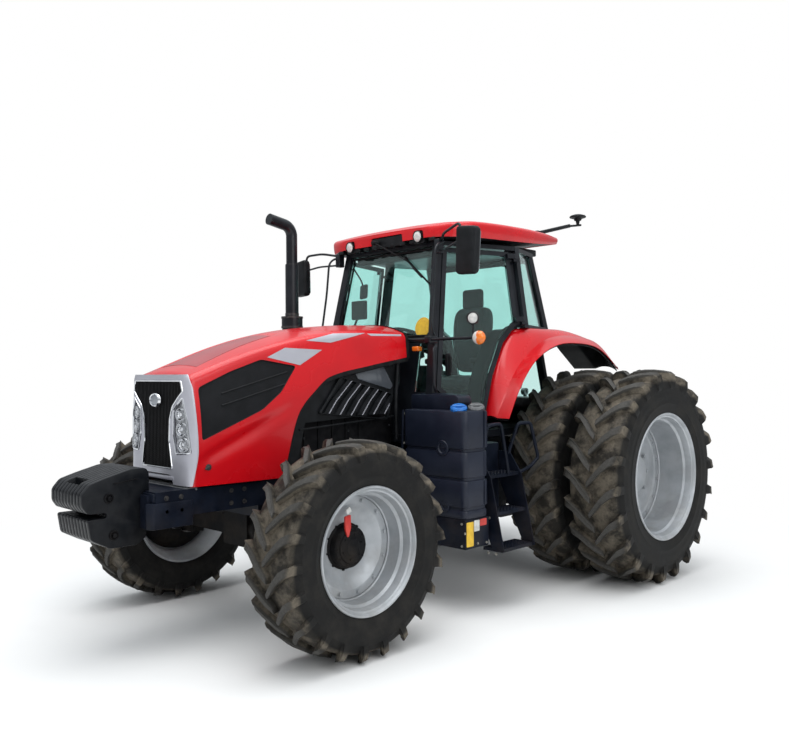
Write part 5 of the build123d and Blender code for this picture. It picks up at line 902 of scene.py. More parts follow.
screens, rims = bmesh.new(), bmesh.new()
for sign in (1, -1):
    screen = sheet_of(24, 16, screen_point)
    bmesh.ops.solidify(screen, geom=screen.faces[:], thickness=sign * 0.004)
    tool = prism(opening, (sign * 0.25, sign * 0.7), "X", 0.022)
    bmesh.ops.scale(tool, verts=tool.verts[:], vec=(1, 1.012, 1.012),
                    space=Matrix.Translation((0, -(low_y + high_y) / 2, -1.56)))
    absorb(screens, carve(screen, tool, "INTERSECT"))
    for shift in (0.0, 0.075):
        brace = [Vector((skin_x(y, z - shift, sign) - sign * SCREEN_DEPTH, y, z - shift))
                 for y, z in ((-1.80, 1.60), (-1.30, 1.735))]
        add_bar(rims, *brace, 0.006, sides=10)
    for (ya, za), (yb, zb) in zip(opening, opening[1:] + opening[:1]):
        spots = [(ya + (yb - ya) * i / 4, za + (zb - za) * i / 4) for i in range(5)]
        spots = [(skin_x(y, z, sign) - sign * 0.006, y, z) for y, z in spots]
        for start, end in zip(spots, spots[1:]):
            add_bar(rims, start, end, 0.005, sides=6)
add_piece("hood_side_screens", screens, "hood", SCREEN_MESH, ("hood_side_meshes",))
add_piece("hood_screen_rims", rims, "hood", MOULDED_BLACK)

# %% [markdown]
# ## Grille and headlamps
# The silver surround is a rounded frame with windows cut through it: the pinched middle for the grille,
# one on each side for a pod with three round lamps, and a notch below.

# %% Make the grille
FACE_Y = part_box("grille_surround")[0][1]
# height, half width and how far the side of the frame wraps back
FRAME_HALF = ((1.035, 0.368), (1.10, 0.377), (1.25, 0.385), (1.45, 0.376), (1.63, 0.357), (1.69, 0.342),
              (1.722, 0.325))
FRAME_WRAP = ((1.035, 0.030), (1.10, 0.042), (1.25, 0.064), (1.63, 0.044), (1.69, 0.030), (1.722, 0.030))
FRAME_LOW, FRAME_HIGH = FRAME_HALF[0][0], FRAME_HALF[-1][0]
FLAT_SHARE = 0.70  # share of the half width that stays flat
MESH_HALF = ((0.285, 1.682), (0.302, 1.615), (0.195, 1.522), (0.162, 1.440), (0.154, 1.300), (0.186, 1.135))
MESH_OUTLINE = list(MESH_HALF) + [(-x, z) for x, z in reversed(MESH_HALF)]
POD = ((0.208, 1.498), (0.300, 1.578), (0.338, 1.440), (0.362, 1.238), (0.240, 1.228), (0.204, 1.340))


def face_y(x, z):
    """How far back the front of the grille frame is."""
    half = curve_at(FRAME_HALF, z)
    share = min(1.0, max(0.0, (abs(x) / half - FLAT_SHARE) / (1 - FLAT_SHARE)))
    return FACE_Y + curve_at(FRAME_WRAP, z) * (1 - math.sqrt(1 - share ** 2)) + 0.006 * (x / half) ** 2


def wider(points, amount):
    """An outline grown outwards from its middle."""
    mid_a = sum(p[0] for p in points) / len(points)
    mid_b = sum(p[1] for p in points) / len(points)
    grown = []
    for a, b in points:
        off = Vector((a - mid_a, b - mid_b))
        off *= 1 + amount / off.length
        grown.append((mid_a + off.x, mid_b + off.y))
    return grown


def frame_point(s, t):
    """Point of the grille frame: s runs across it, t up it."""
    z = FRAME_LOW + (FRAME_HIGH - FRAME_LOW) * t
    x = curve_at(FRAME_HALF, z) * math.sin((s - 0.5) * math.pi)
    return x, face_y(x, z), z


bm = sheet_of(72, 48, frame_point)
face_towards(bm, (0, -1, 0))
thicken(bm, 0.012)
windows = [MESH_OUTLINE] + [[(sign * x, z) for x, z in POD] for sign in (1, -1)]
windows.append([(-0.21, 1.00), (0.21, 1.00), (0.175, 1.095), (-0.175, 1.095)])
for window in windows:
    bm = carve(bm, prism(window, (FACE_Y - 0.1, FACE_Y + 0.2), "Y", 0.03))
add_piece("grille_frame", bm, "hood", TRIM_SILVER, ("grille_surround",), 30)


def add_bead(bm, outline, radius):
    """Lays a thin round bead along a closed outline on the grille frame, starting off a corner."""
    points = []
    for (xa, za), (xb, zb) in zip(outline, outline[1:] + outline[:1]):
        for i in range(6):
            x, z = xa + (xb - xa) * i / 6, za + (zb - za) * i / 6
            points.append((x, face_y(x, z), z))
    add_pipe(bm, points[3:] + points[:4], radius, bend=0.016, sides=2, bend_steps=2)


bm = bmesh.new()
for window in windows[:3]:
    add_bead(bm, window, 0.006)
add_piece("grille_frame_beads", bm, "hood", CHROME)

GRILLE_MESH = woven_finish("grille_mesh", (0.012, 0.012, 0.013), (0.020, 0.020, 0.022), 0.006)
ribs = bmesh.new()
for i in range(-17, 18):
    add_block(ribs, (i * 0.018 - 0.003, FACE_Y + 0.004, 1.10), (i * 0.018 + 0.003, FACE_Y + 0.022, 1.72), 0.0)
ribs = carve(ribs, prism(wider(MESH_OUTLINE, -0.001), (FACE_Y - 0.1, FACE_Y + 0.1), "Y", 0.03), "INTERSECT")
add_plate(ribs, wider(MESH_OUTLINE, 0.008), (FACE_Y + 0.020, FACE_Y + 0.028), "Y", corner=0.03)
add_piece("grille_ribs", ribs, "hood", GRILLE_MESH, ("grille_mesh",))

badge = Vector((0, FACE_Y - 0.006, 1.560))
ring = [(0.0, 0.064), (0.010, 0.060), (0.014, 0.054), (0.010, 0.048), (0.0, 0.046)]
blank = [(-0.02, 0.0), (-0.02, 0.05), (0.002, 0.049), (0.006, 0.030), (0.008, 0.0)]
for name, profile, surface in (("badge_ring", ring, CHROME), ("badge_blank", blank, SILVER_PAINT)):
    bm = bmesh.new()
    add_spun(bm, profile, badge, (0, -1, 0), 48, profile is ring)
    bmesh.ops.scale(bm, vec=(1, 1, 0.72), space=Matrix.Translation(-badge), verts=bm.verts)
    add_piece(name, bm, "hood", surface)

# %% Make the headlamps
# columns: place across, height, radius
LAMPS = ((0.277, 1.474, 0.038), (0.287, 1.381, 0.041), (0.300, 1.287, 0.043))


def pod_back(s, t):
    """Point of the reflector plate behind the lamps, on the side that the loop has reached."""
    x, z = 0.19 + 0.18 * s, 1.21 + 0.38 * t
    return sign * x, face_y(min(x, curve_at(FRAME_HALF, z) - 0.002), z) + 0.016, z


bowls, glasses, backs, rings = bmesh.new(), bmesh.new(), bmesh.new(), bmesh.new()
outline = wider(POD, 0.002)
for sign in (1, -1):
    sheet = sheet_of(16, 16, pod_back)
    for (x0, z0), (x1, z1) in zip(outline, outline[1:] + outline[:1]):
        bmesh.ops.bisect_plane(sheet, geom=sheet.verts[:] + sheet.edges[:] + sheet.faces[:],
                               plane_co=(sign * x0, 0, z0), plane_no=(sign * (z0 - z1), 0, x1 - x0),
                               clear_outer=True)
    thicken(sheet, 0.004)
    absorb(backs, sheet)
    facing = Vector((sign * math.sin(0.30), -math.cos(0.30), 0.02))
    for x, z, r in LAMPS:
        spot = Vector((sign * x, face_y(x, z) + 0.006, z))
        add_spun(bowls, [(0.0, r - 0.001), (-0.004, r * 0.86), (-0.014, r * 0.5), (-0.016, 0.013),
                         (-0.004, 0.010), (-0.001, 0.0)], spot, facing, 32, False)
        add_spun(rings, [(-0.020, r + 0.005), (0.001, r + 0.005), (0.005, r + 0.002), (0.003, r - 0.002),
                         (-0.004, r - 0.002)], spot, facing, 32, False)
        add_spun(glasses, [(0.001, r), (0.006, r * 0.75), (0.009, r * 0.4), (0.010, 0.0)], spot, facing, 32,
                 False)
add_piece("headlamp_backs", backs, "hood", LAMP_SILVER, ("headlamps",))
add_piece("headlamp_rings", rings, "hood", LAMP_SILVER)
add_piece("headlamp_bowls", bowls, "hood", CHROME)
add_piece("headlamp_lenses", glasses, "hood", LENS_GLASS)

bm = bmesh.new()
add_plate(bm, rect(-0.20, 0.20, FACE_Y - 0.002, FACE_Y + 0.03), (1.060, 1.086), "Z", edge=0.005)
add_piece("grille_cross_bar", bm, "hood", TRIM_SILVER)
bm = bmesh.new()
for front, half_front, half_back, heights, corner, edge in (
        (FACE_Y + 0.002, 0.335, 0.348, (1.005, 1.026), 0.015, 0.004),
        (FACE_Y + 0.020, 0.320, 0.335, (1.026, 1.034), 0.0, 0.003)):
    back = FACE_Y + 0.09
    add_plate(bm, [(-half_front, front), (half_front, front), (half_back, back), (-half_back, back)], heights,
              "Z", corner=corner, edge=edge)
add_piece("front_ledge", bm, "tractor", GREY_PLASTIC)
print({name: count for name, count in faces_made.items() if "hood" in name or "lamp" in name})

# %% [markdown]
# ## Finishes for the CAD solids that stay
# Castings, beams, the cab frame and the doors are right as they are, so they keep their CAD mesh. Each
# gets a finish, and most get a narrow bevel that catches the light.

# %% Finish the CAD solids
def give(name, surface, edge=0.0):
    """Puts a finish on a CAD node, and a fine bevel along its sharp edges."""
    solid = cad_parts[name]
    solid.data.materials.clear()
    solid.data.materials.append(surface)
    if edge:
        change = solid.modifiers.new("edge", "BEVEL")
        change.width, change.segments, change.limit_method = edge, 2, "ANGLE"
        change.angle_limit = math.radians(32)
        change.harden_normals = False
    faces_made[name] = len(solid.data.polygons)


for name in ("chassis_rails", "transmission_housing", "weight_carrier", "entry_steps", "drawbar",
             "hitch_frame"):
    give(name, FRAME_PAINT, 0.003)
for name in ("engine_block", "rear_axle_housing", "front_axle_beam", "knuckle_left", "knuckle_right",
             "radiator", "rocker_arms"):
    give(name, CASTING, 0.003)
for name in ("cab_frame", "cab_floor", "door_left", "door_right"):
    give(name, CAB_PAINT, 0.002)
for name in ("door_glass_left", "door_glass_right", "windscreen", "rear_window", "side_windows"):
    give(name, GLASS)
for name in ("dashboard", "seat_base"):
    give(name, CABIN_PLASTIC, 0.004)
for name in ("lift_rods", "top_link", "pto_shaft", "tie_rod"):
    give(name, STEEL, 0.001)
give("lower_links", FRAME_PAINT, 0.003)
give("side_panels", MOULDED_BLACK)
give("exhaust_stack", CAB_PAINT)

# %% [markdown]
# ## Engine bay sides
# Under the arch of the hood the black side panel carries a slanted louvre with bright edges, a grey
# trim above it and a raised rim that follows the arch.

# %% Build the louvres
PANEL_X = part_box("side_panels")[1][0]
LOUVRE = ((-0.820, 1.690), (-0.330, 1.565), (-0.385, 1.385), (-1.020, 1.450))
LOUVRE_TRIM = [(-0.70, 1.755), (-0.42, 1.80), (-0.30, 1.63), (-0.33, 1.60), (-0.66, 1.68)]
SLATS, SLAT_PITCH = 7, 0.112


def off_panel(sign, near, far):
    """A span along X, measured outwards from the side panel's face."""
    return sign * (PANEL_X + near), sign * (PANEL_X + far)


frames, blades, trims = bmesh.new(), bmesh.new(), bmesh.new()
for sign in (1, -1):
    rim = bmesh.new()
    add_plate(rim, wider(LOUVRE, 0.022), off_panel(sign, -0.004, 0.022), "X", corner=0.02, edge=0.005)
    absorb(frames, carve(rim, prism(LOUVRE, off_panel(sign, -0.05, 0.1), "X", 0.012)))
    slats, bright_edges = bmesh.new(), bmesh.new()
    for i in range(SLATS):
        y, z = -1.075 + i * SLAT_PITCH, 1.42
        for holder, near, far, width in ((slats, 0.002, 0.020, 0.050), (bright_edges, 0.018, 0.025, 0.007)):
            corners = [(y - width, z), (y, z), (y + 0.085, z + 0.11), (y + 0.245, z + 0.26),
                       (y + 0.245 - width, z + 0.26), (y + 0.085 - width, z + 0.11)]
            add_plate(holder, corners, off_panel(sign, near, far), "X")
    for holder, result in ((slats, frames), (bright_edges, blades)):
        absorb(result, carve(holder, prism(LOUVRE, off_panel(sign, -0.05, 0.1), "X"), "INTERSECT"))
    add_plate(trims, LOUVRE_TRIM, off_panel(sign, 0.0, 0.010), "X", corner=0.012, edge=0.003)
add_piece("side_louvre_frames", frames, "tractor", MOULDED_BLACK)
add_piece("side_louvre_edges", blades, "tractor", TRIM_SILVER)
GLOSS_GREY = finish("gloss_grey", (0.085, 0.095, 0.11), (0.065, 0.073, 0.085), (0.16, 0.26), coat=0.6,
                    grain=4, bump=0.01)
add_piece("side_trims", trims, "tractor", GLOSS_GREY)

bm = bmesh.new()
for sign in (1, -1):
    x = sign * (PANEL_X + 0.006)
    add_pipe(bm, [(x, y, z - 0.030) for y, z in arch_line[6:38:2]], 0.012, bend=0.02, sides=3, bend_steps=2)
    x = sign * (PANEL_X + 0.004)
    add_pipe(bm, [(x, -1.20, 1.34), (x, -0.25, 1.40)], 0.006, sides=3)
    spots = ((-1.16, 1.28), (-0.75, 1.31), (-0.34, 1.33), (-0.29, 1.78))
    add_bolts(bm, [(sign * PANEL_X, y, z) for y, z in spots], (sign, 0, 0), 0.007)
    add_pipe(bm, [(sign * 0.40, -0.27, 1.22), (sign * 0.41, -0.29, 1.50), (sign * 0.40, -0.25, 1.86)], 0.014,
             bend=0.1, sides=4)
add_piece("side_panel_rims", bm, "tractor", MOULDED_BLACK)

# %% [markdown]
# Under the open hood the engine and the radiator show. The block gets a rocker cover, manifolds, side ribs
# and bolts, and the radiator gets a finned core between two tanks, a fan behind it and a cap on top.

# %% Dress the engine and the radiator
low, high = box_of("engine_block")
FRONT_Y, REAR_Y, HEAD_Z, DECK_Z, BLOCK_X, HEAD_X = low.y, high.y, 1.700, 1.560, 0.300, 0.240
bm = bmesh.new()
add_block(bm, (-0.150, FRONT_Y + 0.060, HEAD_Z - 0.010), (0.090, REAR_Y - 0.260, HEAD_Z + 0.050), 0.018, 3)
add_block(bm, (-0.170, FRONT_Y + 0.040, HEAD_Z - 0.010), (0.110, REAR_Y - 0.240, HEAD_Z + 0.008), 0.003)
CYLINDERS = [FRONT_Y + 0.130 + 0.130 * k for k in range(6)]
for y in CYLINDERS:
    add_block(bm, (-0.100, y - 0.030, HEAD_Z + 0.046), (0.040, y + 0.030, HEAD_Z + 0.060), 0.006)
    for x in (-0.160, 0.100):
        add_bolts(bm, [(x, y + 0.065, HEAD_Z + 0.008)], (0, 0, 1), 0.009, 0.010)
    for sign in (-1, 1):
        add_block(bm, (sign * HEAD_X - 0.012, y - 0.022, DECK_Z + 0.030),
                  (sign * HEAD_X + 0.012, y + 0.022, HEAD_Z - 0.030), 0.006)
        add_block(bm, (sign * BLOCK_X - 0.010, y - 0.008, 1.060), (sign * BLOCK_X + 0.010, y + 0.008, 1.500),
                  0.003)
for sign, radius in ((-1, 0.032), (1, 0.028)):
    x, z = sign * (HEAD_X + 0.020), DECK_Z + 0.075
    add_bar(bm, (x, CYLINDERS[0] - 0.050, z), (x, CYLINDERS[-1] + 0.050, z), radius, sides=24, edge=0.006)
add_bar(bm, (0.170, FRONT_Y + 0.320, HEAD_Z - 0.010), (0.170, FRONT_Y + 0.320, HEAD_Z + 0.040), 0.040,
        sides=28, edge=0.006)
add_piece("engine_covers", bm, "tractor", CASTING)
bm = bmesh.new()
add_bar(bm, (0.020, FRONT_Y + 0.480, HEAD_Z + 0.046), (0.020, FRONT_Y + 0.480, HEAD_Z + 0.072), 0.030,
        sides=28, edge=0.005)
add_piece("oil_filler_cap", bm, "tractor", MOULDED_BLACK)
low, high = box_of("radiator")
FINS, FAN_BLADES = 44, 8
bm = bmesh.new()
for z0, z1 in ((low.z + 0.010, low.z + 0.080), (high.z - 0.075, high.z + 0.004)):
    add_block(bm, (low.x - 0.002, low.y - 0.010, z0), (high.x + 0.002, high.y + 0.010, z1), 0.010, 3)
for x in (low.x, high.x):
    add_block(bm, (x - 0.006, low.y - 0.008, low.z + 0.020), (x + 0.006, high.y + 0.008, high.z - 0.020),
              0.003)
fan = Vector((0.0, high.y, (low.z + high.z) / 2 + 0.020))
add_spun(bm, [(-0.004, 0.240), (0.055, 0.232), (0.055, 0.238), (-0.004, 0.250)], fan, (0, 1, 0), 64)
add_bar(bm, (0.120, (low.y + high.y) / 2, high.z - 0.004), (0.120, (low.y + high.y) / 2, high.z + 0.022),
        0.030, sides=28, edge=0.004)
add_piece("radiator_tanks", bm, "tractor", CASTING)
bm = bmesh.new()
for k in range(FINS):
    z = low.z + 0.086 + k * 0.0100
    add_block(bm, (low.x + 0.008, low.y - 0.005, z), (high.x - 0.008, high.y + 0.003, z + 0.0035), 0.0, 1)
add_piece("radiator_fins", bm, "tractor", DARK_BOLT)
bm = bmesh.new()
add_bar(bm, fan + Vector((0, 0.006, 0)), fan + Vector((0, 0.060, 0)), 0.050, sides=32, edge=0.006)
tilt = Matrix.Rotation(math.radians(28), 3, "Z")
for k in range(FAN_BLADES):
    turn = Matrix.Rotation(2 * math.pi * k / FAN_BLADES, 3, "Y")
    blade = bmesh.new()
    add_block(blade, (-0.030, -0.002, 0.044), (0.030, 0.002, 0.220), 0.0015, 1)
    for vertex in blade.verts:
        vertex.co = turn @ (tilt @ vertex.co) + fan + Vector((0, 0.032, 0))
    absorb(bm, blade)
add_piece("radiator_fan", bm, "tractor", MOULDED_BLACK)

# %% [markdown]
# ## Front weights
# Ten iron plates hang side by side. The middle ones have a hand slot in the top, all have a rounded
# nose with a notch, and two rods with nuts hold the pack together.

# %% Make the front weights
weights_low, weights_high = box_of("front_weights")
NOSE_Y, BACK_Y = weights_low.y, weights_high.y
PLATE = [(NOSE_Y + 0.150, 1.120), (NOSE_Y + 0.30, 1.158), (BACK_Y - 0.02, 1.158), (BACK_Y, 1.13),
         (BACK_Y, 1.00), (BACK_Y - 0.06, 0.985), (BACK_Y - 0.06, 0.835), (BACK_Y - 0.02, 0.82),
         (BACK_Y - 0.02, 0.74), (BACK_Y - 0.08, 0.702), (NOSE_Y + 0.17, 0.702), (NOSE_Y + 0.055, 0.765),
         (NOSE_Y + 0.035, 0.885), (NOSE_Y + 0.150, 0.885), (NOSE_Y + 0.150, 0.915), (NOSE_Y + 0.035, 0.918),
         (NOSE_Y + 0.002, 0.965), (NOSE_Y + 0.002, 1.035), (NOSE_Y + 0.050, 1.09)]
HAND_SLOT = [(NOSE_Y + 0.042, 1.16), (NOSE_Y + 0.107, 1.16), (NOSE_Y + 0.094, 1.00), (NOSE_Y + 0.042, 0.985)]
PLATES, SLOTTED = 10, (3, 4, 5, 6)
pitch = (weights_high.x - weights_low.x - 0.01) / PLATES
plates = bmesh.new()
for i in range(PLATES):
    x = weights_low.x + 0.005 + pitch * i
    one = bmesh.new()
    add_plate(one, PLATE, (x + 0.0015, x + pitch - 0.0015), "X", corner=0.022, edge=0.004)
    if i in SLOTTED:
        one = carve(one, prism(HAND_SLOT, (x - 0.01, x + pitch + 0.01), "X", 0.012))
    absorb(plates, one)
add_piece("front_weight_plates", plates, "tractor", WEIGHT_IRON, ("front_weights",), 30)
bm = bmesh.new()
for sign, x in ((1, weights_high.x), (-1, weights_low.x)):
    for y, z in ((NOSE_Y + 0.16, 1.000), (NOSE_Y + 0.19, 0.780)):
        spot = Vector((x - sign * 0.004, y, z))
        add_spun(bm, [(0.0, 0.030), (0.007, 0.029), (0.008, 0.022), (0.002, 0.020), (0.002, 0.0)], spot,
                 (sign, 0, 0), 28, False)
        add_bar(bm, spot, spot + Vector((sign * 0.020, 0, 0)), 0.014, sides=6, edge=0.002)
    near, far = sorted((x - sign * 0.003, x + sign * 0.003))
    add_block(bm, (near, NOSE_Y + 0.19, 1.086), (far, NOSE_Y + 0.34, 1.094), 0.002, turn=(0.12, 0, 0))
add_piece("front_weight_rods", bm, "tractor", CASTING)

# %% Add the front frame details
RAIL_X = 0.345
RAIL_BOLTS_Y = (-2.18, -2.08, -1.72, -1.62, -0.95, -0.85, -0.60)
bm = bmesh.new()
for sign in (1, -1):
    add_bolts(bm, [(sign * RAIL_X, y, z) for y in RAIL_BOLTS_Y for z in (0.90, 0.98)], (sign, 0, 0), 0.012, 0.010)
    add_bolts(bm, [(sign * x, -2.254, 0.975) for x in (0.12, 0.24)], (0, -1, 0), 0.012, 0.010)
add_piece("frame_bolts", bm, "tractor", DARK_BOLT)
bm = bmesh.new()
add_block(bm, (-0.335, -2.262, 0.955), (0.335, -1.99, 1.012), 0.005)
for sign in (1, -1):
    add_plate(bm, [(sign * 0.305, -2.30), (sign * 0.355, -2.27), (sign * 0.355, -2.00),
                   (sign * 0.305, -2.00)],
              (0.80, 0.955), "Z", corner=0.01, edge=0.004)
add_piece("front_bumper", bm, "tractor", FRAME_PAINT)
print({name: count for name, count in faces_made.items() if "weight" in name or "louvre" in name})

# %% [markdown]
# ## Front axle and hubs
# The beam and the steering knuckles stay as CAD. They get kingpin caps, a differential with its bolts,
# steering cylinders and lines. Each wheel gets a hub drum with rings of bolts, a dark cone behind the
# dish that is painted shade inside the wheel, and a red tag.

# %% Dress the front axle
KINGPIN_X = 0.80
HUB_DRUM = [(-0.004, 0.0), (-0.004, 0.052), (-0.113, 0.052), (-0.113, 0.140), (-0.106, 0.145),
            (-0.046, 0.145), (-0.040, 0.132), (0.000, 0.128), (0.008, 0.120), (0.010, 0.102), (0.018, 0.096),
            (0.022, 0.060), (0.030, 0.050), (0.032, 0.0)]
# columns: bolts in the ring, place along the axle, ring radius, first turn, height of a bolt
HUB_BOLTS = ((10, 0.009, 0.111, 0.0, 0.006), (6, 0.020, 0.076, 0.3, 0.006), (10, -0.052, 0.146, 0.2, 0.012))
# painted shade: a thin dark cone behind the rim's dish, standing in for the shade inside the wheel
SHADE_CONE = [(-0.026, 0.300), (-0.070, 0.236), (-0.080, 0.150), (-0.084, 0.150), (-0.076, 0.240),
          (-0.032, 0.304)]
TAG = [(-0.020, 0.055), (0.024, 0.062), (0.026, -0.015), (0.008, -0.072), (-0.006, -0.072), (-0.022, -0.010)]
for side, sign in SIDES:
    bm = bmesh.new()
    centre, axis = middle("front_rim_" + side), Vector((sign, 0, 0))
    add_spun(bm, HUB_DRUM, centre, axis, 64, False)
    for count, along, radius, start, height in HUB_BOLTS:
        add_bolts(bm, ring_of(count, centre + axis * along, radius, start=start), axis, 0.006, height)
    add_piece("front_hub_drum_" + side, bm, "front_wheel_" + side, CASTING,
              ("front_hub_" + side,))
    bm = bmesh.new()
    # the painted shade cone behind the dish
    add_spun(bm, SHADE_CONE, centre, axis, 64)
    add_piece("front_rim_shade_cone_" + side, bm, "front_wheel_" + side, CASTING)
    bm = bmesh.new()
    tag = Vector((centre.x + sign * 0.014, FRONT_AXLE.y - 0.040, FRONT_AXLE.z + 0.140))
    add_plate(bm, [(tag.y + a, tag.z + b) for a, b in TAG], (tag.x - sign * 0.004, tag.x + sign * 0.010), "X",
              corner=0.006, edge=0.002)
    add_piece("hub_tag_" + side, bm, "front_wheel_" + side, RED_PLASTIC)
    bm = bmesh.new()
    near, far = sorted((tag.x, tag.x + sign * 0.012))
    add_block(bm, (near, tag.y - 0.012, tag.z + 0.070), (far, tag.y + 0.026, tag.z + 0.106), 0.003,
              turn=(0.5, 0, 0))
    add_piece("hub_tag_clip_" + side, bm, "front_wheel_" + side, WHITE_LABEL)
    bm = bmesh.new()
    for z, way in ((0.790, 1), (0.530, -1)):
        spot = Vector((sign * KINGPIN_X, FRONT_AXLE.y, z))
        add_spun(bm, [(0.0, 0.066), (0.008, 0.064), (0.014, 0.050), (0.016, 0.0)], spot, (0, 0, way), 40,
                 False)
        add_bolts(bm, ring_of(4, spot + Vector((0, 0, way * 0.009)), 0.050, axis="Z", start=0.78),
                  (0, 0, way), 0.006, 0.006)
    add_piece("kingpin_caps_" + side, bm, "knuckle_" + side, DARK_BOLT)
bm = bmesh.new()
axle_y, axle_z = FRONT_AXLE.y, FRONT_AXLE.z
add_spun(bm, [(-0.16, 0.0), (-0.16, 0.085), (-0.13, 0.12), (0.13, 0.12), (0.16, 0.085), (0.16, 0.0)],
         Vector((0.06, axle_y, axle_z)), (1, 0, 0), 48, False)
add_spun(bm, [(-0.02, 0.0), (-0.02, 0.05), (0.10, 0.05), (0.10, 0.058), (0.13, 0.058), (0.13, 0.0)],
         Vector((0.06, axle_y + 0.12, axle_z)), (0, 1, 0), 32, False)
add_bolts(bm, ring_of(12, (0.222, axle_y, axle_z), 0.098), (1, 0, 0), 0.007, 0.008)
for sign in (1, -1):
    root, gland, eye = (Vector((sign * x, axle_y + y, axle_z + z))
                        for x, y, z in ((0.10, 0.145, -0.03), (0.34, 0.155, -0.05), (0.60, 0.168, -0.075)))
    add_bar(bm, root, gland, 0.028, sides=24, edge=0.003)
    add_bar(bm, gland, eye, 0.012, sides=20)
add_piece("axle_differential", bm, "tractor", CASTING)
bm = bmesh.new()
for sign in (1, -1):
    add_pipe(bm, [(sign * 0.20, axle_y + 0.17, axle_z - 0.01), (sign * 0.20, axle_y + 0.20, axle_z + 0.10),
                  (sign * 0.25, axle_y + 0.22, 0.86)], 0.009, bend=0.05, sides=3)
add_piece("steering_lines", bm, "tractor", BLACK_RUBBER)

# %% [markdown]
# ## Exhaust stack
# The stack keeps its CAD mesh. Clamps, collars and clamp bolts are added.

# %% Dress the exhaust
STACK = Vector((-0.600, -0.480, 0))
# columns: height, half width, inner radius, outer radius, steps round it
COLLARS = ((2.105, 0.008, 0.0855, 0.0895, 48), (2.185, 0.008, 0.0855, 0.0895, 48),
           (1.86, 0.008, 0.082, 0.086, 48), (1.40, 0.008, 0.082, 0.086, 48), (2.21, 0.010, 0.050, 0.057, 40),
           (2.612, 0.012, 0.044, 0.052, 40))
bm = bmesh.new()
for z, half, inner, outer, steps in COLLARS:
    add_spun(bm, rect(-half, half, inner, outer), STACK + Vector((0, 0, z)), (0, 0, 1), steps)
add_bolts(bm, [STACK + Vector((0.060, -0.066, z)) for z in (2.105, 2.185)], (0.67, -0.74, 0), 0.007, 0.008)
add_piece("stack_clamps", bm, "tractor", DARK_BOLT)

# %% [markdown]
# ## Cab roof
# The roof is a red shell whose cross section swells from a pointed front edge to a broad middle and
# narrows again behind. A black lining with scallops closes it from below, a dark panel sits in the
# middle of the front edge, and the two lamps get a bezel and a lens.

# %% Shape the roof
# columns: y, half width, lower edge, shoulder, crown
ROOF = ((-0.012, 0.470, 2.772, 2.845, 2.862), (0.055, 0.690, 2.762, 2.868, 2.896),
        (0.25, 0.778, 2.766, 2.885, 2.930), (0.80, 0.784, 2.790, 2.905, 2.960),
        (1.27, 0.700, 2.832, 2.925, 2.968), (1.61, 0.600, 2.878, 2.935, 2.952))
roof_low, roof_high = box_of("cab_roof")


def roof_row(y):
    """Half width, lower edge, shoulder and crown of the roof at a place along it."""
    if y < ROOF[1][0]:
        first, second = ROOF[0], ROOF[1]
        t = max(0.0, (y - first[0]) / (second[0] - first[0]))
        return [a + (b - a) * share for a, b, share in zip(first[1:], second[1:], (t ** 0.6, t, t, t))]
    return [curve_at([(row[0], row[k]) for row in ROOF[1:]], y) for k in range(1, 5)]


def roof_point(y, t):
    """Point of the roof's left half: t runs from the lower edge over the shoulder to the middle."""
    half, low, shoulder, crown = roof_row(y)
    if t < 0.2:
        s = t / 0.2
        x, z = half - 0.016 * (1 - s) ** 2, low + (shoulder - 0.022 - low) * s
    elif t < 0.35:
        s = (t - 0.2) / 0.15
        bends = ((0, -0.022), (0.002, 0.006), (0.05, 0.010))
        a, b, c = (Vector((half - inward, shoulder + up)) for inward, up in bends)
        x, z = a * (1 - s) ** 2 + b * 2 * s * (1 - s) + c * s ** 2
    else:
        s = max(0.0, 1 - (t - 0.35) / 0.65)
        x = (half - 0.05) * s
        z = crown - (crown - shoulder - 0.010) * s ** 2.4
        if 0.30 < y < 1.35 and 0.30 < s < 0.80:
            z -= 0.006 * min(1.0, (s - 0.30) / 0.06, (0.80 - s) / 0.06, (y - 0.30) / 0.04, (1.35 - y) / 0.04)
    return Vector((x, y, z))


def roof_skin(s, t):
    """Point of the roof's skin for a share along it and a share up and over its left half."""
    return roof_point(roof_low.y + (roof_high.y - roof_low.y) * s ** 1.35, max(0.0, t))


def lining_point(s, t):
    """Point of the lining for a share along the roof and a share across it."""
    y, across = 0.004 + (roof_high.y - 0.014) * s, 2 * t - 1
    half, low = roof_row(y)[:2]
    scallop = 0.006 * abs(math.sin(across * 16)) if y < 0.08 else 0.0
    return (half - 0.018) * across, y, low + 0.006 - scallop


ROOF_LAMP_X = 0.393
bm = sheet_of(110, 56, roof_skin)
close_middle(bm)
for at in (roof_low.y, roof_high.y):
    rim = [e for e in bm.edges if e.is_boundary and all(abs(v.co.y - at) < 0.0005 for v in e.verts)]
    bmesh.ops.contextual_create(bm, geom=rim)
face_towards(bm, (0, 0, 1))
thicken(bm, 0.006)
for x in (-ROOF_LAMP_X, ROOF_LAMP_X):
    pocket = [(x - 0.062, 2.70), (x + 0.062, 2.70), (x + 0.050, 2.835), (x - 0.050, 2.835)]
    bm = carve(bm, prism(pocket, (-0.2, 0.030), "Y", 0.02))
pocket = [(-0.150, 2.70), (0.230, 2.70), (0.215, 2.832), (-0.135, 2.832)]
bm = carve(bm, prism(pocket, (-0.2, 0.040), "Y", 0.012))
add_piece("roof_shell", bm, "tractor", RED_PAINT, ("cab_roof",), 34)

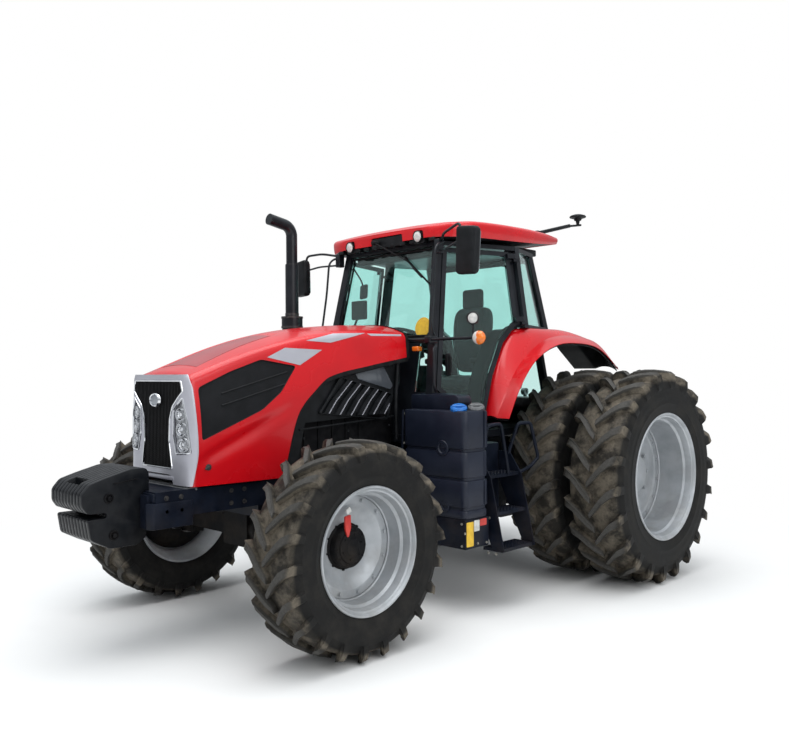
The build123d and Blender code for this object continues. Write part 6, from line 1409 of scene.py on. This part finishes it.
lining = sheet_of(90, 40, lining_point)
thicken(lining, 0.014)
for i in range(-5, 6):
    x = i * 0.105
    if abs(abs(x) - ROOF_LAMP_X) > 0.07:
        add_block(lining, (x - 0.030, -0.008, 2.740), (x + 0.030, 0.10, 2.772), 0.010, 3)
for x in (-ROOF_LAMP_X, ROOF_LAMP_X):
    add_plate(lining, [(x - 0.058, 2.735), (x + 0.058, 2.735), (x + 0.047, 2.830), (x - 0.047, 2.830)],
              (-0.004, 0.05), "Y", corner=0.018, edge=0.004)
add_plate(lining, [(-0.146, 2.745), (0.226, 2.745), (0.212, 2.828), (-0.132, 2.828)], (-0.006, 0.05), "Y",
          corner=0.010, edge=0.004)
add_block(lining, (-0.56, 0.70, 2.742), (0.56, 1.335, 2.800), 0.010)
add_piece("roof_lining", lining, "tractor", MOULDED_BLACK)

bezels, lenses = bmesh.new(), bmesh.new()
for x in (-ROOF_LAMP_X, ROOF_LAMP_X):
    spot = Vector((x, -0.006, 2.788))
    facing = (0.0, -1, -0.08)
    add_spun(bezels, [(-0.030, 0.040), (0.010, 0.047), (0.020, 0.047), (0.022, 0.043), (0.012, 0.041),
                      (-0.02, 0.036)], spot,
             facing, 40)
    add_spun(lenses, [(-0.010, 0.041), (0.016, 0.041), (0.024, 0.030), (0.027, 0.015), (0.028, 0.0)], spot,
             facing, 40, False)
add_piece("roof_lamp_bezels", bezels, "tractor", MOULDED_BLACK, ("work_lamps",))
add_piece("roof_lamp_lenses", lenses, "tractor", WHITE_LENS)

# %% [markdown]
# ## Cab outside
# The wiper and the seals of the windscreen, a grab rail down each front post, the blank round sticker,
# the orange side lamp and the arms with their signals sit on the cab frame. Hinges and grips sit on
# the doors.

# %% Dress the cab
def screen_y(z):
    """Front face of the windscreen at a height."""
    return -0.031 + (z - 1.998) * 0.1902


bm = bmesh.new()
pivot = Vector((-0.060, -0.060, 2.785))
elbow = Vector((0.200, screen_y(2.630) - 0.034, 2.630))
tip = Vector((0.505, screen_y(2.385) - 0.020, 2.385))
add_bar(bm, pivot + Vector((0, 0.05, 0)), pivot - Vector((0, 0.016, 0)), 0.018, sides=20, edge=0.003)
add_pipe(bm, [pivot, elbow + Vector((0.02, -0.008, -0.01)), elbow.lerp(tip, 0.45) - Vector((0, 0.006, 0))],
         0.006, bend=0.05, sides=3)
blade_a = elbow.lerp(tip, -0.10) + Vector((0, 0.012, 0))
add_bar(bm, blade_a, tip + Vector((0.01, 0.012, -0.01)), 0.008, sides=8)
add_bar(bm, elbow.lerp(tip, 0.28), elbow.lerp(tip, 0.62), 0.012, sides=8)
for x in (-0.52785, 0.52785):
    add_bar(bm, (x, screen_y(2.02) - 0.006, 2.02), (x * 0.955, screen_y(2.69) - 0.006, 2.69), 0.009, sides=8)
for z, half in ((2.70, 0.50), (2.01, 0.53)):
    add_bar(bm, (-half, screen_y(z) - 0.004, z), (half, screen_y(z) - 0.004, z), 0.010, sides=8)
add_piece("wiper_and_seals", bm, "tractor", BLACK_RUBBER)

bm = bmesh.new()
for sign in (1, -1):
    add_pipe(bm, [(sign * 0.600, 0.055, 2.735), (sign * 0.615, -0.060, 2.690), (sign * 0.622, -0.085, 2.40),
                  (sign * 0.640, -0.130, 2.06), (sign * 0.640, -0.095, 1.99)], 0.009, bend=0.06, sides=4)
    add_pipe(bm, [(sign * 0.655, -0.105, 1.93), (sign * 0.672, -0.150, 1.90), (sign * 0.690, -0.165, 1.62),
                  (sign * 0.678, -0.130, 1.58)], 0.011, bend=0.04, sides=4)
add_piece("grab_rails", bm, "tractor", CAB_PAINT)

for side, sign in SIDES:
    bm = bmesh.new()
    for z, x in ((2.62, 0.668), (2.08, 0.755)):
        add_block(bm, (sign * x - 0.022, 0.690, z - 0.030), (sign * x + 0.022, 0.760, z + 0.030), 0.008, 3)
        pin_x = sign * (x + 0.016)
        add_bar(bm, (pin_x, 0.735, z - 0.042), (pin_x, 0.735, z + 0.042), 0.010, sides=16, edge=0.002)
    add_piece("door_hinges_" + side, bm, "door_" + side, CAB_PAINT)
    bm = bmesh.new()
    grip_x = sign * 0.668
    add_pipe(bm, [(grip_x, 0.015, 1.86), (grip_x + sign * 0.035, 0.010, 1.85),
                  (grip_x + sign * 0.040, 0.005, 1.72), (grip_x + sign * 0.010, 0.0, 1.70)], 0.009, bend=0.02,
             sides=4)
    add_block(bm, (grip_x - 0.008, -0.008, 1.70), (grip_x + 0.020, 0.034, 1.87), 0.006, 3)
    add_piece("door_grip_" + side, bm, "door_" + side, MOULDED_BLACK)

bm = bmesh.new()
for disc, closed in (([(0.0, 0.078), (0.003, 0.078), (0.003, 0.0)], False),
                     ([(0.003, 0.058), (0.004, 0.056), (0.004, 0.050), (0.003, 0.048)], True)):
    add_spun(bm, disc, (0.445, screen_y(2.075) - 0.004, 2.078), (0, -1, 0.19), 48, closed)
add_piece("round_sticker", bm, "tractor", YELLOW_LABEL)
bm = bmesh.new()
add_block(bm, (0.46, -0.165, 1.888), (0.525, -0.110, 1.925), 0.010, 3)
add_piece("side_marker_lamp", bm, "tractor", AMBER_LENS)
bm = bmesh.new()
for sign in (1, -1):
    add_pipe(bm, [(sign * 0.40, -0.145, 1.975), (sign * 1.065, -0.145, 1.972)], 0.011, sides=4)
    add_pipe(bm, [(sign * 0.40, -0.115, 1.962), (sign * 0.60, -0.115, 1.962)], 0.009, sides=4)
    add_block(bm, (sign * 0.62 - 0.03, -0.165, 1.945), (sign * 0.62 + 0.03, -0.075, 2.000), 0.008, 3)
    add_bar(bm, (sign * 1.050, -0.145, 1.975), (sign * 1.050, -0.145, 2.075), 0.007, sides=12)
    add_spun(bm, [(-0.012, 0.0), (-0.012, 0.040), (-0.006, 0.047), (0.006, 0.047), (0.010, 0.041),
                  (0.004, 0.038)],
             (sign * 1.050, -0.147, 2.113), (sign * 0.30, -1, 0), 40, False)
    add_bar(bm, (sign * 1.055, -0.142, 1.972), (sign * 1.10, -0.142, 1.972), 0.020, sides=20, edge=0.004)
add_piece("lamp_arms", bm, "tractor", CAB_PAINT, ("turn_signals",))
lamps, disc = bmesh.new(), bmesh.new()
for sign in (1, -1):
    spot = Vector((sign * 1.100, -0.138, 1.972))
    add_spun(lamps, [(-0.014, 0.0), (-0.014, 0.044), (0.0, 0.050), (0.014, 0.049), (0.028, 0.040),
                     (0.037, 0.022), (0.040, 0.0)], spot, (sign * 0.20, -1, 0), 44, False)
    add_spun(disc, [(0.003, 0.038), (0.007, 0.034), (0.010, 0.018), (0.011, 0.0)],
             (sign * 1.050, -0.147, 2.113), (sign * 0.30, -1, 0), 40, False)
for face in lamps.faces:
    face.material_index = 1 if abs(face.calc_center_median().x) > 1.100 else 0
add_piece("two_tone_signals", lamps, "tractor", (WHITE_LENS, AMBER_LENS))
add_piece("reflector_discs", disc, "tractor", WHITE_LENS)

# %% [markdown]
# ## Mirrors
# A mirror head is a rounded plate with a glass on its rear face, held by two bent tubes from the roof corner.

# %% Make the mirrors
heads, glass, arms = bmesh.new(), bmesh.new(), bmesh.new()
# columns: side, inner and outer edge, bottom and top, front face
for sign, x_in, x_out, z_low, z_high, front in ((1, 0.915, 1.115, 2.425, 2.785, -0.190),
                                                (-1, 0.895, 1.070, 2.405, 2.735, -0.105)):
    outline = [(sign * x_in, z_low + 0.008), (sign * (x_out - 0.022), z_low), (sign * x_out, z_high - 0.022),
               (sign * (x_in + 0.010), z_high)]
    add_plate(heads, outline, (front, front + 0.072), "Y", corner=0.030, edge=0.022, corner_steps=5)
    add_plate(glass, wider(outline, -0.022), (front + 0.070, front + 0.077), "Y", corner=0.022, edge=0.002)
    hang = Vector((sign * (x_in + 0.022), front + 0.040, z_high - 0.10))
    add_pipe(arms, [(sign * 0.575, 0.055, 2.735), (sign * 0.720, front * 0.45, 2.765),
                    (hang.x, hang.y, z_high + 0.028), (hang.x, hang.y, z_high - 0.05)], 0.010, bend=0.05,
             sides=4)
    add_pipe(arms, [(sign * 0.580, 0.030, 2.660), (sign * 0.760, front * 0.45, 2.655),
                    (hang.x, hang.y, hang.z)], 0.008,
             bend=0.04, sides=3)
    add_block(arms, (sign * 0.575 - 0.025, -0.005, 2.640), (sign * 0.575 + 0.025, 0.060, 2.752), 0.008, 3)
add_piece("mirror_heads", heads, "tractor", MOULDED_BLACK, ("mirrors",))
add_piece("mirror_glasses", glass, "tractor", MIRROR_GLASS)
add_piece("mirror_arms", arms, "tractor", CAB_PAINT)

# %% [markdown]
# ## Fenders
# Each fender is a curved sheet: a flat inner band beside the cab, a crown, a crease and a lip that
# rolls down over the inner rear tyre. A black liner hangs below it and a rubber strip runs along its
# front edge.

# %% Shape the fenders
# all in y and z, from the foot in front over the top to the tail
INNER = ((0.322, 1.380), (0.430, 1.700), (0.560, 1.940), (0.690, 2.062), (0.800, 2.084), (1.060, 2.084),
         (1.340, 2.080), (1.570, 2.030), (1.740, 1.920), (1.955, 1.775))
CREASE = ((0.320, 1.374), (0.422, 1.548), (0.553, 1.726), (0.755, 1.886), (0.966, 1.988), (1.186, 2.026),
          (1.416, 2.024), (1.656, 2.004), (1.823, 1.936), (1.960, 1.790))
LIP = ((0.326, 1.372), (0.429, 1.541), (0.534, 1.679), (0.654, 1.796), (0.791, 1.876), (0.918, 1.926),
       (1.063, 1.958), (1.258, 1.966), (1.492, 1.954), (1.655, 1.914), (1.857, 1.810), (1.955, 1.745))


def along_line(points, share):
    """Point at a share of the length of a line of points."""
    lengths = [0.0]
    for (ya, za), (yb, zb) in zip(points, points[1:]):
        lengths.append(lengths[-1] + math.hypot(yb - ya, zb - za))
    at = lengths[-1] * min(1.0, max(0.0, share))
    return tuple(curve_at([(length, point[k]) for length, point in zip(lengths, points)], at) for k in (0, 1))


def fender_point(u, v, drop=0.0):
    """Point of a fender: u along it from the foot to the tail, v from the cab side to the lip."""
    inner, crease, lip = (along_line(line, u) for line in (INNER, CREASE, LIP))
    if v < 0.42:
        s = v / 0.42
        x, (y, z) = 0.552 + 0.225 * s, inner
    elif v < 0.80:
        s = (v - 0.42) / 0.38
        x = 0.777 + 0.125 * s
        bulge = 0.012 * math.sin(math.pi * s)
        y, z = (a + (b - a) * s ** 1.5 for a, b in zip(inner, crease))
        z += bulge
    else:
        s = (v - 0.80) / 0.20
        x = 0.902 + 0.106 * s ** 0.75
        y, z = (a + (b - a) * s ** 1.15 for a, b in zip(crease, lip))
    return Vector((x, y, z - drop))


def liner_point(u, v):
    """Point of the liner under a fender, kept inside its lip and behind its front edge."""
    x, y, z = fender_point(u, v, 0.016)
    return min(x, 0.992), y + (0.012 if y < 0.5 else 0.0), z


for side, sign in SIDES:
    bm, liner = sheet_of(90, 44, fender_point), sheet_of(90, 44, liner_point)
    for sheet, thickness in ((bm, 0.006), (liner, 0.008)):
        bmesh.ops.scale(sheet, vec=(sign, 1, 1), verts=sheet.verts)
        face_towards(sheet, (0, 0, 1))
        bmesh.ops.solidify(sheet, geom=sheet.faces[:], thickness=thickness)
    for face in bm.faces:
        spot = face.calc_center_median()
        face.material_index = 1 if abs(spot.x) < 0.74 and spot.y < 1.34 else 0
    add_piece("fender_sheet_" + side, bm, "tractor", (RED_PAINT, MOULDED_BLACK),
              ("fender_" + side,), 30)
    add_piece("fender_liner_" + side, liner, "tractor", MOULDED_BLACK)
    strip = bmesh.new()
    points = [fender_point(i / 24 * 0.42, 0.30) for i in range(25)]
    add_pipe(strip, [(sign * (p.x + 0.005), p.y - 0.014, p.z + 0.004) for p in points], 0.024, bend=0.02,
             sides=4, bend_steps=2)
    rear = [fender_point(0.985, i / 20) for i in range(21)]
    add_pipe(strip, [(sign * p.x, p.y + 0.006, p.z - 0.006) for p in rear], 0.007, bend=0.01, sides=3,
             bend_steps=2)
    add_piece("fender_strip_" + side, strip, "tractor", BLACK_RUBBER)
    lamp, lens = bmesh.new(), bmesh.new()
    add_plate(lamp, rect(sign * 0.60, sign * 0.80, 1.885, 1.975), (1.76, 1.90), "Y", corner=0.012, edge=0.005)
    for x in (0.655, 0.745):
        add_spun(lens, [(0.0, 0.0), (0.0, 0.034), (0.010, 0.031), (0.014, 0.0)], (sign * x, 1.899, 1.930),
                 (0, 1, 0), 28, False)
    add_piece("tail_lamp_" + side, lamp, "tractor", MOULDED_BLACK)
    add_piece("tail_lenses_" + side, lens, "tractor", RED_LENS)
print({name: count for name, count in faces_made.items() if "roof" in name or "fender" in name})

# %% [markdown]
# ## Side tanks
# A blow-moulded tank is a stack of soft-edged tiers with grooves between them and a seam down its
# outer corner. It carries two necks with caps, a round boss, blank labels and a skirt plate below.

# %% Make the tanks
TANK_OUT, TANK_IN, TANK_FRONT, TANK_BACK = 1.098, 0.485, -0.298, -0.022
CAP_SPOTS = ((0.985, -0.232), (1.005, -0.060))
TIERS = ((1.182, 1.452, 0.0), (0.978, 1.164, 0.004), (0.772, 0.960, 0.002), (0.690, 0.752, 0.006))
CAP_Z = 1.442
# columns: name, finish, span along Y, span along Z
LABELS = (("yellow", YELLOW_LABEL, (-0.282, -0.206), (0.500, 0.672)),
          ("white", WHITE_LABEL, (-0.200, -0.140), (0.600, 0.678)),
          ("red", RED_LABEL, (-0.134, -0.060), (0.632, 0.680)))


def tank_plan(sign, inset):
    """Outline of a tank seen from above, drawn in by an inset."""
    return rect(sign * (TANK_IN + inset), sign * (TANK_OUT - inset), TANK_FRONT + inset, TANK_BACK - inset)


for side, sign in SIDES:
    bm = bmesh.new()
    for low_z, high_z, inset in TIERS:
        add_plate(bm, tank_plan(sign, inset), (low_z, high_z), "Z", corner=0.045, edge=0.014, corner_steps=6)
    add_plate(bm, tank_plan(sign, 0.016), (0.66, 1.44), "Z", corner=0.036, corner_steps=6)
    add_spun(bm, [(-0.02, 0.055), (0.002, 0.055), (0.006, 0.050), (0.006, 0.038), (0.002, 0.034),
                  (-0.006, 0.032), (-0.006, 0.0)], (sign * 0.885, TANK_FRONT + 0.002, 1.186), (0, -1, 0), 40,
             False)
    add_spun(bm, [(-0.02, 0.046), (0.002, 0.046), (0.005, 0.042), (0.005, 0.030), (-0.004, 0.026),
                  (-0.004, 0.0)],
             (sign * 0.900, TANK_FRONT + 0.006, 0.775), (0, -1, 0), 40, False)
    lean = Vector((sign * 0.30, -0.34, 1)).normalized()
    for x, y in CAP_SPOTS:
        add_spun(bm, [(-0.09, 0.078), (-0.012, 0.074), (0.0, 0.068), (0.012, 0.062), (0.014, 0.050),
                      (0.0, 0.048)],
                 (sign * x, y, CAP_Z), lean, 48, False)
    near, far = sorted((sign * 1.0985, sign * 1.1015))
    add_block(bm, (near, -0.094, 0.70), (far, -0.086, 1.43), 0.001)
    near, far = sorted((sign * 1.09, sign * 1.12))
    tool = bmesh.new()
    add_block(tool, (near, -0.100, 0.66), (far, -0.080, 1.50), 0.0)
    bm = carve(bm, tool)
    add_piece("tank_shell_" + side, bm, "tractor", TANK_PLASTIC, ("side_tank_" + side,), 32)

    bm = bmesh.new()
    add_plate(bm, rect(sign * 0.492, sign * 1.094, TANK_FRONT + 0.006, -0.028), (0.482, 0.688), "Z",
              corner=0.012, edge=0.004)
    add_plate(bm, rect(sign * 0.215, sign * 0.855, -0.02, 0.415), (0.60, 1.18), "Z", corner=0.03, edge=0.010)
    add_plate(bm, rect(sign * 0.40, sign * 0.50, -0.10, -0.03), (0.60, 1.40), "Z", edge=0.004)
    add_pipe(bm, [(sign * 0.50, -0.306, 0.69), (sign * 0.50, -0.312, 1.20), (sign * 0.51, -0.312, 1.45)],
             0.008, sides=3)
    add_piece("tank_skirt_" + side, bm, "tractor", FRAME_PAINT)
    bm = bmesh.new()
    add_bolts(bm, [(sign * x, TANK_FRONT + 0.006, z) for x in (0.54, 0.80, 1.06) for z in (0.505, 0.66)],
              (0, -1, 0), 0.007)
    add_bolts(bm, [(sign * 1.094, y, z) for y, z in ((-0.06, 0.505), (-0.16, 0.512), (-0.30, 0.60))],
              (sign, 0, 0), 0.007)
    add_bolts(bm, [(sign * 0.505, -0.30, 1.20), (sign * 0.505, -0.30, 1.42)], (0, -1, 0), 0.008)
    add_piece("tank_bolts_" + side, bm, "tractor", ZINC)

    caps, grips = bmesh.new(), bmesh.new()
    for holder, (x, y) in zip((caps, grips), CAP_SPOTS):
        spot = Vector((sign * x, y, CAP_Z)) + lean * 0.002
        add_spun(holder, [(0.010, 0.0), (0.010, 0.052), (0.018, 0.057), (0.036, 0.056), (0.045, 0.048),
                          (0.047, 0.030), (0.041, 0.026), (0.041, 0.0)], spot, lean, 40, False)
        side_way = lean.orthogonal().normalized()
        for i in range(16):
            turned = side_way.copy()
            turned.rotate(Matrix.Rotation(2 * math.pi * i / 16, 3, lean))
            rib = spot + turned * 0.056
            add_bar(holder, rib + lean * 0.014, rib + lean * 0.038, 0.005, sides=6)
        top = spot + lean * 0.046
        add_bar(holder, top - side_way * 0.046, top + side_way * 0.046, 0.010, sides=12, edge=0.003)
    add_piece("blue_cap_" + side, caps, "tractor", BLUE_PLASTIC)
    add_piece("grey_cap_" + side, grips, "tractor", GREY_PLASTIC)

    for name, colour, span, heights in LABELS:
        bm = bmesh.new()
        add_plate(bm, rect(*span, *heights), (sign * 1.0935, sign * 1.0955), "X", corner=0.006)
        add_piece(name + "_label_" + side, bm, "tractor", colour)

bm = bmesh.new()
for sign in (1, -1):
    add_plate(bm, [(sign * 0.455, 1.450), (sign * 0.900, 1.450), (sign * 0.932, 1.500), (sign * 0.925, 1.545),
                   (sign * 0.900, 1.562), (sign * 0.455, 1.562)], (-0.168, -0.018), "Y", corner=0.012,
              edge=0.008)
    add_plate(bm, [(sign * 0.52, 1.560), (sign * 0.80, 1.560), (sign * 0.78, 1.570), (sign * 0.54, 1.570)],
              (-0.14, -0.05), "Y", edge=0.003)
    add_plate(bm, rect(sign * 0.455, sign * 0.495, 1.40, 1.45), (-0.168, -0.05), "Y", edge=0.004)
add_piece("tank_top_covers", bm, "tractor", TANK_PLASTIC, ("tank_covers",))

# %% [markdown]
# ## Steps
# The ladder keeps its CAD mesh and gets punched studs on the treads and bolts in the cheeks.

# %% Dress the steps
studs, bolts = bmesh.new(), bmesh.new()
for sign in (1, -1):
    for x0, x1, z in ((0.890, 1.040, 0.9705), (0.952, 1.098, 0.7055), (1.012, 1.162, 0.4505)):
        for i in range(5):
            for j in range(9):
                place = Vector((sign * (x0 + (x1 - x0) * (i + 0.5) / 5), 0.055 + 0.31 * j / 8, z))
                add_bar(studs, place, place + Vector((0, 0, 0.004)), 0.009, 0.005, sides=8)
    for x, z in ((0.92, 0.93), (0.99, 0.665), (1.06, 0.665), (1.05, 0.41), (1.12, 0.41)):
        add_bolts(bolts, [(sign * x, 0.0185, z)], (0, -1, 0), 0.008, 0.007)
        add_bolts(bolts, [(sign * x, 0.4015, z)], (0, 1, 0), 0.008, 0.007)
add_piece("step_studs", studs, "tractor", FRAME_PAINT)
add_piece("step_bolts", bolts, "tractor", ZINC)

# %% [markdown]
# ## Inside the cab
# Seen through tinted glass: a sprung seat with padded cushion and backrest, the steering wheel, an
# instrument hood with dials, a lever console on the right, an inner mirror and a sun blind.

# %% Furnish the cab
def pad_shape(low, high, bow):
    """The shape a pad starts from: a rounded block, gently bowed, a little smaller than its room."""
    bm = bmesh.new()
    bmesh.ops.create_cube(bm, size=2)
    bmesh.ops.subdivide_edges(bm, edges=bm.edges[:], cuts=13, use_grid_fill=True)
    low, high = Vector(low), Vector(high)
    for v in bm.verts:
        reach = sum(abs(c) ** 5 for c in v.co) ** 0.2
        unit = v.co / max(reach, 1)
        v.co = (low + high) / 2 + Vector(unit[k] * (high[k] - low[k]) / 2 for k in range(3))
        v.co.y += bow * unit.z ** 2
    return bm


def plump(bm, voxel, most):
    """Blows a pad up as stuffed cloth, moving no point further than the given distance."""
    mesh = bpy.data.meshes.new("stuffing")
    bm.to_mesh(mesh)
    bm.free()
    stuffed = bpy.data.objects.new("stuffing", mesh)
    scene.collection.objects.link(stuffed)
    knit = stuffed.modifiers.new("knit", "REMESH")
    knit.mode, knit.voxel_size = "VOXEL", voxel
    cloth = stuffed.modifiers.new("cloth", "CLOTH")
    cloth.settings.use_pressure, cloth.settings.uniform_pressure_force = True, 4.0
    cloth.settings.effector_weights.gravity = 0
    cloth.point_cache.frame_start, cloth.point_cache.frame_end = 1, 20
    at_rest = None
    for number in range(1, 21):
        scene.frame_set(number)
        shaped = stuffed.evaluated_get(bpy.context.evaluated_depsgraph_get()).to_mesh()
        if at_rest is None:
            at_rest = [v.co.copy() for v in shaped.vertices]
    out = bmesh.new()
    out.from_mesh(shaped)
    for v, start in zip(out.verts, at_rest):
        move = v.co - start
        v.co = start + move * min(1, most / max(move.length, 1e-6))
    scene.frame_set(1)
    bpy.data.objects.remove(stuffed)
    bpy.data.meshes.remove(mesh)
    bmesh.ops.subdivide_edges(out, edges=out.edges[:], cuts=1, use_grid_fill=True, smooth=0.8)
    return out


def press_seams(bm, low, high, thin):
    """Presses two long sewn channels and one crosswise channel into both faces of a pad."""
    middle_point, half = (Vector(low) + Vector(high)) / 2, (Vector(high) - Vector(low)) / 2
    across, along = 0, 3 - thin
    bm.normal_update()
    for v, normal in [(v, v.normal.copy()) for v in bm.verts]:
        if abs(normal[thin]) > 0.6:
            wide = (v.co[across] - middle_point[across]) / half[across]
            far = (v.co[along] - middle_point[along]) / half[along]
            deep = max(math.exp(-((abs(wide) - 0.62) / 0.035) ** 2), 0.7 * math.exp(-(far / 0.035) ** 2))
            v.co -= normal * 0.007 * deep


SEAT_CLOTH = finish("seat_cloth", (0.030, 0.031, 0.034), (0.055, 0.056, 0.060), (0.75, 0.9), grain=40,
                    bump=0.5, fine=700, sheen=0.3)
for name, thin, bow, smaller in (("seat_cushion", 2, 0.0, (0.012, 0.012, 0.016)),
                                 ("seat_backrest", 1, 0.03, (0.012, 0.024, 0.012))):
    low, high = box_of(name)
    high.y -= 2 * bow
    bm = plump(pad_shape(low + Vector(smaller), high - Vector(smaller), bow), 0.009, 0.014)
    press_seams(bm, low, high, thin)
    pad = add_piece(name + "_pad", bm, "tractor", SEAT_CLOTH, (name,), 60)
bm = bmesh.new()
add_block(bm, (-0.11, 1.10, 2.30), (0.11, 1.17, 2.48), 0.03, 4)
add_block(bm, (-0.30, 0.80, 1.80), (-0.22, 1.12, 1.85), 0.015, 3)
add_block(bm, (0.22, 0.80, 1.80), (0.30, 1.12, 1.85), 0.015, 3)
for x in (-0.26, 0.26):
    add_bar(bm, (x, 1.12, 1.66), (x, 1.10, 1.82), 0.014, sides=12)
add_piece("seat_headrest_and_arms", bm, "tractor", CABIN_PLASTIC)

WHEEL_CENTRE = Vector((0, 0.300, 2.000))
COLUMN = Vector((0, 0.45, 0.893)).normalized()
bm = bmesh.new()
ring_profile = [(0.015 * math.sin(2 * math.pi * i / 14),
                 0.190 + 0.015 * math.cos(2 * math.pi * i / 14)) for i in range(14)]
add_spun(bm, ring_profile, WHEEL_CENTRE, COLUMN, 64)
add_spun(bm, [(-0.022, 0.0), (-0.022, 0.034), (-0.004, 0.040), (0.012, 0.036), (0.020, 0.022), (0.022, 0.0)],
         WHEEL_CENTRE, COLUMN, 32, False)
across = Vector((1, 0, 0))
upward = COLUMN.cross(across)
for turn in (math.pi / 2, math.pi * 7 / 6, math.pi * 11 / 6):
    out = across * math.cos(turn) + upward * math.sin(turn)
    add_bar(bm, WHEEL_CENTRE + out * 0.03, WHEEL_CENTRE + out * 0.182, 0.014, 0.010, sides=12)
add_bar(bm, WHEEL_CENTRE - COLUMN * 0.02, WHEEL_CENTRE - COLUMN * 0.06, 0.0115, sides=20)
add_piece("steering_wheel_rim", bm, "steering_wheel", CABIN_PLASTIC, ("steering_wheel",))

bm = bmesh.new()
add_plate(bm, [(-0.16, 1.87), (0.16, 1.87), (0.14, 1.975), (0.06, 2.005), (-0.06, 2.005), (-0.14, 1.975)],
          (0.03, 0.12), "Y", corner=0.02, edge=0.010)
add_block(bm, (-0.53, 0.62, 1.26), (-0.36, 1.20, 1.74), 0.03, 3)
add_block(bm, (-0.52, 0.56, 1.70), (-0.37, 1.15, 1.79), 0.02, 3)
for x, y, h in ((-0.48, 0.66, 0.13), (-0.43, 0.70, 0.16), (-0.46, 0.80, 0.11), (-0.41, 0.86, 0.12),
                (-0.49, 0.92, 0.09)):
    add_bar(bm, (x, y, 1.78), (x, y - 0.02, 1.78 + h), 0.006, sides=10)
    add_bar(bm, (x, y - 0.02, 1.77 + h), (x, y - 0.028, 1.82 + h), 0.016, 0.012, sides=16, edge=0.004)
add_block(bm, (-0.47, 0.06, 2.18), (-0.30, 0.10, 2.34), 0.012, 3)
add_pipe(bm, [(-0.50, 0.03, 2.06), (-0.46, 0.09, 2.12), (-0.42, 0.10, 2.22)], 0.010, bend=0.03, sides=3)
add_pipe(bm, [(-0.47, 0.10, 2.62), (-0.44, 0.16, 2.52), (-0.42, 0.16, 2.46)], 0.007, bend=0.03, sides=3)
add_plate(bm, [(-0.46, 2.36), (-0.38, 2.37), (-0.37, 2.49), (-0.45, 2.48)], (0.15, 0.175), "Y", corner=0.015,
          edge=0.006)
add_block(bm, (-0.48, 0.14, 2.65), (0.48, 0.22, 2.71), 0.02, 3)
add_block(bm, (-0.50, 1.20, 1.42), (0.50, 1.42, 1.50), 0.02, 3)
add_piece("cab_fittings", bm, "tractor", CABIN_PLASTIC)
bm = bmesh.new()
for i, x in enumerate((-0.09, 0.0, 0.09)):
    add_spun(bm, [(0.0, 0.0), (0.0, 0.034 - 0.004 * (i != 1)), (0.003, 0.032 - 0.004 * (i != 1)),
                  (0.004, 0.0)],
             (x, 0.121, 1.935), (0, 1, 0), 28, False)
add_piece("instrument_dials", bm, "tractor", GREY_PLASTIC)

# %% [markdown]
# ## Antenna and rear linkage
# The guidance antenna is a mushroom disc on a thin rod behind the roof. Bolts go on the three-point
# linkage and the axle flanges, and a guard over the drive shaft.

# %% Make the antenna and dress the rear
bm = bmesh.new()
add_block(bm, (0.425, 1.410, 2.958), (0.525, 1.530, 2.990), 0.006)
add_bar(bm, (0.475, 1.470, 2.975), (0.545, 1.890, 3.085), 0.017, sides=16, edge=0.002)
add_bar(bm, (0.545, 1.860, 3.077), (0.545, 2.080, 3.115), 0.010, sides=12)
add_bar(bm, (0.545, 2.030, 3.105), (0.545, 2.030, 3.150), 0.012, 0.020, sides=16)
add_spun(bm, [(0.0, 0.0), (0.0, 0.030), (0.018, 0.040), (0.028, 0.074), (0.036, 0.078), (0.046, 0.070),
              (0.056, 0.040), (0.059, 0.0)], (0.545, 2.030, 3.150), (0, 0, 1), 48, False)
add_piece("antenna_rod_and_disc", bm, "tractor", MOULDED_BLACK, ("gps_antenna",))

bm = bmesh.new()
for sign in (1, -1):
    add_bolts(bm, [(sign * 0.325, 1.90, 0.56)], (sign, 0, 0), 0.020, 0.014)
    add_bolts(bm, [(sign * 0.18, 1.9305, z) for z in (0.72, 0.86, 1.00)], (0, 1, 0), 0.014, 0.012)
    add_bolts(bm, ring_of(12, (sign * 0.6105, REAR_AXLE.y, REAR_AXLE.z), 0.205), (sign, 0, 0), 0.012, 0.010)
add_piece("linkage_bolts", bm, "tractor", DARK_BOLT)
bm = bmesh.new()
add_plate(bm, [(-0.115, 0.755), (0.115, 0.755), (0.105, 0.640), (0.098, 0.640), (0.104, 0.747),
               (-0.104, 0.747), (-0.098, 0.640), (-0.105, 0.640)], (1.932, 2.040), "Y", edge=0.002)
add_piece("shaft_guard", bm, "tractor", CAB_PAINT)
print(len(faces_made), "pieces")

# %% Measure and finish
print("faces", sum(faces_made.values()), sorted(faces_made.items(), key=lambda pair: -pair[1])[:6])
